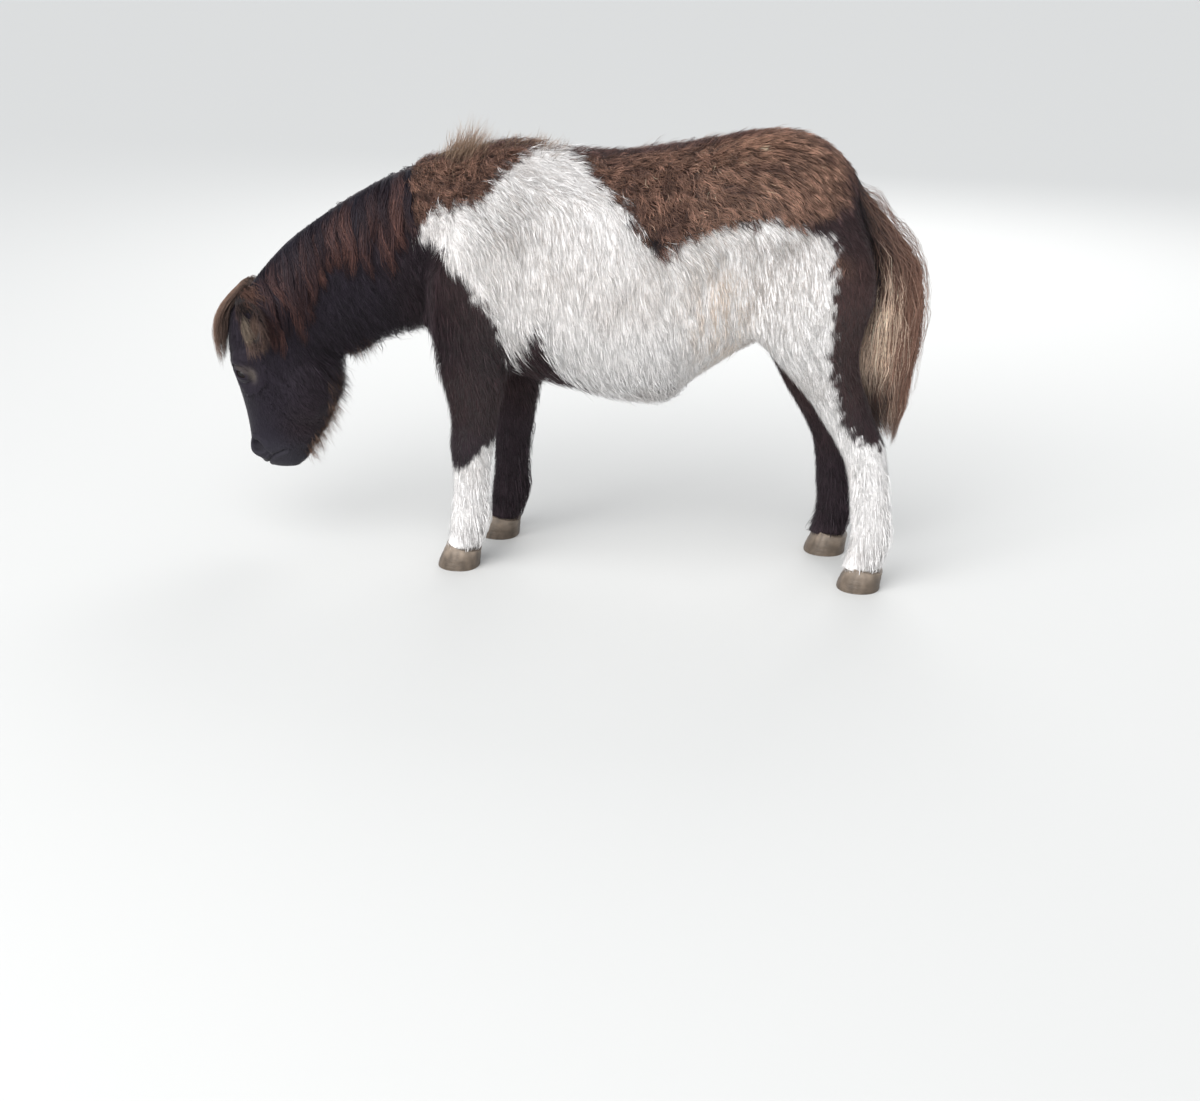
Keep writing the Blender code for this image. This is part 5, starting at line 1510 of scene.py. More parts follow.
@dataclass
class Ear:
    """The cup of one ear, thin at its rim.

    Attributes:
        side: Which ear.
        segments: Points of each ring.
        steps: Rings put between two rows of the table.
        wall: Thickness of the cup.
        outer: Colour of the skin and of the hair's roots.
        fur: How many short hairs.
        fur_tip: Their colour at the tip.
        fur_width: Width of a hair.
        inside: The two locks in the hollow: place across, as a share of the half width to the lower edge;
            place along; reach; hairs; colour at the tip.
    """

    side: Side
    segments: int = 40
    steps: int = 5
    wall: float = 0.0030
    outer: Colour = (0.010, 0.007, 0.007)
    fur: int = 1700
    fur_tip: Colour = (0.070, 0.042, 0.036)
    fur_width: float = 0.0008
    inside: tuple[tuple[Row, Row, float, int, Colour], ...] = (
        ((0.45, 0.92), (0.14, 0.58), 0.90, 240, (0.230, 0.178, 0.132)),
        ((-0.25, 0.36), (0.30, 0.85), 1.14, 320, (0.165, 0.105, 0.080)),
    )

    def frame(self) -> tuple[Vector, Vector, Vector, Vector]:
        """Finds how the ear stands.

        Returns:
            Its root, tip, axis and the way it opens.
        """
        root, tip = (Vector((x, self.side.value * y, z)) for x, y, z in (SIZES.ear_root, SIZES.ear_tip))
        axis = (tip - root).normalized()
        ox, oy, oz = SIZES.ear_opens
        opens = Vector((ox, self.side.value * oy, oz))
        return root, tip, axis, (opens - axis * opens.dot(axis)).normalized()

    def build(self) -> bpy.types.Object:
        """Makes the ear as a shell whose front is pushed into its hollow.

        Returns:
            The piece.
        """
        root, tip, axis, opens = self.frame()
        across = axis.cross(opens)
        length = (tip - root).length
        rows = between(SIZES.ear, self.steps)
        bm = bmesh.new()
        loft(bm, [
            oval_ring(root + axis * (length * s), opens, across, deep, deep, wide) for s, wide, deep in rows
        ], self.segments)
        shares, wides, deeps = np.array(rows).T
        for vert in bm.verts:
            away = vert.co - root
            s = away.dot(axis) / length
            half = max(float(np.interp(s, shares, wides)), 1e-4)
            deep = float(np.interp(s, shares, deeps))
            side_share = min(abs(away.dot(across)) / half, 1.0)
            front = away.dot(opens)
            if front > 0.15 * deep and s > 0.06:
                cup = math.sin(min(max((s - 0.05) / 0.9, 0), 1) * math.pi) ** 0.5
                floor = -math.sqrt(max(1 - side_share ** 2, 0.0)) * deep + self.wall
                vert.co -= opens * ((front - floor) * cup * (1 - side_share ** 6))
        bmesh.ops.smooth_vert(
            bm, verts=bm.verts[:], factor=0.35, use_axis_x=True, use_axis_y=True, use_axis_z=True,
        )
        mesh = settled(bm, "ear")
        paint(mesh, np.tile(self.outer, (len(mesh.vertices), 1)))
        made = new_piece(mesh, f"ear_cup_{self.side.word}", Finishes.EAR)
        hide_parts(f"ear_{self.side.word}")
        return made

    def hair(self, cup: bpy.types.Object) -> list[bpy.types.Object]:
        """Covers the ear in short fur, and lays two long locks in its hollow.

        Args:
            cup: The ear.

        Returns:
            The fur and the locks.
        """
        ground = Ground(cup)
        root, tip, axis, opens = (np.array(vector) for vector in self.frame())
        across = np.cross(axis, opens)
        length = np.linalg.norm(tip - root)
        shares, halves = np.array(SIZES.ear)[:, :2].T
        draw = np.random.default_rng(91 + self.side.value)
        at = (ground.middles - root) @ axis / length
        away = ground.middles - root - np.outer((ground.middles - root) @ axis, axis)
        edge = np.abs(away @ across) / np.maximum(np.interp(at, shares, halves), 1e-4)
        outside_cup = (ground.ways @ opens < 0.35) | (edge > 0.80) | (at < 0.14) | (at > 0.74)
        density = np.where(outside_cup, 1.0, 0.10) * (at > -0.08)
        density = density * self.fur / max((density * ground.areas).sum(), 1e-9)
        on, out = ground.nearest(ground.roots(density, 92 + self.side.value))
        s = ((on - root) @ axis / length).clip(0, 1)
        side_way = (on - root) @ across
        rim = np.abs(side_way) / np.maximum(np.interp(s, shares, halves), 1e-4) > 0.75
        ways = axis + 0.35 * out + rim[:, None] * (0.25 * np.sign(side_way)[:, None] * across + 0.15 * opens)
        lengths = np.where(rim, 0.017, 0.0125) + 0.010 * eased(0.6, 0.9, s)
        lengths *= np.exp(draw.normal(0, 0.25, len(on)))
        tips = np.array(self.fur_tip) * np.where(rim, 1.3, 0.8)[:, None]
        found = [self.strewn("fur", draw, (on, out, ways), lengths, tips, 3)]
        lower = across * -self.side.value
        for number, ((near, far), (low, high), reach, count, colour) in enumerate(self.inside):
            s = draw.uniform(low, high, count)
            places = root + np.outer(s * length, axis) + opens * 0.006
            places += np.outer(draw.uniform(near, far, count) * np.interp(s, shares, halves), lower)
            on, out = ground.nearest(places)
            out = unit(out * 0.3 + opens)
            ways = np.tile(axis, (count, 1))
            ways += (0.22 if number else 0.12) * opens + (0.10 if number else -0.12) * lower
            lengths = (reach - s) * length * draw.uniform(0.55, 1.08, count)
            tips = np.tile(colour, (count, 1))
            found.append(self.strewn(f"lock_{number + 1}", draw, (on, out, ways), lengths, tips, 5))
        return found

    def strewn(
        self, name: str, draw: np.random.Generator, grown: tuple[np.ndarray, np.ndarray, np.ndarray],
        lengths: np.ndarray, tips: np.ndarray, points: int,
    ) -> bpy.types.Object:
        """Makes hair that grows on the ear.

        Args:
            name: What the hair is called.
            draw: Seeded random numbers.
            grown: Where it grows, the ways out there and where it heads.
            lengths: Its lengths.
            tips: Its colours at the tips.
            points: Points of each hair.

        Returns:
            The piece.
        """
        on, out, ways = grown
        many = len(on)
        axis = np.array(self.frame()[2])
        ways = unit(ways + draw.normal(0, 0.11, (many, 3)))
        t = np.linspace(0, 1, points)[None, :, None]
        lines = on[:, None] - out[:, None] * 0.001 + ways[:, None] * lengths[:, None, None] * t
        lines += (axis - out * 0.3)[:, None] * (lengths[:, None, None] * 0.15 * t ** 2)
        outs = np.repeat(out[:, None], points, axis=1)
        if points > 3:
            lines = LongHair.waved(lines, outs, 0.0022, 1.0, draw.uniform(0, 2 * math.pi, many))
        tips = (tips * np.exp(draw.normal(0, 0.30, (many, 1)))).clip(0, 1)
        roots = blended(self.outer, tips, 0.1 if points == 3 else 0.35)
        s = ((on - np.array(self.frame()[0])) @ axis / 0.11).clip(0, 1)
        flat = np.stack((0.9 + 0.08 * s, 0.02 + 0.4 * draw.uniform(0, 1, many)), axis=1)
        widths = self.fur_width * np.exp(draw.normal(0, 0.2, many))
        mesh = Strands(lines, outs, widths, roots, tips, flat, blend=0.8).mesh("ear_hair")
        return new_piece(mesh, f"ear_{name}_{self.side.word}", Finishes.DARK_HAIR)


# ---------------------------------------------------------------- strands
@dataclass
class Strands:
    """Many tapered, three-sided strands, kept as arrays and made into one mesh.

    Attributes:
        lines: Points along each strand, as strand, point, coordinate.
        outs: The way out of the coat at each strand's points.
        widths: Width of each strand where it is widest.
        roots: Colour of each strand at its root.
        tips: Colour of each strand at its tip.
        flat: The root's place on the unwrap.
        blend: How quickly the root colour gives way to the tip's.
        shades: Colours of each strand's points, where they don't run evenly from root to tip.
        thick: Thickness of a strand, as a share of its width.
        full: Where along a strand it is widest.
    """

    lines: np.ndarray
    outs: np.ndarray
    widths: np.ndarray
    roots: np.ndarray
    tips: np.ndarray
    flat: np.ndarray
    blend: float = 1.0
    shades: np.ndarray | None = None
    thick: float = 0.45
    full: float = 0.35

    def mesh(self, name: str) -> bpy.types.Mesh:
        """Makes the mesh, with its colours and its bake map.

        Args:
            name: Name of the mesh.

        Returns:
            The mesh, moved to its place.
        """
        count, points, _ = self.lines.shape
        rings = points - 1
        share = np.linspace(0, 1, points)[:rings]
        taper = np.minimum(1, 0.6 + share / self.full * 0.4)
        taper *= 1 - np.maximum(0, (share - self.full) / (1 - self.full)) ** 1.5
        ahead = np.empty((count, rings, 3))
        ahead[:, 0] = self.lines[:, 1] - self.lines[:, 0]
        ahead[:, 1:] = self.lines[:, 2:] - self.lines[:, :-2]
        side = unit(np.cross(ahead, self.outs[:, :rings]))
        out = unit(np.cross(side, ahead))
        wide = (self.widths[:, None] * taper)[:, :, None]
        corners = np.stack((
            self.lines[:, :rings] - side * wide / 2,
            self.lines[:, :rings] + side * wide / 2,
            self.lines[:, :rings] + out * wide * self.thick,
        ), axis=2)
        each = rings * 3 + 1
        places = np.empty((count, each, 3))
        places[:, :-1] = corners.reshape(count, rings * 3, 3)
        places[:, -1] = self.lines[:, -1]
        faces = [(2, 1, 0)]
        for k in range(rings - 1):
            for a, b in ((0, 1), (1, 2), (2, 0)):
                low, high = 3 * k, 3 * k + 3
                faces += [(low + a, low + b, high + b), (low + a, high + b, high + a)]
        last = 3 * (rings - 1)
        faces += [(last + a, last + b, each - 1) for a, b in ((0, 1), (1, 2), (2, 0))]
        pattern = np.array(faces, dtype=np.int32)
        loops = (pattern[None] + (np.arange(count, dtype=np.int32) * each)[:, None, None]).reshape(-1)
        made = bpy.data.meshes.new(name)
        made.vertices.add(count * each)
        made.vertices.foreach_set("co", (places + np.array(SHIFT)).astype(np.float32).ravel())
        made.loops.add(len(loops))
        made.loops.foreach_set("vertex_index", loops)
        made.polygons.add(len(loops) // 3)
        made.polygons.foreach_set("loop_start", np.arange(0, len(loops), 3, dtype=np.int32))
        made.update(calc_edges=True)
        at = np.append(np.repeat(share, 3), 1.0)
        if self.shades is None:
            colours = blended(self.roots[:, None], self.tips[:, None], (at ** self.blend)[None, :, None])
        else:
            colours = self.shades[:, np.append(np.repeat(np.arange(rings), 3), rings)]
        paint(made, colours.reshape(-1, 3))
        across = np.append(np.tile((-0.5, 0.5, 0.0), rings), 0.0)
        patch = np.stack((across, at - 0.5), axis=1) * PATCH
        flat = (self.flat[:, None] + patch[None]).reshape(-1, 2)
        layer = made.uv_layers.new(name=BAKE_MAP)
        layer.data.foreach_set("uv", flat[loops].astype(np.float32).ravel())
        made.shade_smooth()
        return made


class Ground:
    """A surface, for finding where hair grows and what it lies on.

    Attributes:
        places: Its points in the drawn frame.
        corners: The points of each triangle.
        tree: The triangles in a tree.
        areas: Their areas.
        ways: The ways out of them.
        middles: Their middles.
    """

    def __init__(self, skin: bpy.types.Object) -> None:
        """Reads a piece's triangles.

        Args:
            skin: The piece.
        """
        mesh = skin.data
        mesh.calc_loop_triangles()
        self.places = coordinates(mesh) - np.array(SHIFT)
        corners = np.empty(len(mesh.loop_triangles) * 3, dtype=np.int32)
        mesh.loop_triangles.foreach_get("vertices", corners)
        self.corners = corners.reshape(-1, 3)
        self.tree = BVHTree.FromPolygons(self.places.tolist(), self.corners.tolist())
        a, b, c = (self.places[self.corners[:, k]] for k in range(3))
        cross = np.cross(b - a, c - a)
        self.areas = np.linalg.norm(cross, axis=1) / 2
        self.ways = unit(cross)
        self.middles = (a + b + c) / 3

    def roots(self, density: np.ndarray, seed: int) -> np.ndarray:
        """Scatters roots evenly by area.

        Args:
            density: Roots for each square metre, one value a triangle.
            seed: Seed of the scatter.

        Returns:
            The roots' places, one a row.
        """
        draw = np.random.default_rng(seed)
        weight = np.cumsum(self.areas * density)
        count = int(weight[-1])
        steps = (np.arange(count) + draw.uniform(0, 1, count)) * weight[-1] / count
        picks = np.minimum(np.searchsorted(weight, steps), len(self.corners) - 1)
        r1, r2 = np.sqrt(draw.uniform(0, 1, count)), draw.uniform(0, 1, count)
        a, b, c = (self.places[self.corners[picks, k]] for k in range(3))
        return a * (1 - r1)[:, None] + b * (r1 * (1 - r2))[:, None] + c * (r1 * r2)[:, None]

    def nearest(self, places: np.ndarray) -> tuple[np.ndarray, np.ndarray]:
        """Finds the nearest places on the surface.

        Args:
            places: Points in the drawn frame, one a row.

        Returns:
            The nearest places and the ways out of the surface there.
        """
        on, out = np.empty(places.shape), np.empty(places.shape)
        find = self.tree.find_nearest
        for k, place in enumerate(places.tolist()):
            on[k], out[k], _, _ = find(place)
        return on, out


@dataclass
class Coat:
    """The short and woolly coat over the whole skin, in tufts that lie along the body.

    Attributes:
        ground: The skin's surface.
        share: How many tufts, as a share of the full coat.
        under: How much thinner the coat is under the belly.
        points: Points of a short, a long and a curly tuft.
        gather: How far short, long and curly tufts lean to the middle of their lock.
        lock_step: Tufts for each lock.
        short: Tufts up to this length count as short.
        curl_size: Radius of a curl.
        curl_turns: Turns of a curl along its tuft.
        lock_varies: How much lighter and darker whole curly locks are.
        widths: Widths of short, long and curly tufts, as shares of the comb's.
        croup: Where, along x, the curls give way to the smoother hair of the croup.
        croup_calm: How much smoother the croup is.
        sink: How deep the roots lie in the skin.
        seed: Seed of the coat.
        eye_tip: Colour at the tip of the lightened hair round the eyes, partly a paler patch and partly painted
            highlight.
        eye_root: Its colour at the root.
    """

    ground: Ground
    share: float = 0.84
    under: float = 0.45
    points: tuple[int, int, int] = (2, 3, 4)
    gather: tuple[float, float, float] = (0.12, 0.22, 0.42)
    lock_step: int = 14
    short: float = 0.0400
    curl_size: float = 0.0038
    curl_turns: float = 0.85
    lock_varies: float = 0.34
    widths: tuple[float, float, float] = (1.35, 1.0, 0.78)
    croup: tuple[float, float] = (0.10, 0.24)
    croup_calm: float = 0.72
    sink: float = 0.0015
    seed: int = 3
    # Lightened hair round the eyes: a paler patch behind, and painted highlight on the fold above.
    eye_tip: Colour = (0.160, 0.134, 0.126)
    eye_root: Colour = (0.080, 0.066, 0.060)

    def build(self) -> list[bpy.types.Object]:
        """Makes the coat's pieces.

        Returns:
            The pieces.
        """
        draw = np.random.default_rng(self.seed)
        density = COMB.at(self.ground.middles)["dense"] * 1e4 * self.share
        density *= 1 + 0.05 * MARKINGS.curliness(self.ground.middles)
        density *= 1 - 0.45 * self.under_mane(self.ground.middles)
        density *= 1 - self.under * eased(0.5, 0.9, -self.ground.ways[:, 2])
        density[self.bare(self.ground.middles)] = 0
        roots = self.ground.roots(density, self.seed)
        count = len(roots)
        coat = COMB.at(roots)
        curl = MARKINGS.curliness(roots)
        calm = self.croup_calm * eased(*self.croup, roots[:, 0]) * eased(0.66, 0.74, roots[:, 2])
        rough = curl * (1 - calm)
        _, out = self.ground.nearest(roots)
        way = coat["way"]
        for axis, seed in ((0, 21), (1, 22), (2, 23)):
            way[:, axis] += 0.22 * smooth_noise(roots, 0.030, seed) + draw.normal(0, 0.15, count)
            swell = 0.65 * smooth_noise(roots, 0.022, seed + 5)
            way[:, axis] += rough * (swell + draw.normal(0, 0.30, count))
        way = unit(way - out * (way * out).sum(axis=1, keepdims=True))
        length = coat["length"] * np.exp(draw.normal(0, 0.20, count)) * (1 - 0.16 * curl)
        length *= 0.32 + 0.68 * eased(0.014, 0.042, apart_from(SIZES.eye_middle, roots))
        rise = coat["lift"] * length * np.exp(draw.normal(0, 0.25, count))
        half, half_out = self.ground.nearest(roots + way * (length * 0.5)[:, None])
        far, far_out = self.ground.nearest(roots + way * length[:, None])
        middle = half + half_out * (rise * 0.65)[:, None]
        tip = far + far_out * rise[:, None]
        pick = MARKINGS.picked(half, draw)
        kinds = np.where((curl > 0.4) & ~pick, 2, np.where(length < self.short, 0, 1))
        middle, tip, lock = self.gathered(roots, middle, tip, np.array(self.gather)[kinds])
        parts = Unwrap.parts(roots)
        flat = Unwrap.flat(roots, parts)
        shown = roots + (tip - roots) * 0.55
        dark, light = MARKINGS.tints(shown, coat["warmth"], pick, draw)
        tone = np.random.default_rng(self.seed + 2).normal(0, self.lock_varies, count)[lock]
        tone *= np.where(kinds == 2, 1.0, np.where(light.mean(axis=1) > 0.3, 0.0, 0.5))
        dark, light = ((colours * np.exp(tone)[:, None]).clip(0, 1) for colours in (dark, light))
        # Painted highlight on the fold above each eye, with the paler patch behind it, lightens the hair there.
        dark = blended(dark, self.eye_root, self.eye_light(shown)[:, None])
        light = blended(light, self.eye_tip, self.eye_light(shown)[:, None])
        widths = coat["width"] * np.exp(draw.normal(0, 0.2, count)) * np.array(self.widths)[kinds]
        phase = np.random.default_rng(self.seed + 1).uniform(0, 2 * math.pi, count)[lock]
        phase = phase + draw.normal(0, 0.60, count)
        found = []
        for name, which in self.pieces(roots, parts):
            for kind, (word, points) in enumerate(zip(("short", "long", "curly"), self.points)):
                rows = np.flatnonzero(which & (kinds == kind))
                if not len(rows):
                    continue
                line = self.bent(roots[rows] - out[rows] * self.sink, middle[rows], tip[rows], points)
                outs = np.repeat(out[rows][:, None], points, axis=1)
                if kind == 2:
                    line = self.curled(line, outs, phase[rows], rough[rows])
                found.append(self.piece(f"{name}_{word}", Strands(
                    line, outs, widths[rows], dark[rows], light[rows], flat[rows], 1.3 if kind == 2 else 0.9,
                )))
        return found

    @staticmethod
    def bare(places: np.ndarray) -> np.ndarray:
        """Finds where no coat grows: eyes, nostrils, under the mane's roots and inside the hooves.

        Args:
            places: Points in the drawn frame, one a row.

        Returns:
            Yes or no for each point.
        """
        x, _, z = places.T
        eyes = np.zeros(len(places), dtype=bool)
        for side in Side:
            local = (places - np.array(eye_frame(side).translation)) @ np.array(eye_frame(side).to_3x3())
            eyes |= (EyeLids.reach(local[:, 0], local[:, 1]) < 1.30) & (local[:, 2] > 0)
        nostrils = apart_from(SIZES.nostril_middle, places) < 0.0085
        crest = (crest_place(x)[:, 2] - z < 0.030) & (x < Mane.span[1]) & (x > -0.77) & (z > 0.45)
        return eyes | nostrils | crest | (z < SIZES.coronet_z + 0.002)

    @staticmethod
    def under_mane(places: np.ndarray) -> np.ndarray:
        """Finds how much the mane lies over the coat.

        Args:
            places: Points in the drawn frame, one a row.

        Returns:
            One share for each point, from 0 to 1.
        """
        x, y, z = places.T
        below = crest_place(x)[:, 2] - z
        reach = np.where(y < 0, 0.11, 0.05)
        return (x < Mane.span[1]) * (x > -0.70) * (1 - eased(reach - 0.02, reach + 0.02, below))

    @staticmethod
    def eye_light(places: np.ndarray) -> np.ndarray:
        """How far the skin and hair round the eyes are lightened: painted highlight along the fold above, where
        light falls from above, and a patch behind that is partly paler skin and partly painted highlight.

        Args:
            places: Points in the drawn frame, one a row.

        Returns:
            One share for each point, from 0 to 1.
        """
        x, _, z = places.T
        ex, _, ez = SIZES.eye_middle
        far = apart_from(SIZES.eye_middle, places)
        # behind: a patch that is partly paler skin and partly painted highlight; ring: painted highlight along
        # the fold above the eye, where light falls from above.
        behind = np.exp(-((x - ex - 0.0185) / 0.0065) ** 2 - ((z - ez + 0.004) / 0.0105) ** 2)
        ring = np.exp(-((far - 0.0205) / 0.0045) ** 2) * eased(0.002, 0.009, (z - ez) + 0.45 * (x - ex))
        return np.clip(0.95 * behind + 0.50 * ring, 0, 1) * (far < 0.04)

    def gathered(
        self, roots: np.ndarray, middle: np.ndarray, tip: np.ndarray, lean: np.ndarray
    ) -> tuple[np.ndarray, np.ndarray, np.ndarray]:
        """Leans the tufts together into locks.

        Args:
            roots: The tufts' roots.
            middle: Their middles.
            tip: Their tips.
            lean: How far each leans to its lock's lead.

        Returns:
            The new middles and tips, and the number of each tuft's lock.
        """
        leads = np.arange(0, len(roots), self.lock_step)
        tree = KDTree(len(leads))
        for k, lead in enumerate(leads.tolist()):
            tree.insert(roots[lead], k)
        tree.balance()
        lock = np.array([tree.find(place)[1] for place in roots.tolist()])
        lead = leads[lock]
        tip = tip + (tip[lead] - tip) * lean[:, None]
        middle = middle + (middle[lead] - middle) * (lean[:, None] * 0.45)
        return middle, tip, lock

    @staticmethod
    def bent(root: np.ndarray, middle: np.ndarray, tip: np.ndarray, count: int) -> np.ndarray:
        """Finds points along bends.

        Args:
            root: Where each bend starts.
            middle: What it passes half way.
            tip: Where it ends.
            count: How many points each gets.

        Returns:
            The points, as bend, point, coordinate.
        """
        t = np.linspace(0, 1, count)[None, :, None]
        root, middle, tip = root[:, None], middle[:, None], tip[:, None]
        return root * (1 - t) * (1 - 2 * t) + middle * 4 * t * (1 - t) + tip * t * (2 * t - 1)

    def curled(self, line: np.ndarray, out: np.ndarray, phase: np.ndarray, share: np.ndarray) -> np.ndarray:
        """Winds the lines of tufts round themselves.

        Args:
            line: The tufts' points.
            out: The ways out of the coat at them.
            phase: Where each curl starts its turn.
            share: How curly each tuft is, from 0 to 1.

        Returns:
            The tufts' new points.
        """
        t = np.linspace(0, 1, line.shape[1])
        side = unit(np.cross(line[:, 1:2] - line[:, 0:1], out[:, 0:1]))
        turn = 2 * math.pi * self.curl_turns * t[None] + phase[:, None]
        size = self.curl_size * (share[:, None] * np.minimum(1, t * 2.5)[None])
        line = line + side * (np.sin(turn) * size)[:, :, None]
        return line + out * ((1 + np.cos(turn)) * 0.5 * size)[:, :, None]

    @staticmethod
    def pieces(roots: np.ndarray, parts: np.ndarray) -> list[tuple[str, np.ndarray]]:
        """Parts the coat into pieces.

        Args:
            roots: The tufts' roots.
            parts: The number of the part of the body that each is on.

        Returns:
            The pieces' names and which roots each has.
        """
        x, y, _ = roots.T
        found = []
        for side in Side:
            here = (y < 0) == (side is Side.LEFT)
            trunk = here & (parts == Unwrap.TRUNK)
            for name, low, high in (
                ("shoulder", -9, -0.22), ("ribs", -0.22, -0.05), ("barrel", -0.05, 0.09),
                ("loin", 0.09, 0.24), ("haunch", 0.24, 9),
            ):
                found.append((f"coat_{name}_{side.word}", trunk & (x >= low) & (x < high)))
            found.append((f"coat_neck_{side.word}", here & (parts == Unwrap.NECK)))
            found.append((f"coat_head_{side.word}", here & (parts == Unwrap.HEAD)))
        legs = ("fore_left", "fore_right", "hind_left", "hind_right")
        for number, name in enumerate(legs, Unwrap.FORE_LEFT):
            found.append((f"coat_leg_{name}", parts == number))
        return found

    @staticmethod
    def piece(name: str, strands: Strands) -> bpy.types.Object:
        """Makes one piece of coat, light or dark by the colour of its tips.

        Args:
            name: Name of the piece.
            strands: Its strands.

        Returns:
            The piece.
        """
        finish = Finishes.HAIR if strands.tips.mean() > 0.25 else Finishes.DARK_HAIR
        return new_piece(strands.mesh(name), name, finish)


# ---------------------------------------------------------------- long hair
@dataclass
class LongHair:
    """Long strands that start from rows of roots and lie on the skin.

    Attributes:
        ground: The skin's surface.
        width: Width of a strand.
        width_varies: How much the strands differ in width.
    """

    ground: Ground
    width: float = 0.0011
    width_varies: float = 0.25

    def lying(
        self, starts: np.ndarray, ways: np.ndarray, lengths: np.ndarray, heights: np.ndarray, droop: float,
        points: int, rise: float = 0.5, fall: float = 0.35,
    ) -> tuple[np.ndarray, np.ndarray]:
        """Lays strands on the skin, step by step.

        Args:
            starts: Where the strands start.
            ways: Where they head.
            lengths: Their lengths.
            heights: How high each lies over the skin, from its root on.
            droop: How much they turn down on their way.
            points: Points of each strand.
            rise: The share of its length over which a strand rises to its height.
            fall: How much of that height it loses from there to its tip.

        Returns:
            The strands' points and the ways out of the skin at them.
        """
        lines, outs = np.empty((len(starts), points, 3)), np.empty((len(starts), points, 3))
        place, out = self.ground.nearest(starts)
        step = (lengths / (points - 1))[:, None]
        for k in range(points):
            t = k / (points - 1)
            high = eased(0.0, rise, t) * (1 - fall * eased(rise, 1.0, t))
            lines[:, k] = place + out * (heights * high - 0.003 * (k == 0))[:, None]
            outs[:, k] = out
            heading = unit(ways) - np.array((0, 0, 1)) * (droop * t)
            heading = unit(heading - out * (heading * out).sum(axis=1, keepdims=True))
            place, out = self.ground.nearest(place + heading * step)
        return lines, outs

    @staticmethod
    def locked(
        lines: np.ndarray, group: np.ndarray, lean: float | np.ndarray, power: float = 0.8
    ) -> np.ndarray:
        """Leans each strand to the mean of its lock, more towards the tip.

        Args:
            lines: The strands' points.
            group: The number of each strand's lock.
            lean: How far the tips lean, for all or for each strand.
            power: How late along the strands the lean sets in.

        Returns:
            The strands' new points.
        """
        count = group.max() + 1
        mean = np.zeros((count, *lines.shape[1:]))
        np.add.at(mean, group, lines)
        mean /= np.maximum(np.bincount(group, minlength=count), 1)[:, None, None]
        t = np.linspace(0, 1, lines.shape[1])[None, :, None] ** power
        return lines + (mean[group] - lines) * (np.reshape(lean, (-1, 1, 1)) * t)

    @staticmethod
    def waved(
        lines: np.ndarray, outs: np.ndarray, size: float, turns: float, phase: np.ndarray
    ) -> np.ndarray:
        """Gives strands a wave to the side that grows towards the tip.

        Args:
            lines: The strands' points.
            outs: The ways out of the skin at them.
            size: How far the wave goes.
            turns: How many waves a strand has.
            phase: Where each strand starts its wave.

        Returns:
            The strands' new points.
        """
        t = np.linspace(0, 1, lines.shape[1])
        side = unit(np.cross(lines[:, 1:2] - lines[:, 0:1], outs[:, 0:1]))
        wave = np.sin(2 * math.pi * turns * t[None] + phase[:, None]) * size * t[None]
        return lines + side * wave[:, :, None]

    def grown(
        self, name: str, lines: np.ndarray, outs: np.ndarray, colours: tuple[np.ndarray | Colour, np.ndarray],
        draw: np.random.Generator, finish: Finish = Finishes.LONG_HAIR, share: float | np.ndarray = 1.0,
        flat: np.ndarray | None = None, **looks: float | np.ndarray,
    ) -> bpy.types.Object:
        """Makes one piece of long hair.

        Args:
            name: Name of the piece.
            lines: The strands' points.
            outs: The ways out of the skin at them.
            colours: The strands' colours at the root and at the tip.
            draw: Seeded random numbers.
            finish: The piece's finish.
            share: The strands' width, as a share of the usual width.
            flat: The roots' places on the unwrap, if they aren't the skin's.
            looks: What the strands' blend or shades are.

        Returns:
            The piece.
        """
        if flat is None:
            flat = Unwrap.spots(lines[:, 0])
        widths = self.width * share * np.exp(draw.normal(0, self.width_varies, len(lines)))
        roots, tips = (np.broadcast_to(ends, (len(lines), 3)).clip(0, 1) for ends in colours)
        return new_piece(Strands(lines, outs, widths, roots, tips, flat, **looks).mesh(name), name, finish)


def crest_place(x: np.ndarray) -> np.ndarray:
    """Finds places on the neck's crest.

    Args:
        x: The places' x.

    Returns:
        The places in the drawn frame, one a row.
    """
    tops = []
    for mx, mz, deep, _, tilt in between(SIZES.neck, 6):
        a = math.radians(tilt)
        tops.append((mx - math.sin(a) * deep, mz + math.cos(a) * deep))
    tops.sort()
    xs, zs = zip(*tops)
    return np.stack((x, np.zeros_like(x), np.interp(x, xs, zs)), axis=1)


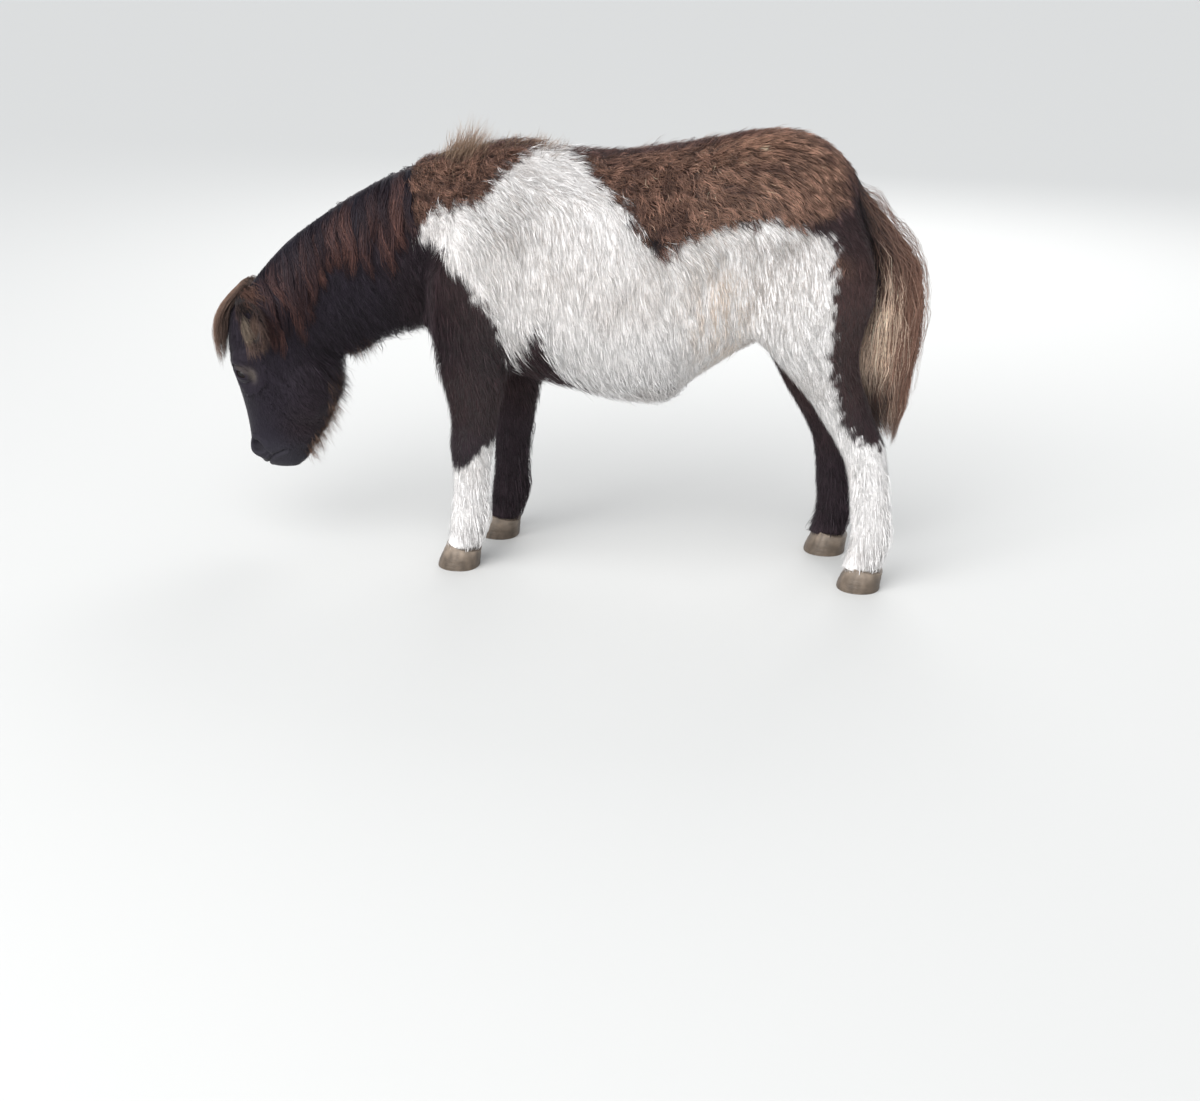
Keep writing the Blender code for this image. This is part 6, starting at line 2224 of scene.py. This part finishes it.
@dataclass
class Mane(LongHair):
    """The mane: wavy locks that fall to the left over the neck, and a shorter row to the right.

    Attributes:
        count: Strands on the left.
        right_count: Strands on the right.
        locks: Locks along the crest.
        loose: Share of the strands that lie loose under the locks.
        length: Lengths along the crest, from the poll to the withers.
        slant: How far the locks head backwards, from the poll to the withers.
        points: Points of each strand.
        span: First and last x of the mane.
        wave: Size and number of a lock's waves.
        lean: How far loose and other strands lean to their lock.
        root: Colour at the root, slate black; its blue cast is painted sky reflection.
        tip: Colour at the tip of the reddest locks.
    """

    span = (-0.768, -0.432)
    count: int = 3400
    right_count: int = 1400
    locks: int = 34
    loose: float = 0.34
    length: tuple[float, ...] = (0.15, 0.215, 0.200, 0.175, 0.190, 0.200, 0.170)
    slant: tuple[float, ...] = (0.85, 0.50, 0.22, 0.08, 0.06, 0.10, 0.22)
    points: int = 8
    width: float = 0.00125
    wave: tuple[float, float] = (0.0088, 2.0)
    lean: tuple[float, float] = (0.15, 0.62)
    # The blue cast of the root colour is painted sky reflection.
    root: Colour = (0.0065, 0.0062, 0.0125)
    tip: Colour = (0.200, 0.092, 0.070)

    def side(self, name: str, sign: int, count: int, share: float, seed: int) -> bpy.types.Object:
        """Makes the strands that fall to one side.

        Args:
            name: Name of the piece.
            sign: -1 for the left, 1 for the right.
            count: How many strands.
            share: Their length, as a share of the full mane.
            seed: Seed of the strands.

        Returns:
            The piece.
        """
        draw = np.random.default_rng(seed)
        low, high = self.span
        x = draw.uniform(low, high, count)
        at = (x - low) / (high - low)
        group = (at * self.locks + draw.normal(0, 0.30, count)).astype(int).clip(0, self.locks - 1)
        long_lock, red_lock, high_lock, phase = (
            np.exp(draw.normal(0, 0.15, self.locks)), draw.uniform(0.1, 1.0, self.locks),
            draw.uniform(0.004, 0.014, self.locks), draw.uniform(0, 2 * math.pi, self.locks),
        )
        loose = draw.uniform(0, 1, count) < self.loose
        stops = np.linspace(0, 1, len(self.length))
        lengths = np.interp(at, stops, self.length) * share * long_lock[group]
        lengths *= draw.uniform(0.55, 1.10, count) * np.where(loose, 0.8, 1.0)
        slant = np.interp(at, stops, self.slant) + draw.normal(0, 0.06, count)
        starts = crest_place(x)
        starts[:, 1] = sign * draw.uniform(-0.002, 0.012, count)
        ways = np.stack((slant, np.full(count, float(sign)), np.full(count, -0.30)), axis=1)
        heights = np.where(loose, 0.004, high_lock[group]) + draw.uniform(-0.002, 0.004, count)
        lines, outs = self.lying(starts, ways, lengths, heights, 2.2, self.points, rise=0.6)
        lines = self.locked(lines, group, np.where(loose, *self.lean), 1.2)
        lines = self.waved(lines, outs, *self.wave, phase[group] + draw.normal(0, 0.65, count))
        red = (red_lock[group] * draw.uniform(0.5, 1.15, count) * np.where(loose, 0.3, 1.0))[:, None]
        tips = blended(self.root, np.array(self.tip) * np.exp(draw.normal(0, 0.30, (count, 1))), red)
        return self.grown(name, lines, outs, (self.root, tips), draw, blend=1.5)

    def build(self) -> list[bpy.types.Object]:
        """Makes both sides of the mane.

        Returns:
            The pieces.
        """
        return [
            self.side("mane_left", -1, self.count, 1.0, 41),
            self.side("mane_right", 1, self.right_count, 0.55, 42),
        ]


@dataclass
class Forelock(LongHair):
    """The forelock, fluffy and lighter outside, from the poll down over the forehead.

    Attributes:
        count: Strands of the forelock.
        side_count: Wisps over each ear's root.
        locks: Locks across.
        points: Points of each strand.
        outer_line: The outermost line of the forelock, in x and z.
        inner_line: The innermost one.
        spread: Half width of the forelock.
        root: Colour at the root.
        tip: Colour at the tip of the inner strands.
        outer: Colour at the tip of the outer strands.
        side_tip: Colour at the tip of the wisps.
    """

    count: int = 1300
    side_count: int = 330
    locks: int = 17
    points: int = 9
    width: float = 0.0011
    outer_line: tuple[tuple[float, float], ...] = (
        (-0.7400, 0.4980), (-0.7500, 0.5200), (-0.7640, 0.5290), (-0.7792, 0.5146), (-0.7985, 0.4984),
        (-0.8210, 0.4704), (-0.8324, 0.4444), (-0.8358, 0.4186), (-0.8325, 0.3889), (-0.8266, 0.3651),
        (-0.8200, 0.3493),
    )
    inner_line: tuple[tuple[float, float], ...] = (
        (-0.7400, 0.4900), (-0.7500, 0.5040), (-0.7642, 0.5054), (-0.7814, 0.4893), (-0.7926, 0.4753),
        (-0.7970, 0.4595), (-0.8006, 0.4416), (-0.8065, 0.4098), (-0.8110, 0.3818), (-0.8148, 0.3616),
    )
    spread: float = 0.0175
    root: Colour = (0.012, 0.009, 0.010)
    tip: Colour = (0.070, 0.044, 0.034)
    outer: Colour = (0.230, 0.140, 0.100)
    side_tip: Colour = (0.165, 0.088, 0.066)

    def over_ear(self, side: Side) -> bpy.types.Object:
        """Makes the wavy wisps that run from the poll back over one ear's root.

        Args:
            side: Which ear.

        Returns:
            The piece.
        """
        draw, count = np.random.default_rng(55 + side.value), self.side_count
        starts = np.stack((
            draw.uniform(-0.790, -0.735, count), side.value * draw.uniform(0.008, 0.036, count),
            np.full(count, 0.512),
        ), axis=1)
        ways = np.stack((
            draw.normal(0.9, 0.25, count), side.value * draw.normal(0.75, 0.25, count), np.full(count, 0.05),
        ), axis=1)
        lengths, heights = draw.uniform(0.030, 0.072, count), draw.uniform(0.003, 0.018, count)
        lines, outs = self.lying(starts, ways, lengths, heights, 0.5, 6, rise=0.8, fall=0.0)
        lines = self.waved(lines, outs, 0.0035, 0.9, draw.uniform(0, 2 * math.pi, count))
        tips = (np.array(self.side_tip) * np.exp(draw.normal(-0.2, 0.40, (count, 1)))).clip(0, 1)
        name = f"poll_wisps_{side.word}"
        return self.grown(name, lines, outs, (tips * 0.25, tips), draw, share=0.8, blend=0.7)

    def build(self) -> list[bpy.types.Object]:
        """Makes the forelock and the wisps beside it.

        Returns:
            The pieces.
        """
        draw = np.random.default_rng(51)
        count = self.count
        high = draw.beta(1.1, 1.0, count)
        y = draw.normal(-0.003, self.spread, count).clip(-0.042, 0.040)
        begin, end = draw.uniform(0.0, 0.05, count), draw.uniform(0.52, 1.03, count) + 0.06 * (high - 0.5)
        at = begin[:, None] + (end - begin)[:, None] * np.linspace(0, 1, self.points)[None]
        lines = np.zeros((count, self.points, 3))
        for guide, share in ((self.outer_line, high), (self.inner_line, 1 - high)):
            dense = np.array(between(guide, 4))
            stops = np.linspace(0, 1, len(dense))
            for axis, column in ((0, 0), (2, 1)):
                lines[:, :, axis] += np.interp(at, stops, dense[:, column]) * share[:, None]
        lines[:, :, 1] = y[:, None] * (0.55 + 0.75 * np.sqrt(at))
        lines[:, :, 0] += 7 * lines[:, :, 1] ** 2
        out = unit(np.stack((np.full(count, -1.0), y * 9, np.full(count, 0.35)), axis=1))
        outs = np.repeat(out[:, None], self.points, axis=1)
        group = ((y + 0.04) / 0.08 * self.locks).astype(int).clip(0, self.locks - 1)
        group += self.locks * (high > 0.6)
        lines = self.locked(lines, group, 0.25, 1.2)
        phase = draw.uniform(0, 2 * math.pi, self.locks * 2)[group] + draw.normal(0, 1.0, count)
        lines = self.waved(lines, outs, 0.0062, 1.8, phase)
        lines = self.waved(lines, np.cross(outs, lines[:, 1:2] - lines[:, :1]), 0.0035, 1.5, phase * 1.7)
        tips = blended(self.tip, self.outer, (high ** 3)[:, None]) * np.exp(draw.normal(0, 0.30, (count, 1)))
        tips = tips.clip(0, 1)
        roots = blended(self.root, tips, 0.15 * high[:, None])
        forelock = self.grown("forelock", lines, outs, (roots, tips), draw, blend=0.75)
        return [forelock, *(self.over_ear(side) for side in Side)]


@dataclass
class Wisps(LongHair):
    """Fine hair that stands off the body: over the withers, along the jaw and under the throat.

    Attributes:
        withers: Strands of the tuft over the withers.
        beard: Strands of the beard.
        throat: Strands under the throat.
        points: Points of each strand.
        withers_rows: The tuft's x and the length of its longest hair there.
        jaw: The line along which the beard grows, in x and z.
        throat_line: The line along which the throat's hair grows, in x and z.
        light: Colour at the tips of the tuft.
        brown: Colour at the tips of the beard.
        dark: Colour at the tips of the throat's hair.
        root: Colour at the roots.
    """

    withers: int = 1500
    beard: int = 1300
    throat: int = 520
    points: int = 4
    width: float = 0.00065
    withers_rows: tuple[tuple[float, float], ...] = (
        (-0.425, 0.012), (-0.380, 0.026), (-0.350, 0.060), (-0.325, 0.068), (-0.300, 0.044), (-0.270, 0.026),
        (-0.230, 0.030), (-0.195, 0.036), (-0.145, 0.026),
    )
    jaw: tuple[tuple[float, float], ...] = (
        (-0.650, 0.185), (-0.625, 0.225), (-0.603, 0.275), (-0.592, 0.330), (-0.575, 0.368), (-0.520, 0.405),
    )
    throat_line: tuple[tuple[float, float], ...] = ((-0.598, 0.335), (-0.560, 0.375), (-0.520, 0.400))
    light: Colour = (0.330, 0.220, 0.150)
    brown: Colour = (0.190, 0.115, 0.080)
    dark: Colour = (0.035, 0.024, 0.026)
    root: Colour = (0.020, 0.013, 0.012)

    def standing(
        self, name: str, starts: np.ndarray, ways: np.ndarray, lengths: np.ndarray, out: float, seed: int,
        colour: Colour,
    ) -> bpy.types.Object:
        """Makes strands that rise off the skin.

        Args:
            name: Name of the piece.
            starts: Where the strands start.
            ways: Where they head.
            lengths: Their lengths.
            out: How much of the way goes out of the skin.
            seed: Seed of the strands.
            colour: Colour of their tips.

        Returns:
            The piece.
        """
        draw = np.random.default_rng(seed)
        count = len(starts)
        on, outs = self.ground.nearest(starts)
        heading = unit(unit(ways) + outs * out + draw.normal(0, 0.22, (count, 3)))
        t = np.linspace(0, 1, self.points)[None, :, None]
        bend = unit(ways)[:, None] * 0.30 - np.array((0, 0, 0.22)) + draw.normal(0, 0.14, (count, 1, 3))
        lines = on[:, None] - outs[:, None] * 0.003
        lines = lines + (heading[:, None] * t + bend * t ** 2) * lengths[:, None, None]
        all_out = np.repeat(outs[:, None], self.points, axis=1)
        lines = self.waved(lines, all_out, 0.004, 1.0, draw.uniform(0, 2 * math.pi, count))
        tips = np.array(colour) * np.exp(draw.normal(0, 0.35, (count, 1)))
        return self.grown(name, lines, all_out, (self.root, tips), draw, flat=Unwrap.spots(on), blend=0.7)

    def build(self) -> list[bpy.types.Object]:
        """Makes the tuft, the beard and the throat's hair.

        Returns:
            The pieces.
        """
        draw = np.random.default_rng(61)
        rows = np.array(self.withers_rows)
        count = self.withers
        x = draw.uniform(rows[0, 0], rows[-1, 0], count)
        x += np.where(draw.uniform(0, 1, count) < 0.45, draw.normal(-0.335, 0.022, count) - x, 0)
        x = x.clip(rows[0, 0], rows[-1, 0])
        above = np.stack((x, draw.normal(-0.010, 0.020, count), np.full(count, 0.95)), axis=1)
        starts = np.array([self.ground.tree.ray_cast(place, (0, 0, -1))[0] for place in above.tolist()])
        ways = np.stack((0.45 + 1.5 * (x + 0.34), np.zeros(count), np.ones(count)), axis=1)
        lengths = np.interp(x, rows[:, 0], rows[:, 1]) * draw.uniform(0.30, 1.12, count)
        tuft = self.standing("withers_tuft", starts, ways, lengths, 0.30, 62, self.light)
        line = np.array(between(self.jaw, 8))
        at = draw.uniform(0, len(line) - 1.001, self.beard)
        k = at.astype(int)
        spot = line[k] + (line[k + 1] - line[k]) * (at - k)[:, None]
        y = draw.normal(0, 0.020, self.beard)
        starts = np.stack((spot[:, 0] + 0.01, y, spot[:, 1] - 0.004), axis=1)
        ways = np.stack((0.55 + 0.05 * y, y * 3, np.full(self.beard, -0.85)), axis=1)
        lengths = 0.008 + 0.026 * draw.beta(1.1, 2.0, self.beard)
        beard = self.standing("beard", starts, ways, lengths, 0.25, 63, self.brown)
        xs, zs = zip(*self.throat_line)
        x = draw.uniform(xs[0], xs[-1], self.throat)
        z = np.interp(x, xs, zs) - 0.02
        starts = np.stack((x, draw.normal(0, 0.022, self.throat), z), axis=1)
        ways = np.tile((0.75, 0.0, -0.75), (self.throat, 1))
        lengths = draw.uniform(0.012, 0.034, self.throat)
        return [tuft, beard, self.standing("throat_hair", starts, ways, lengths, 0.15, 64, self.dark)]


@dataclass
class Feathers(LongHair):
    """Longer hair behind the fetlocks and down the backs of the legs.

    Attributes:
        each: Strands of each leg.
        points: Points of each strand.
    """

    each: int = 420
    points: int = 4
    width: float = 0.0014

    def build(self) -> list[bpy.types.Object]:
        """Makes the feathers of the four legs.

        Returns:
            The pieces.
        """
        found = []
        for side in Side:
            for pair, rows, hoof_x in (
                ("fore", SIZES.fore_leg, SIZES.fore_hoof_x), ("hind", SIZES.hind_leg, SIZES.hind_hoof_x),
            ):
                draw = np.random.default_rng(71 + side.value + (5 if pair == "hind" else 0))
                count = self.each
                z = 0.052 + draw.beta(1.1, 2.2, count) * 0.20
                table = np.array(between(rows, 4))[::-1]
                x0 = hoof_x[side] + np.interp(z, table[:, 0], table[:, 1])
                y0 = side.value * np.interp(z, table[:, 0], table[:, 2])
                turn = draw.normal(0, 0.85, count)
                starts = np.stack((x0 + np.cos(turn) * 0.05, y0 + np.sin(turn) * 0.05, z), axis=1)
                ways = np.stack((np.cos(turn) * 0.35, np.sin(turn) * 0.35, np.full(count, -1.0)), axis=1)
                lengths = np.minimum(draw.uniform(0.024, 0.046, count), z - 0.012)
                heights = draw.uniform(0.003, 0.012, count)
                lines, outs = self.lying(starts, ways, lengths, heights, 0.3, self.points)
                lines[:, -1] += outs[:, -1] * draw.uniform(0, 0.006, (count, 1))
                lines[:, :, 2] = np.maximum(lines[:, :, 2], 0.008)
                pick = MARKINGS.picked(lines[:, 2], draw)
                dark, light = MARKINGS.tints(lines[:, 2], np.full(count, 0.3), pick, draw)
                finish = Finishes.HAIR if light.mean() > 0.25 else Finishes.DARK_HAIR
                name = f"feathers_{pair}_{side.word}"
                found.append(self.grown(name, lines, outs, (dark, light), draw, finish))
        return found


@dataclass
class Tail(LongHair):
    """The tail: a short dark core and long wavy strands round it, straw in the middle and brown outside.

    Attributes:
        count: Strands in all.
        frizz: Share of the strands that stand off the rest.
        locks: Locks round the tail.
        points: Points of each strand.
        core_share: How far down the tail the core reaches.
        skirt_count: Strands of the skirt beside the dock.
        skirt_points: Points of each of them.
        black: Colour of the darkest hair, and of the core.
        brown: Colour outside.
        straw: Colour in the middle.
    """

    count: int = 3200
    frizz: float = 0.15
    locks: int = 52
    points: int = 10
    width: float = 0.00155
    core_share: float = 0.42
    skirt_count: int = 420
    skirt_points: int = 6
    black: Colour = (0.013, 0.010, 0.013)
    brown: Colour = (0.265, 0.142, 0.102)
    straw: Colour = (0.720, 0.550, 0.425)

    def at(self, s: np.ndarray, turn: np.ndarray, share: np.ndarray) -> tuple[np.ndarray, np.ndarray]:
        """Places in the tail.

        Args:
            s: How far along the tail, from 0 to 1.
            turn: The turn round its middle, 0 at the back.
            share: The share of its radius.

        Returns:
            The places, and the ways out of the tail there.
        """
        rows = np.array(between(SIZES.tail, 6))
        stops = np.linspace(0, 1, len(rows))
        x, z, deep, half, tilt = (np.interp(s, stops, rows[:, k]) for k in range(5))
        a = np.radians(tilt)
        back = np.stack((np.cos(a), np.zeros_like(a), np.sin(a)), axis=-1)
        across = np.zeros_like(back)
        across[..., 1] = 1
        out = back * (deep * np.cos(turn))[..., None] + across * (half * np.sin(turn))[..., None]
        middle = np.stack((x, np.zeros_like(x), z), axis=-1)
        return middle + out * share[..., None], unit(out)

    def build(self) -> list[bpy.types.Object]:
        """Makes the tail's core and strands.

        Returns:
            The pieces.
        """
        draw = np.random.default_rng(81)
        count = self.count
        turn = draw.uniform(0, 2 * math.pi, count)
        begin = draw.beta(1.0, 2.4, count) * 0.52
        deep = draw.uniform(0, 1, count)
        loose = draw.uniform(0, 1, count) < self.frizz
        group = (turn / (2 * math.pi) * self.locks).astype(int).clip(0, self.locks - 1)
        lock_end = draw.normal(0, 0.05, self.locks)[group]
        lock_tone = draw.normal(0, 0.22, self.locks)[group]
        end = 0.58 + 0.44 * draw.beta(2.0, 1.3, count) + lock_end - 0.16 * (1 - deep) * np.abs(np.sin(turn))
        end = np.clip(np.where(loose, begin + 0.35 * draw.uniform(0.6, 1.3, count), end), begin + 0.12, 1.0)
        t = np.linspace(0, 1, self.points)[None]
        s = begin[:, None] + (end - begin)[:, None] * t
        wide = np.where(loose, 1.22, 0.40 + 0.72 * (1 - deep ** 2))[:, None]
        share = 0.25 + (wide - 0.25) * np.minimum(1, 2.2 * t)
        lines, outs = self.at(s, turn[:, None] + 0.35 * t * draw.normal(0, 1, count)[:, None], share)
        lines = self.locked(lines, group, np.where(loose, 0.0, 0.42))
        phase = draw.uniform(0, 2 * math.pi, self.locks)[group] + draw.normal(0, 0.55, count)
        lines = self.waved(lines, outs, 0.0080, 1.8, phase)
        lines = self.waved(lines, np.cross(outs, lines[:, 1:2] - lines[:, :1]), 0.0055, 2.2, phase * 1.7)
        for axis in range(3):
            swell = smooth_noise(lines.reshape(-1, 3), 0.045, 84 + axis).reshape(count, self.points)
            stray = draw.normal(0, 0.0007, (count, self.points))
            lines[:, :, axis] += swell * 0.0050 * np.minimum(1, 3 * t) + stray * (t > 0)
        shades = self.shades(s, np.cos(turn)[:, None] * share, draw) * np.exp(lock_tone)[:, None, None]
        flat = np.stack((0.3 + 0.6 * s[:, 0], 0.1 + 0.8 * turn / (2 * math.pi)), axis=1)
        strands = self.grown(
            "tail_strands", lines, outs, (shades[:, 0], shades[:, -1]), draw, Finishes.TAIL_HAIR,
            np.where(loose, 0.5, 1.0), flat, shades=shades.clip(0, 1),
        )
        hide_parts("tail")
        return [strands, self.core(), self.skirt(draw)]

    def shades(self, s: np.ndarray, across: np.ndarray, draw: np.random.Generator) -> np.ndarray:
        """Colours along the strands: black above and in front, red-brown outside, straw in the middle.

        Args:
            s: How far along the tail each point is.
            across: How far to the back each point is, from -1 in front to 1 behind.
            draw: Seeded random numbers.

        Returns:
            The colours, as strand, point, channel.
        """
        own = draw.normal(0, 1, (len(s), 1))
        across = across + draw.normal(0, 0.26, (len(s), 1))
        straw = eased(0.30, 0.50, s + 0.05 * own) * (1 - eased(0.60, 0.70, s))
        straw *= 1 - eased(0.05, 0.50, across)
        lower = eased(0.60, 0.70, s) * (1 - eased(0.80, 0.95, s))
        straw += 0.55 * lower * np.exp(-((across - 0.35) / 0.30) ** 2)
        straw = np.clip(straw * (1 + 0.35 * own) + 0.05 * own, 0, 1)[:, :, None]
        dark = (1 - eased(0.16, 0.50, s + 0.05 * own)) * (1 - 0.62 * eased(-0.10, 0.75, across))
        dark += 0.85 * eased(0.60, 0.68, s) * (1 - eased(0.84, 0.97, s)) * (1 - eased(0.0, 0.45, across))
        dark += 0.80 * (1 - eased(-0.95, -0.55, across)) * (1 - eased(0.40, 0.60, s)) + 0.12 * own
        dark = np.clip(dark, 0, 1)[:, :, None]
        found = blended(blended(self.brown, self.straw, straw), self.black, dark)
        return found * np.exp(0.24 * own)[:, :, None]

    def skirt(self, draw: np.random.Generator) -> bpy.types.Object:
        """Makes the black hair that hangs from the sides of the dock against the buttocks.

        Args:
            draw: Seeded random numbers.

        Returns:
            The piece.
        """
        count, points = self.skirt_count, self.skirt_points
        side = np.sign(draw.uniform(-1, 1, count))
        s = draw.uniform(0.02, 0.20, count)
        starts, outs = self.at(s, side * draw.uniform(1.7, 2.9, count), np.full(count, 0.6))
        lengths = draw.uniform(0.08, 0.19, count)
        t = np.linspace(0, 1, points)[None, :, None]
        drop = unit(np.stack((
            draw.normal(0.0, 0.05, count), side * draw.uniform(0.0, 0.16, count), -np.ones(count),
        ), axis=1))
        lines = starts[:, None] + outs[:, None] * (0.010 * np.sqrt(t))
        lines += drop[:, None] * lengths[:, None, None] * t
        all_out = np.repeat(outs[:, None], points, axis=1)
        lines = self.waved(lines, all_out, 0.005, 1.0, draw.uniform(0, 2 * math.pi, count))
        tips = np.array(self.black) * 2.2 * np.exp(draw.normal(0, 0.4, (count, 1)))
        flat = np.stack((0.3 + 0.6 * s, draw.uniform(0.1, 0.9, count)), axis=1)
        return self.grown(
            "tail_skirt", lines, all_out, (self.black, tips), draw, Finishes.TAIL_HAIR, 0.8, flat,
        )

    def core(self) -> bpy.types.Object:
        """Makes the dock, which ends under half way down the tail.

        Returns:
            The piece.
        """
        rows = between(SIZES.tail, 6)
        rows = rows[:round(len(rows) * self.core_share)]
        bm = bmesh.new()
        rings = []
        for k, (x, z, deep, half, tilt) in enumerate(rows):
            a = math.radians(tilt)
            size = 0.55 * (1 - 0.8 * (k / (len(rows) - 1)) ** 2)
            back = Vector((math.cos(a), 0, math.sin(a)))
            rings.append(oval_ring(Vector((x, 0, z)), back, RIGHT, deep * size, deep * size, half * size))
        loft(bm, rings, 24)
        mesh = settled(bm, "dock")
        paint(mesh, np.tile(self.black, (len(mesh.vertices), 1)))
        return new_piece(mesh, "dock", Finishes.TAIL_HAIR)


# ---------------------------------------------------------------- studio
@dataclass(frozen=True)
class Studio:
    """The floor, the lights and the camera.

    Attributes:
        floor_size: Length of the floor's edges.
        floor_colour: Its colour.
        target: The place under the camera's line from which its distance counts, in x and y.
        distance: How far the camera is from it.
        height: The camera's height.
        yaw: Its turn round the pony in degrees.
        pitch: How far it looks down in degrees.
        sensor: Width of its sensor.
        focal_pixels: Its focal length in pixels of the picture.
        image_width: Width of the picture in pixels.
        clip: How far it sees.
        lights: Area lights: place, size, power, colour.
        light_target: What the area lights point at.
        wide_from: From where a very wide soft light comes, which reaches the whole floor evenly.
        wide_strength: Its strength.
        wide_angle: Its width in degrees.
        sky: Strength of the light from all round.
        sky_colour: Its colour.
    """

    floor_size: float = 60.0
    floor_colour: Colour = (0.55, 0.55, 0.54)
    target: tuple[float, float] = (-0.083, 0.0)
    distance: float = 3.0
    height: float = 1.25
    yaw: float = 8.0
    pitch: float = 22.5
    sensor: float = 36.0
    focal_pixels: float = 1650.0
    image_width: float = 1200.0
    clip: float = 200.0
    lights: tuple[tuple[Row, float, float, Colour], ...] = (
        ((-1.6, -3.2, 2.2), 2.8, 80.0, (1.0, 0.99, 0.98)),
        ((0.4, 3.0, 2.4), 2.6, 60.0, (1.0, 0.99, 0.98)),
    )
    light_target: Row = (0.0, 0.0, 0.45)
    wide_from: Row = (-0.8, -2.2, 2.1)
    wide_strength: float = 2.7
    wide_angle: float = 75.0
    sky: float = 0.75
    sky_colour: Row = (0.93, 0.96, 1.0, 1.0)

    def build(self) -> None:
        """Makes the floor, the lights, the world and the camera."""
        self.floor()
        for place, size, power, colour in self.lights:
            light = bpy.data.lights.new("soft_box", "AREA")
            light.size = size
            light.energy = power
            light.color = colour
            lamp = bpy.data.objects.new("soft_box", light)
            lamp.location = place
            way = Vector(self.light_target) - Vector(place)
            lamp.rotation_euler = way.to_track_quat("-Z", "Y").to_euler()
            bpy.context.scene.collection.objects.link(lamp)
        wide = bpy.data.lights.new("wide_box", "SUN")
        wide.energy = self.wide_strength
        wide.angle = math.radians(self.wide_angle)
        lamp = bpy.data.objects.new("wide_box", wide)
        lamp.rotation_euler = (-Vector(self.wide_from)).to_track_quat("-Z", "Y").to_euler()
        bpy.context.scene.collection.objects.link(lamp)
        world = bpy.data.worlds.new("studio")
        world.use_nodes = True
        background = world.node_tree.nodes["Background"]
        Finish.set_inputs(background, {"Color": self.sky_colour, "Strength": self.sky})
        bpy.context.scene.world = world
        bpy.context.scene.view_settings.view_transform = "Standard"
        self.camera()

    def floor(self) -> None:
        """Makes the plain pale floor."""
        bm = bmesh.new()
        bmesh.ops.create_grid(bm, x_segments=4, y_segments=4, size=self.floor_size / 2)
        mesh = meshed(bm, "floor")
        made = bpy.data.objects.new("floor", mesh)
        bpy.context.scene.collection.objects.link(made)
        plain = bpy.data.materials.new("pale_floor")
        plain.use_nodes = True
        shader = plain.node_tree.nodes["Principled BSDF"]
        Finish.set_inputs(shader, {"Base Color": (*self.floor_colour, 1.0), "Roughness": 0.9})
        mesh.materials.append(plain)

    def camera(self) -> None:
        """Places the camera."""
        yaw, pitch = math.radians(self.yaw), math.radians(self.pitch)
        target = Vector((*self.target, 0)) + SHIFT
        lens = bpy.data.cameras.new("camera")
        lens.sensor_width = self.sensor
        lens.lens = self.focal_pixels * self.sensor / self.image_width
        lens.clip_end = self.clip
        made = bpy.data.objects.new("camera", lens)
        away = Vector((math.sin(yaw), -math.cos(yaw), 0)) * self.distance
        made.location = target + away + UP * self.height
        made.rotation_euler = (math.pi / 2 - pitch, 0, yaw)
        bpy.context.scene.collection.objects.link(made)
        bpy.context.scene.camera = made


def main() -> None:
    """Builds the pony piece by piece, then its studio."""
    logging.basicConfig(level=logging.INFO, format="%(message)s")
    Studio().build()
    skin = Skin().build()
    ground = Ground(skin)
    pieces = [skin]
    for side in Side:
        ear = Ear(side)
        cup = ear.build()
        pieces += [Eye(side).build(), cup, *ear.hair(cup)]
        pieces += [Hoof(pair, side).build() for pair in ("fore", "hind")]
    for hair in (Coat, Mane, Forelock, Wisps, Feathers, Tail):
        pieces += hair(ground).build()
    total = 0
    for piece in pieces:
        count = sum(len(face.vertices) - 2 for face in piece.data.polygons)
        total += count
        LOG.info("%s: %d triangles", piece.name, count)
    LOG.info("%d pieces, %d triangles", len(pieces), total)


if __name__ == "__main__":
    main()
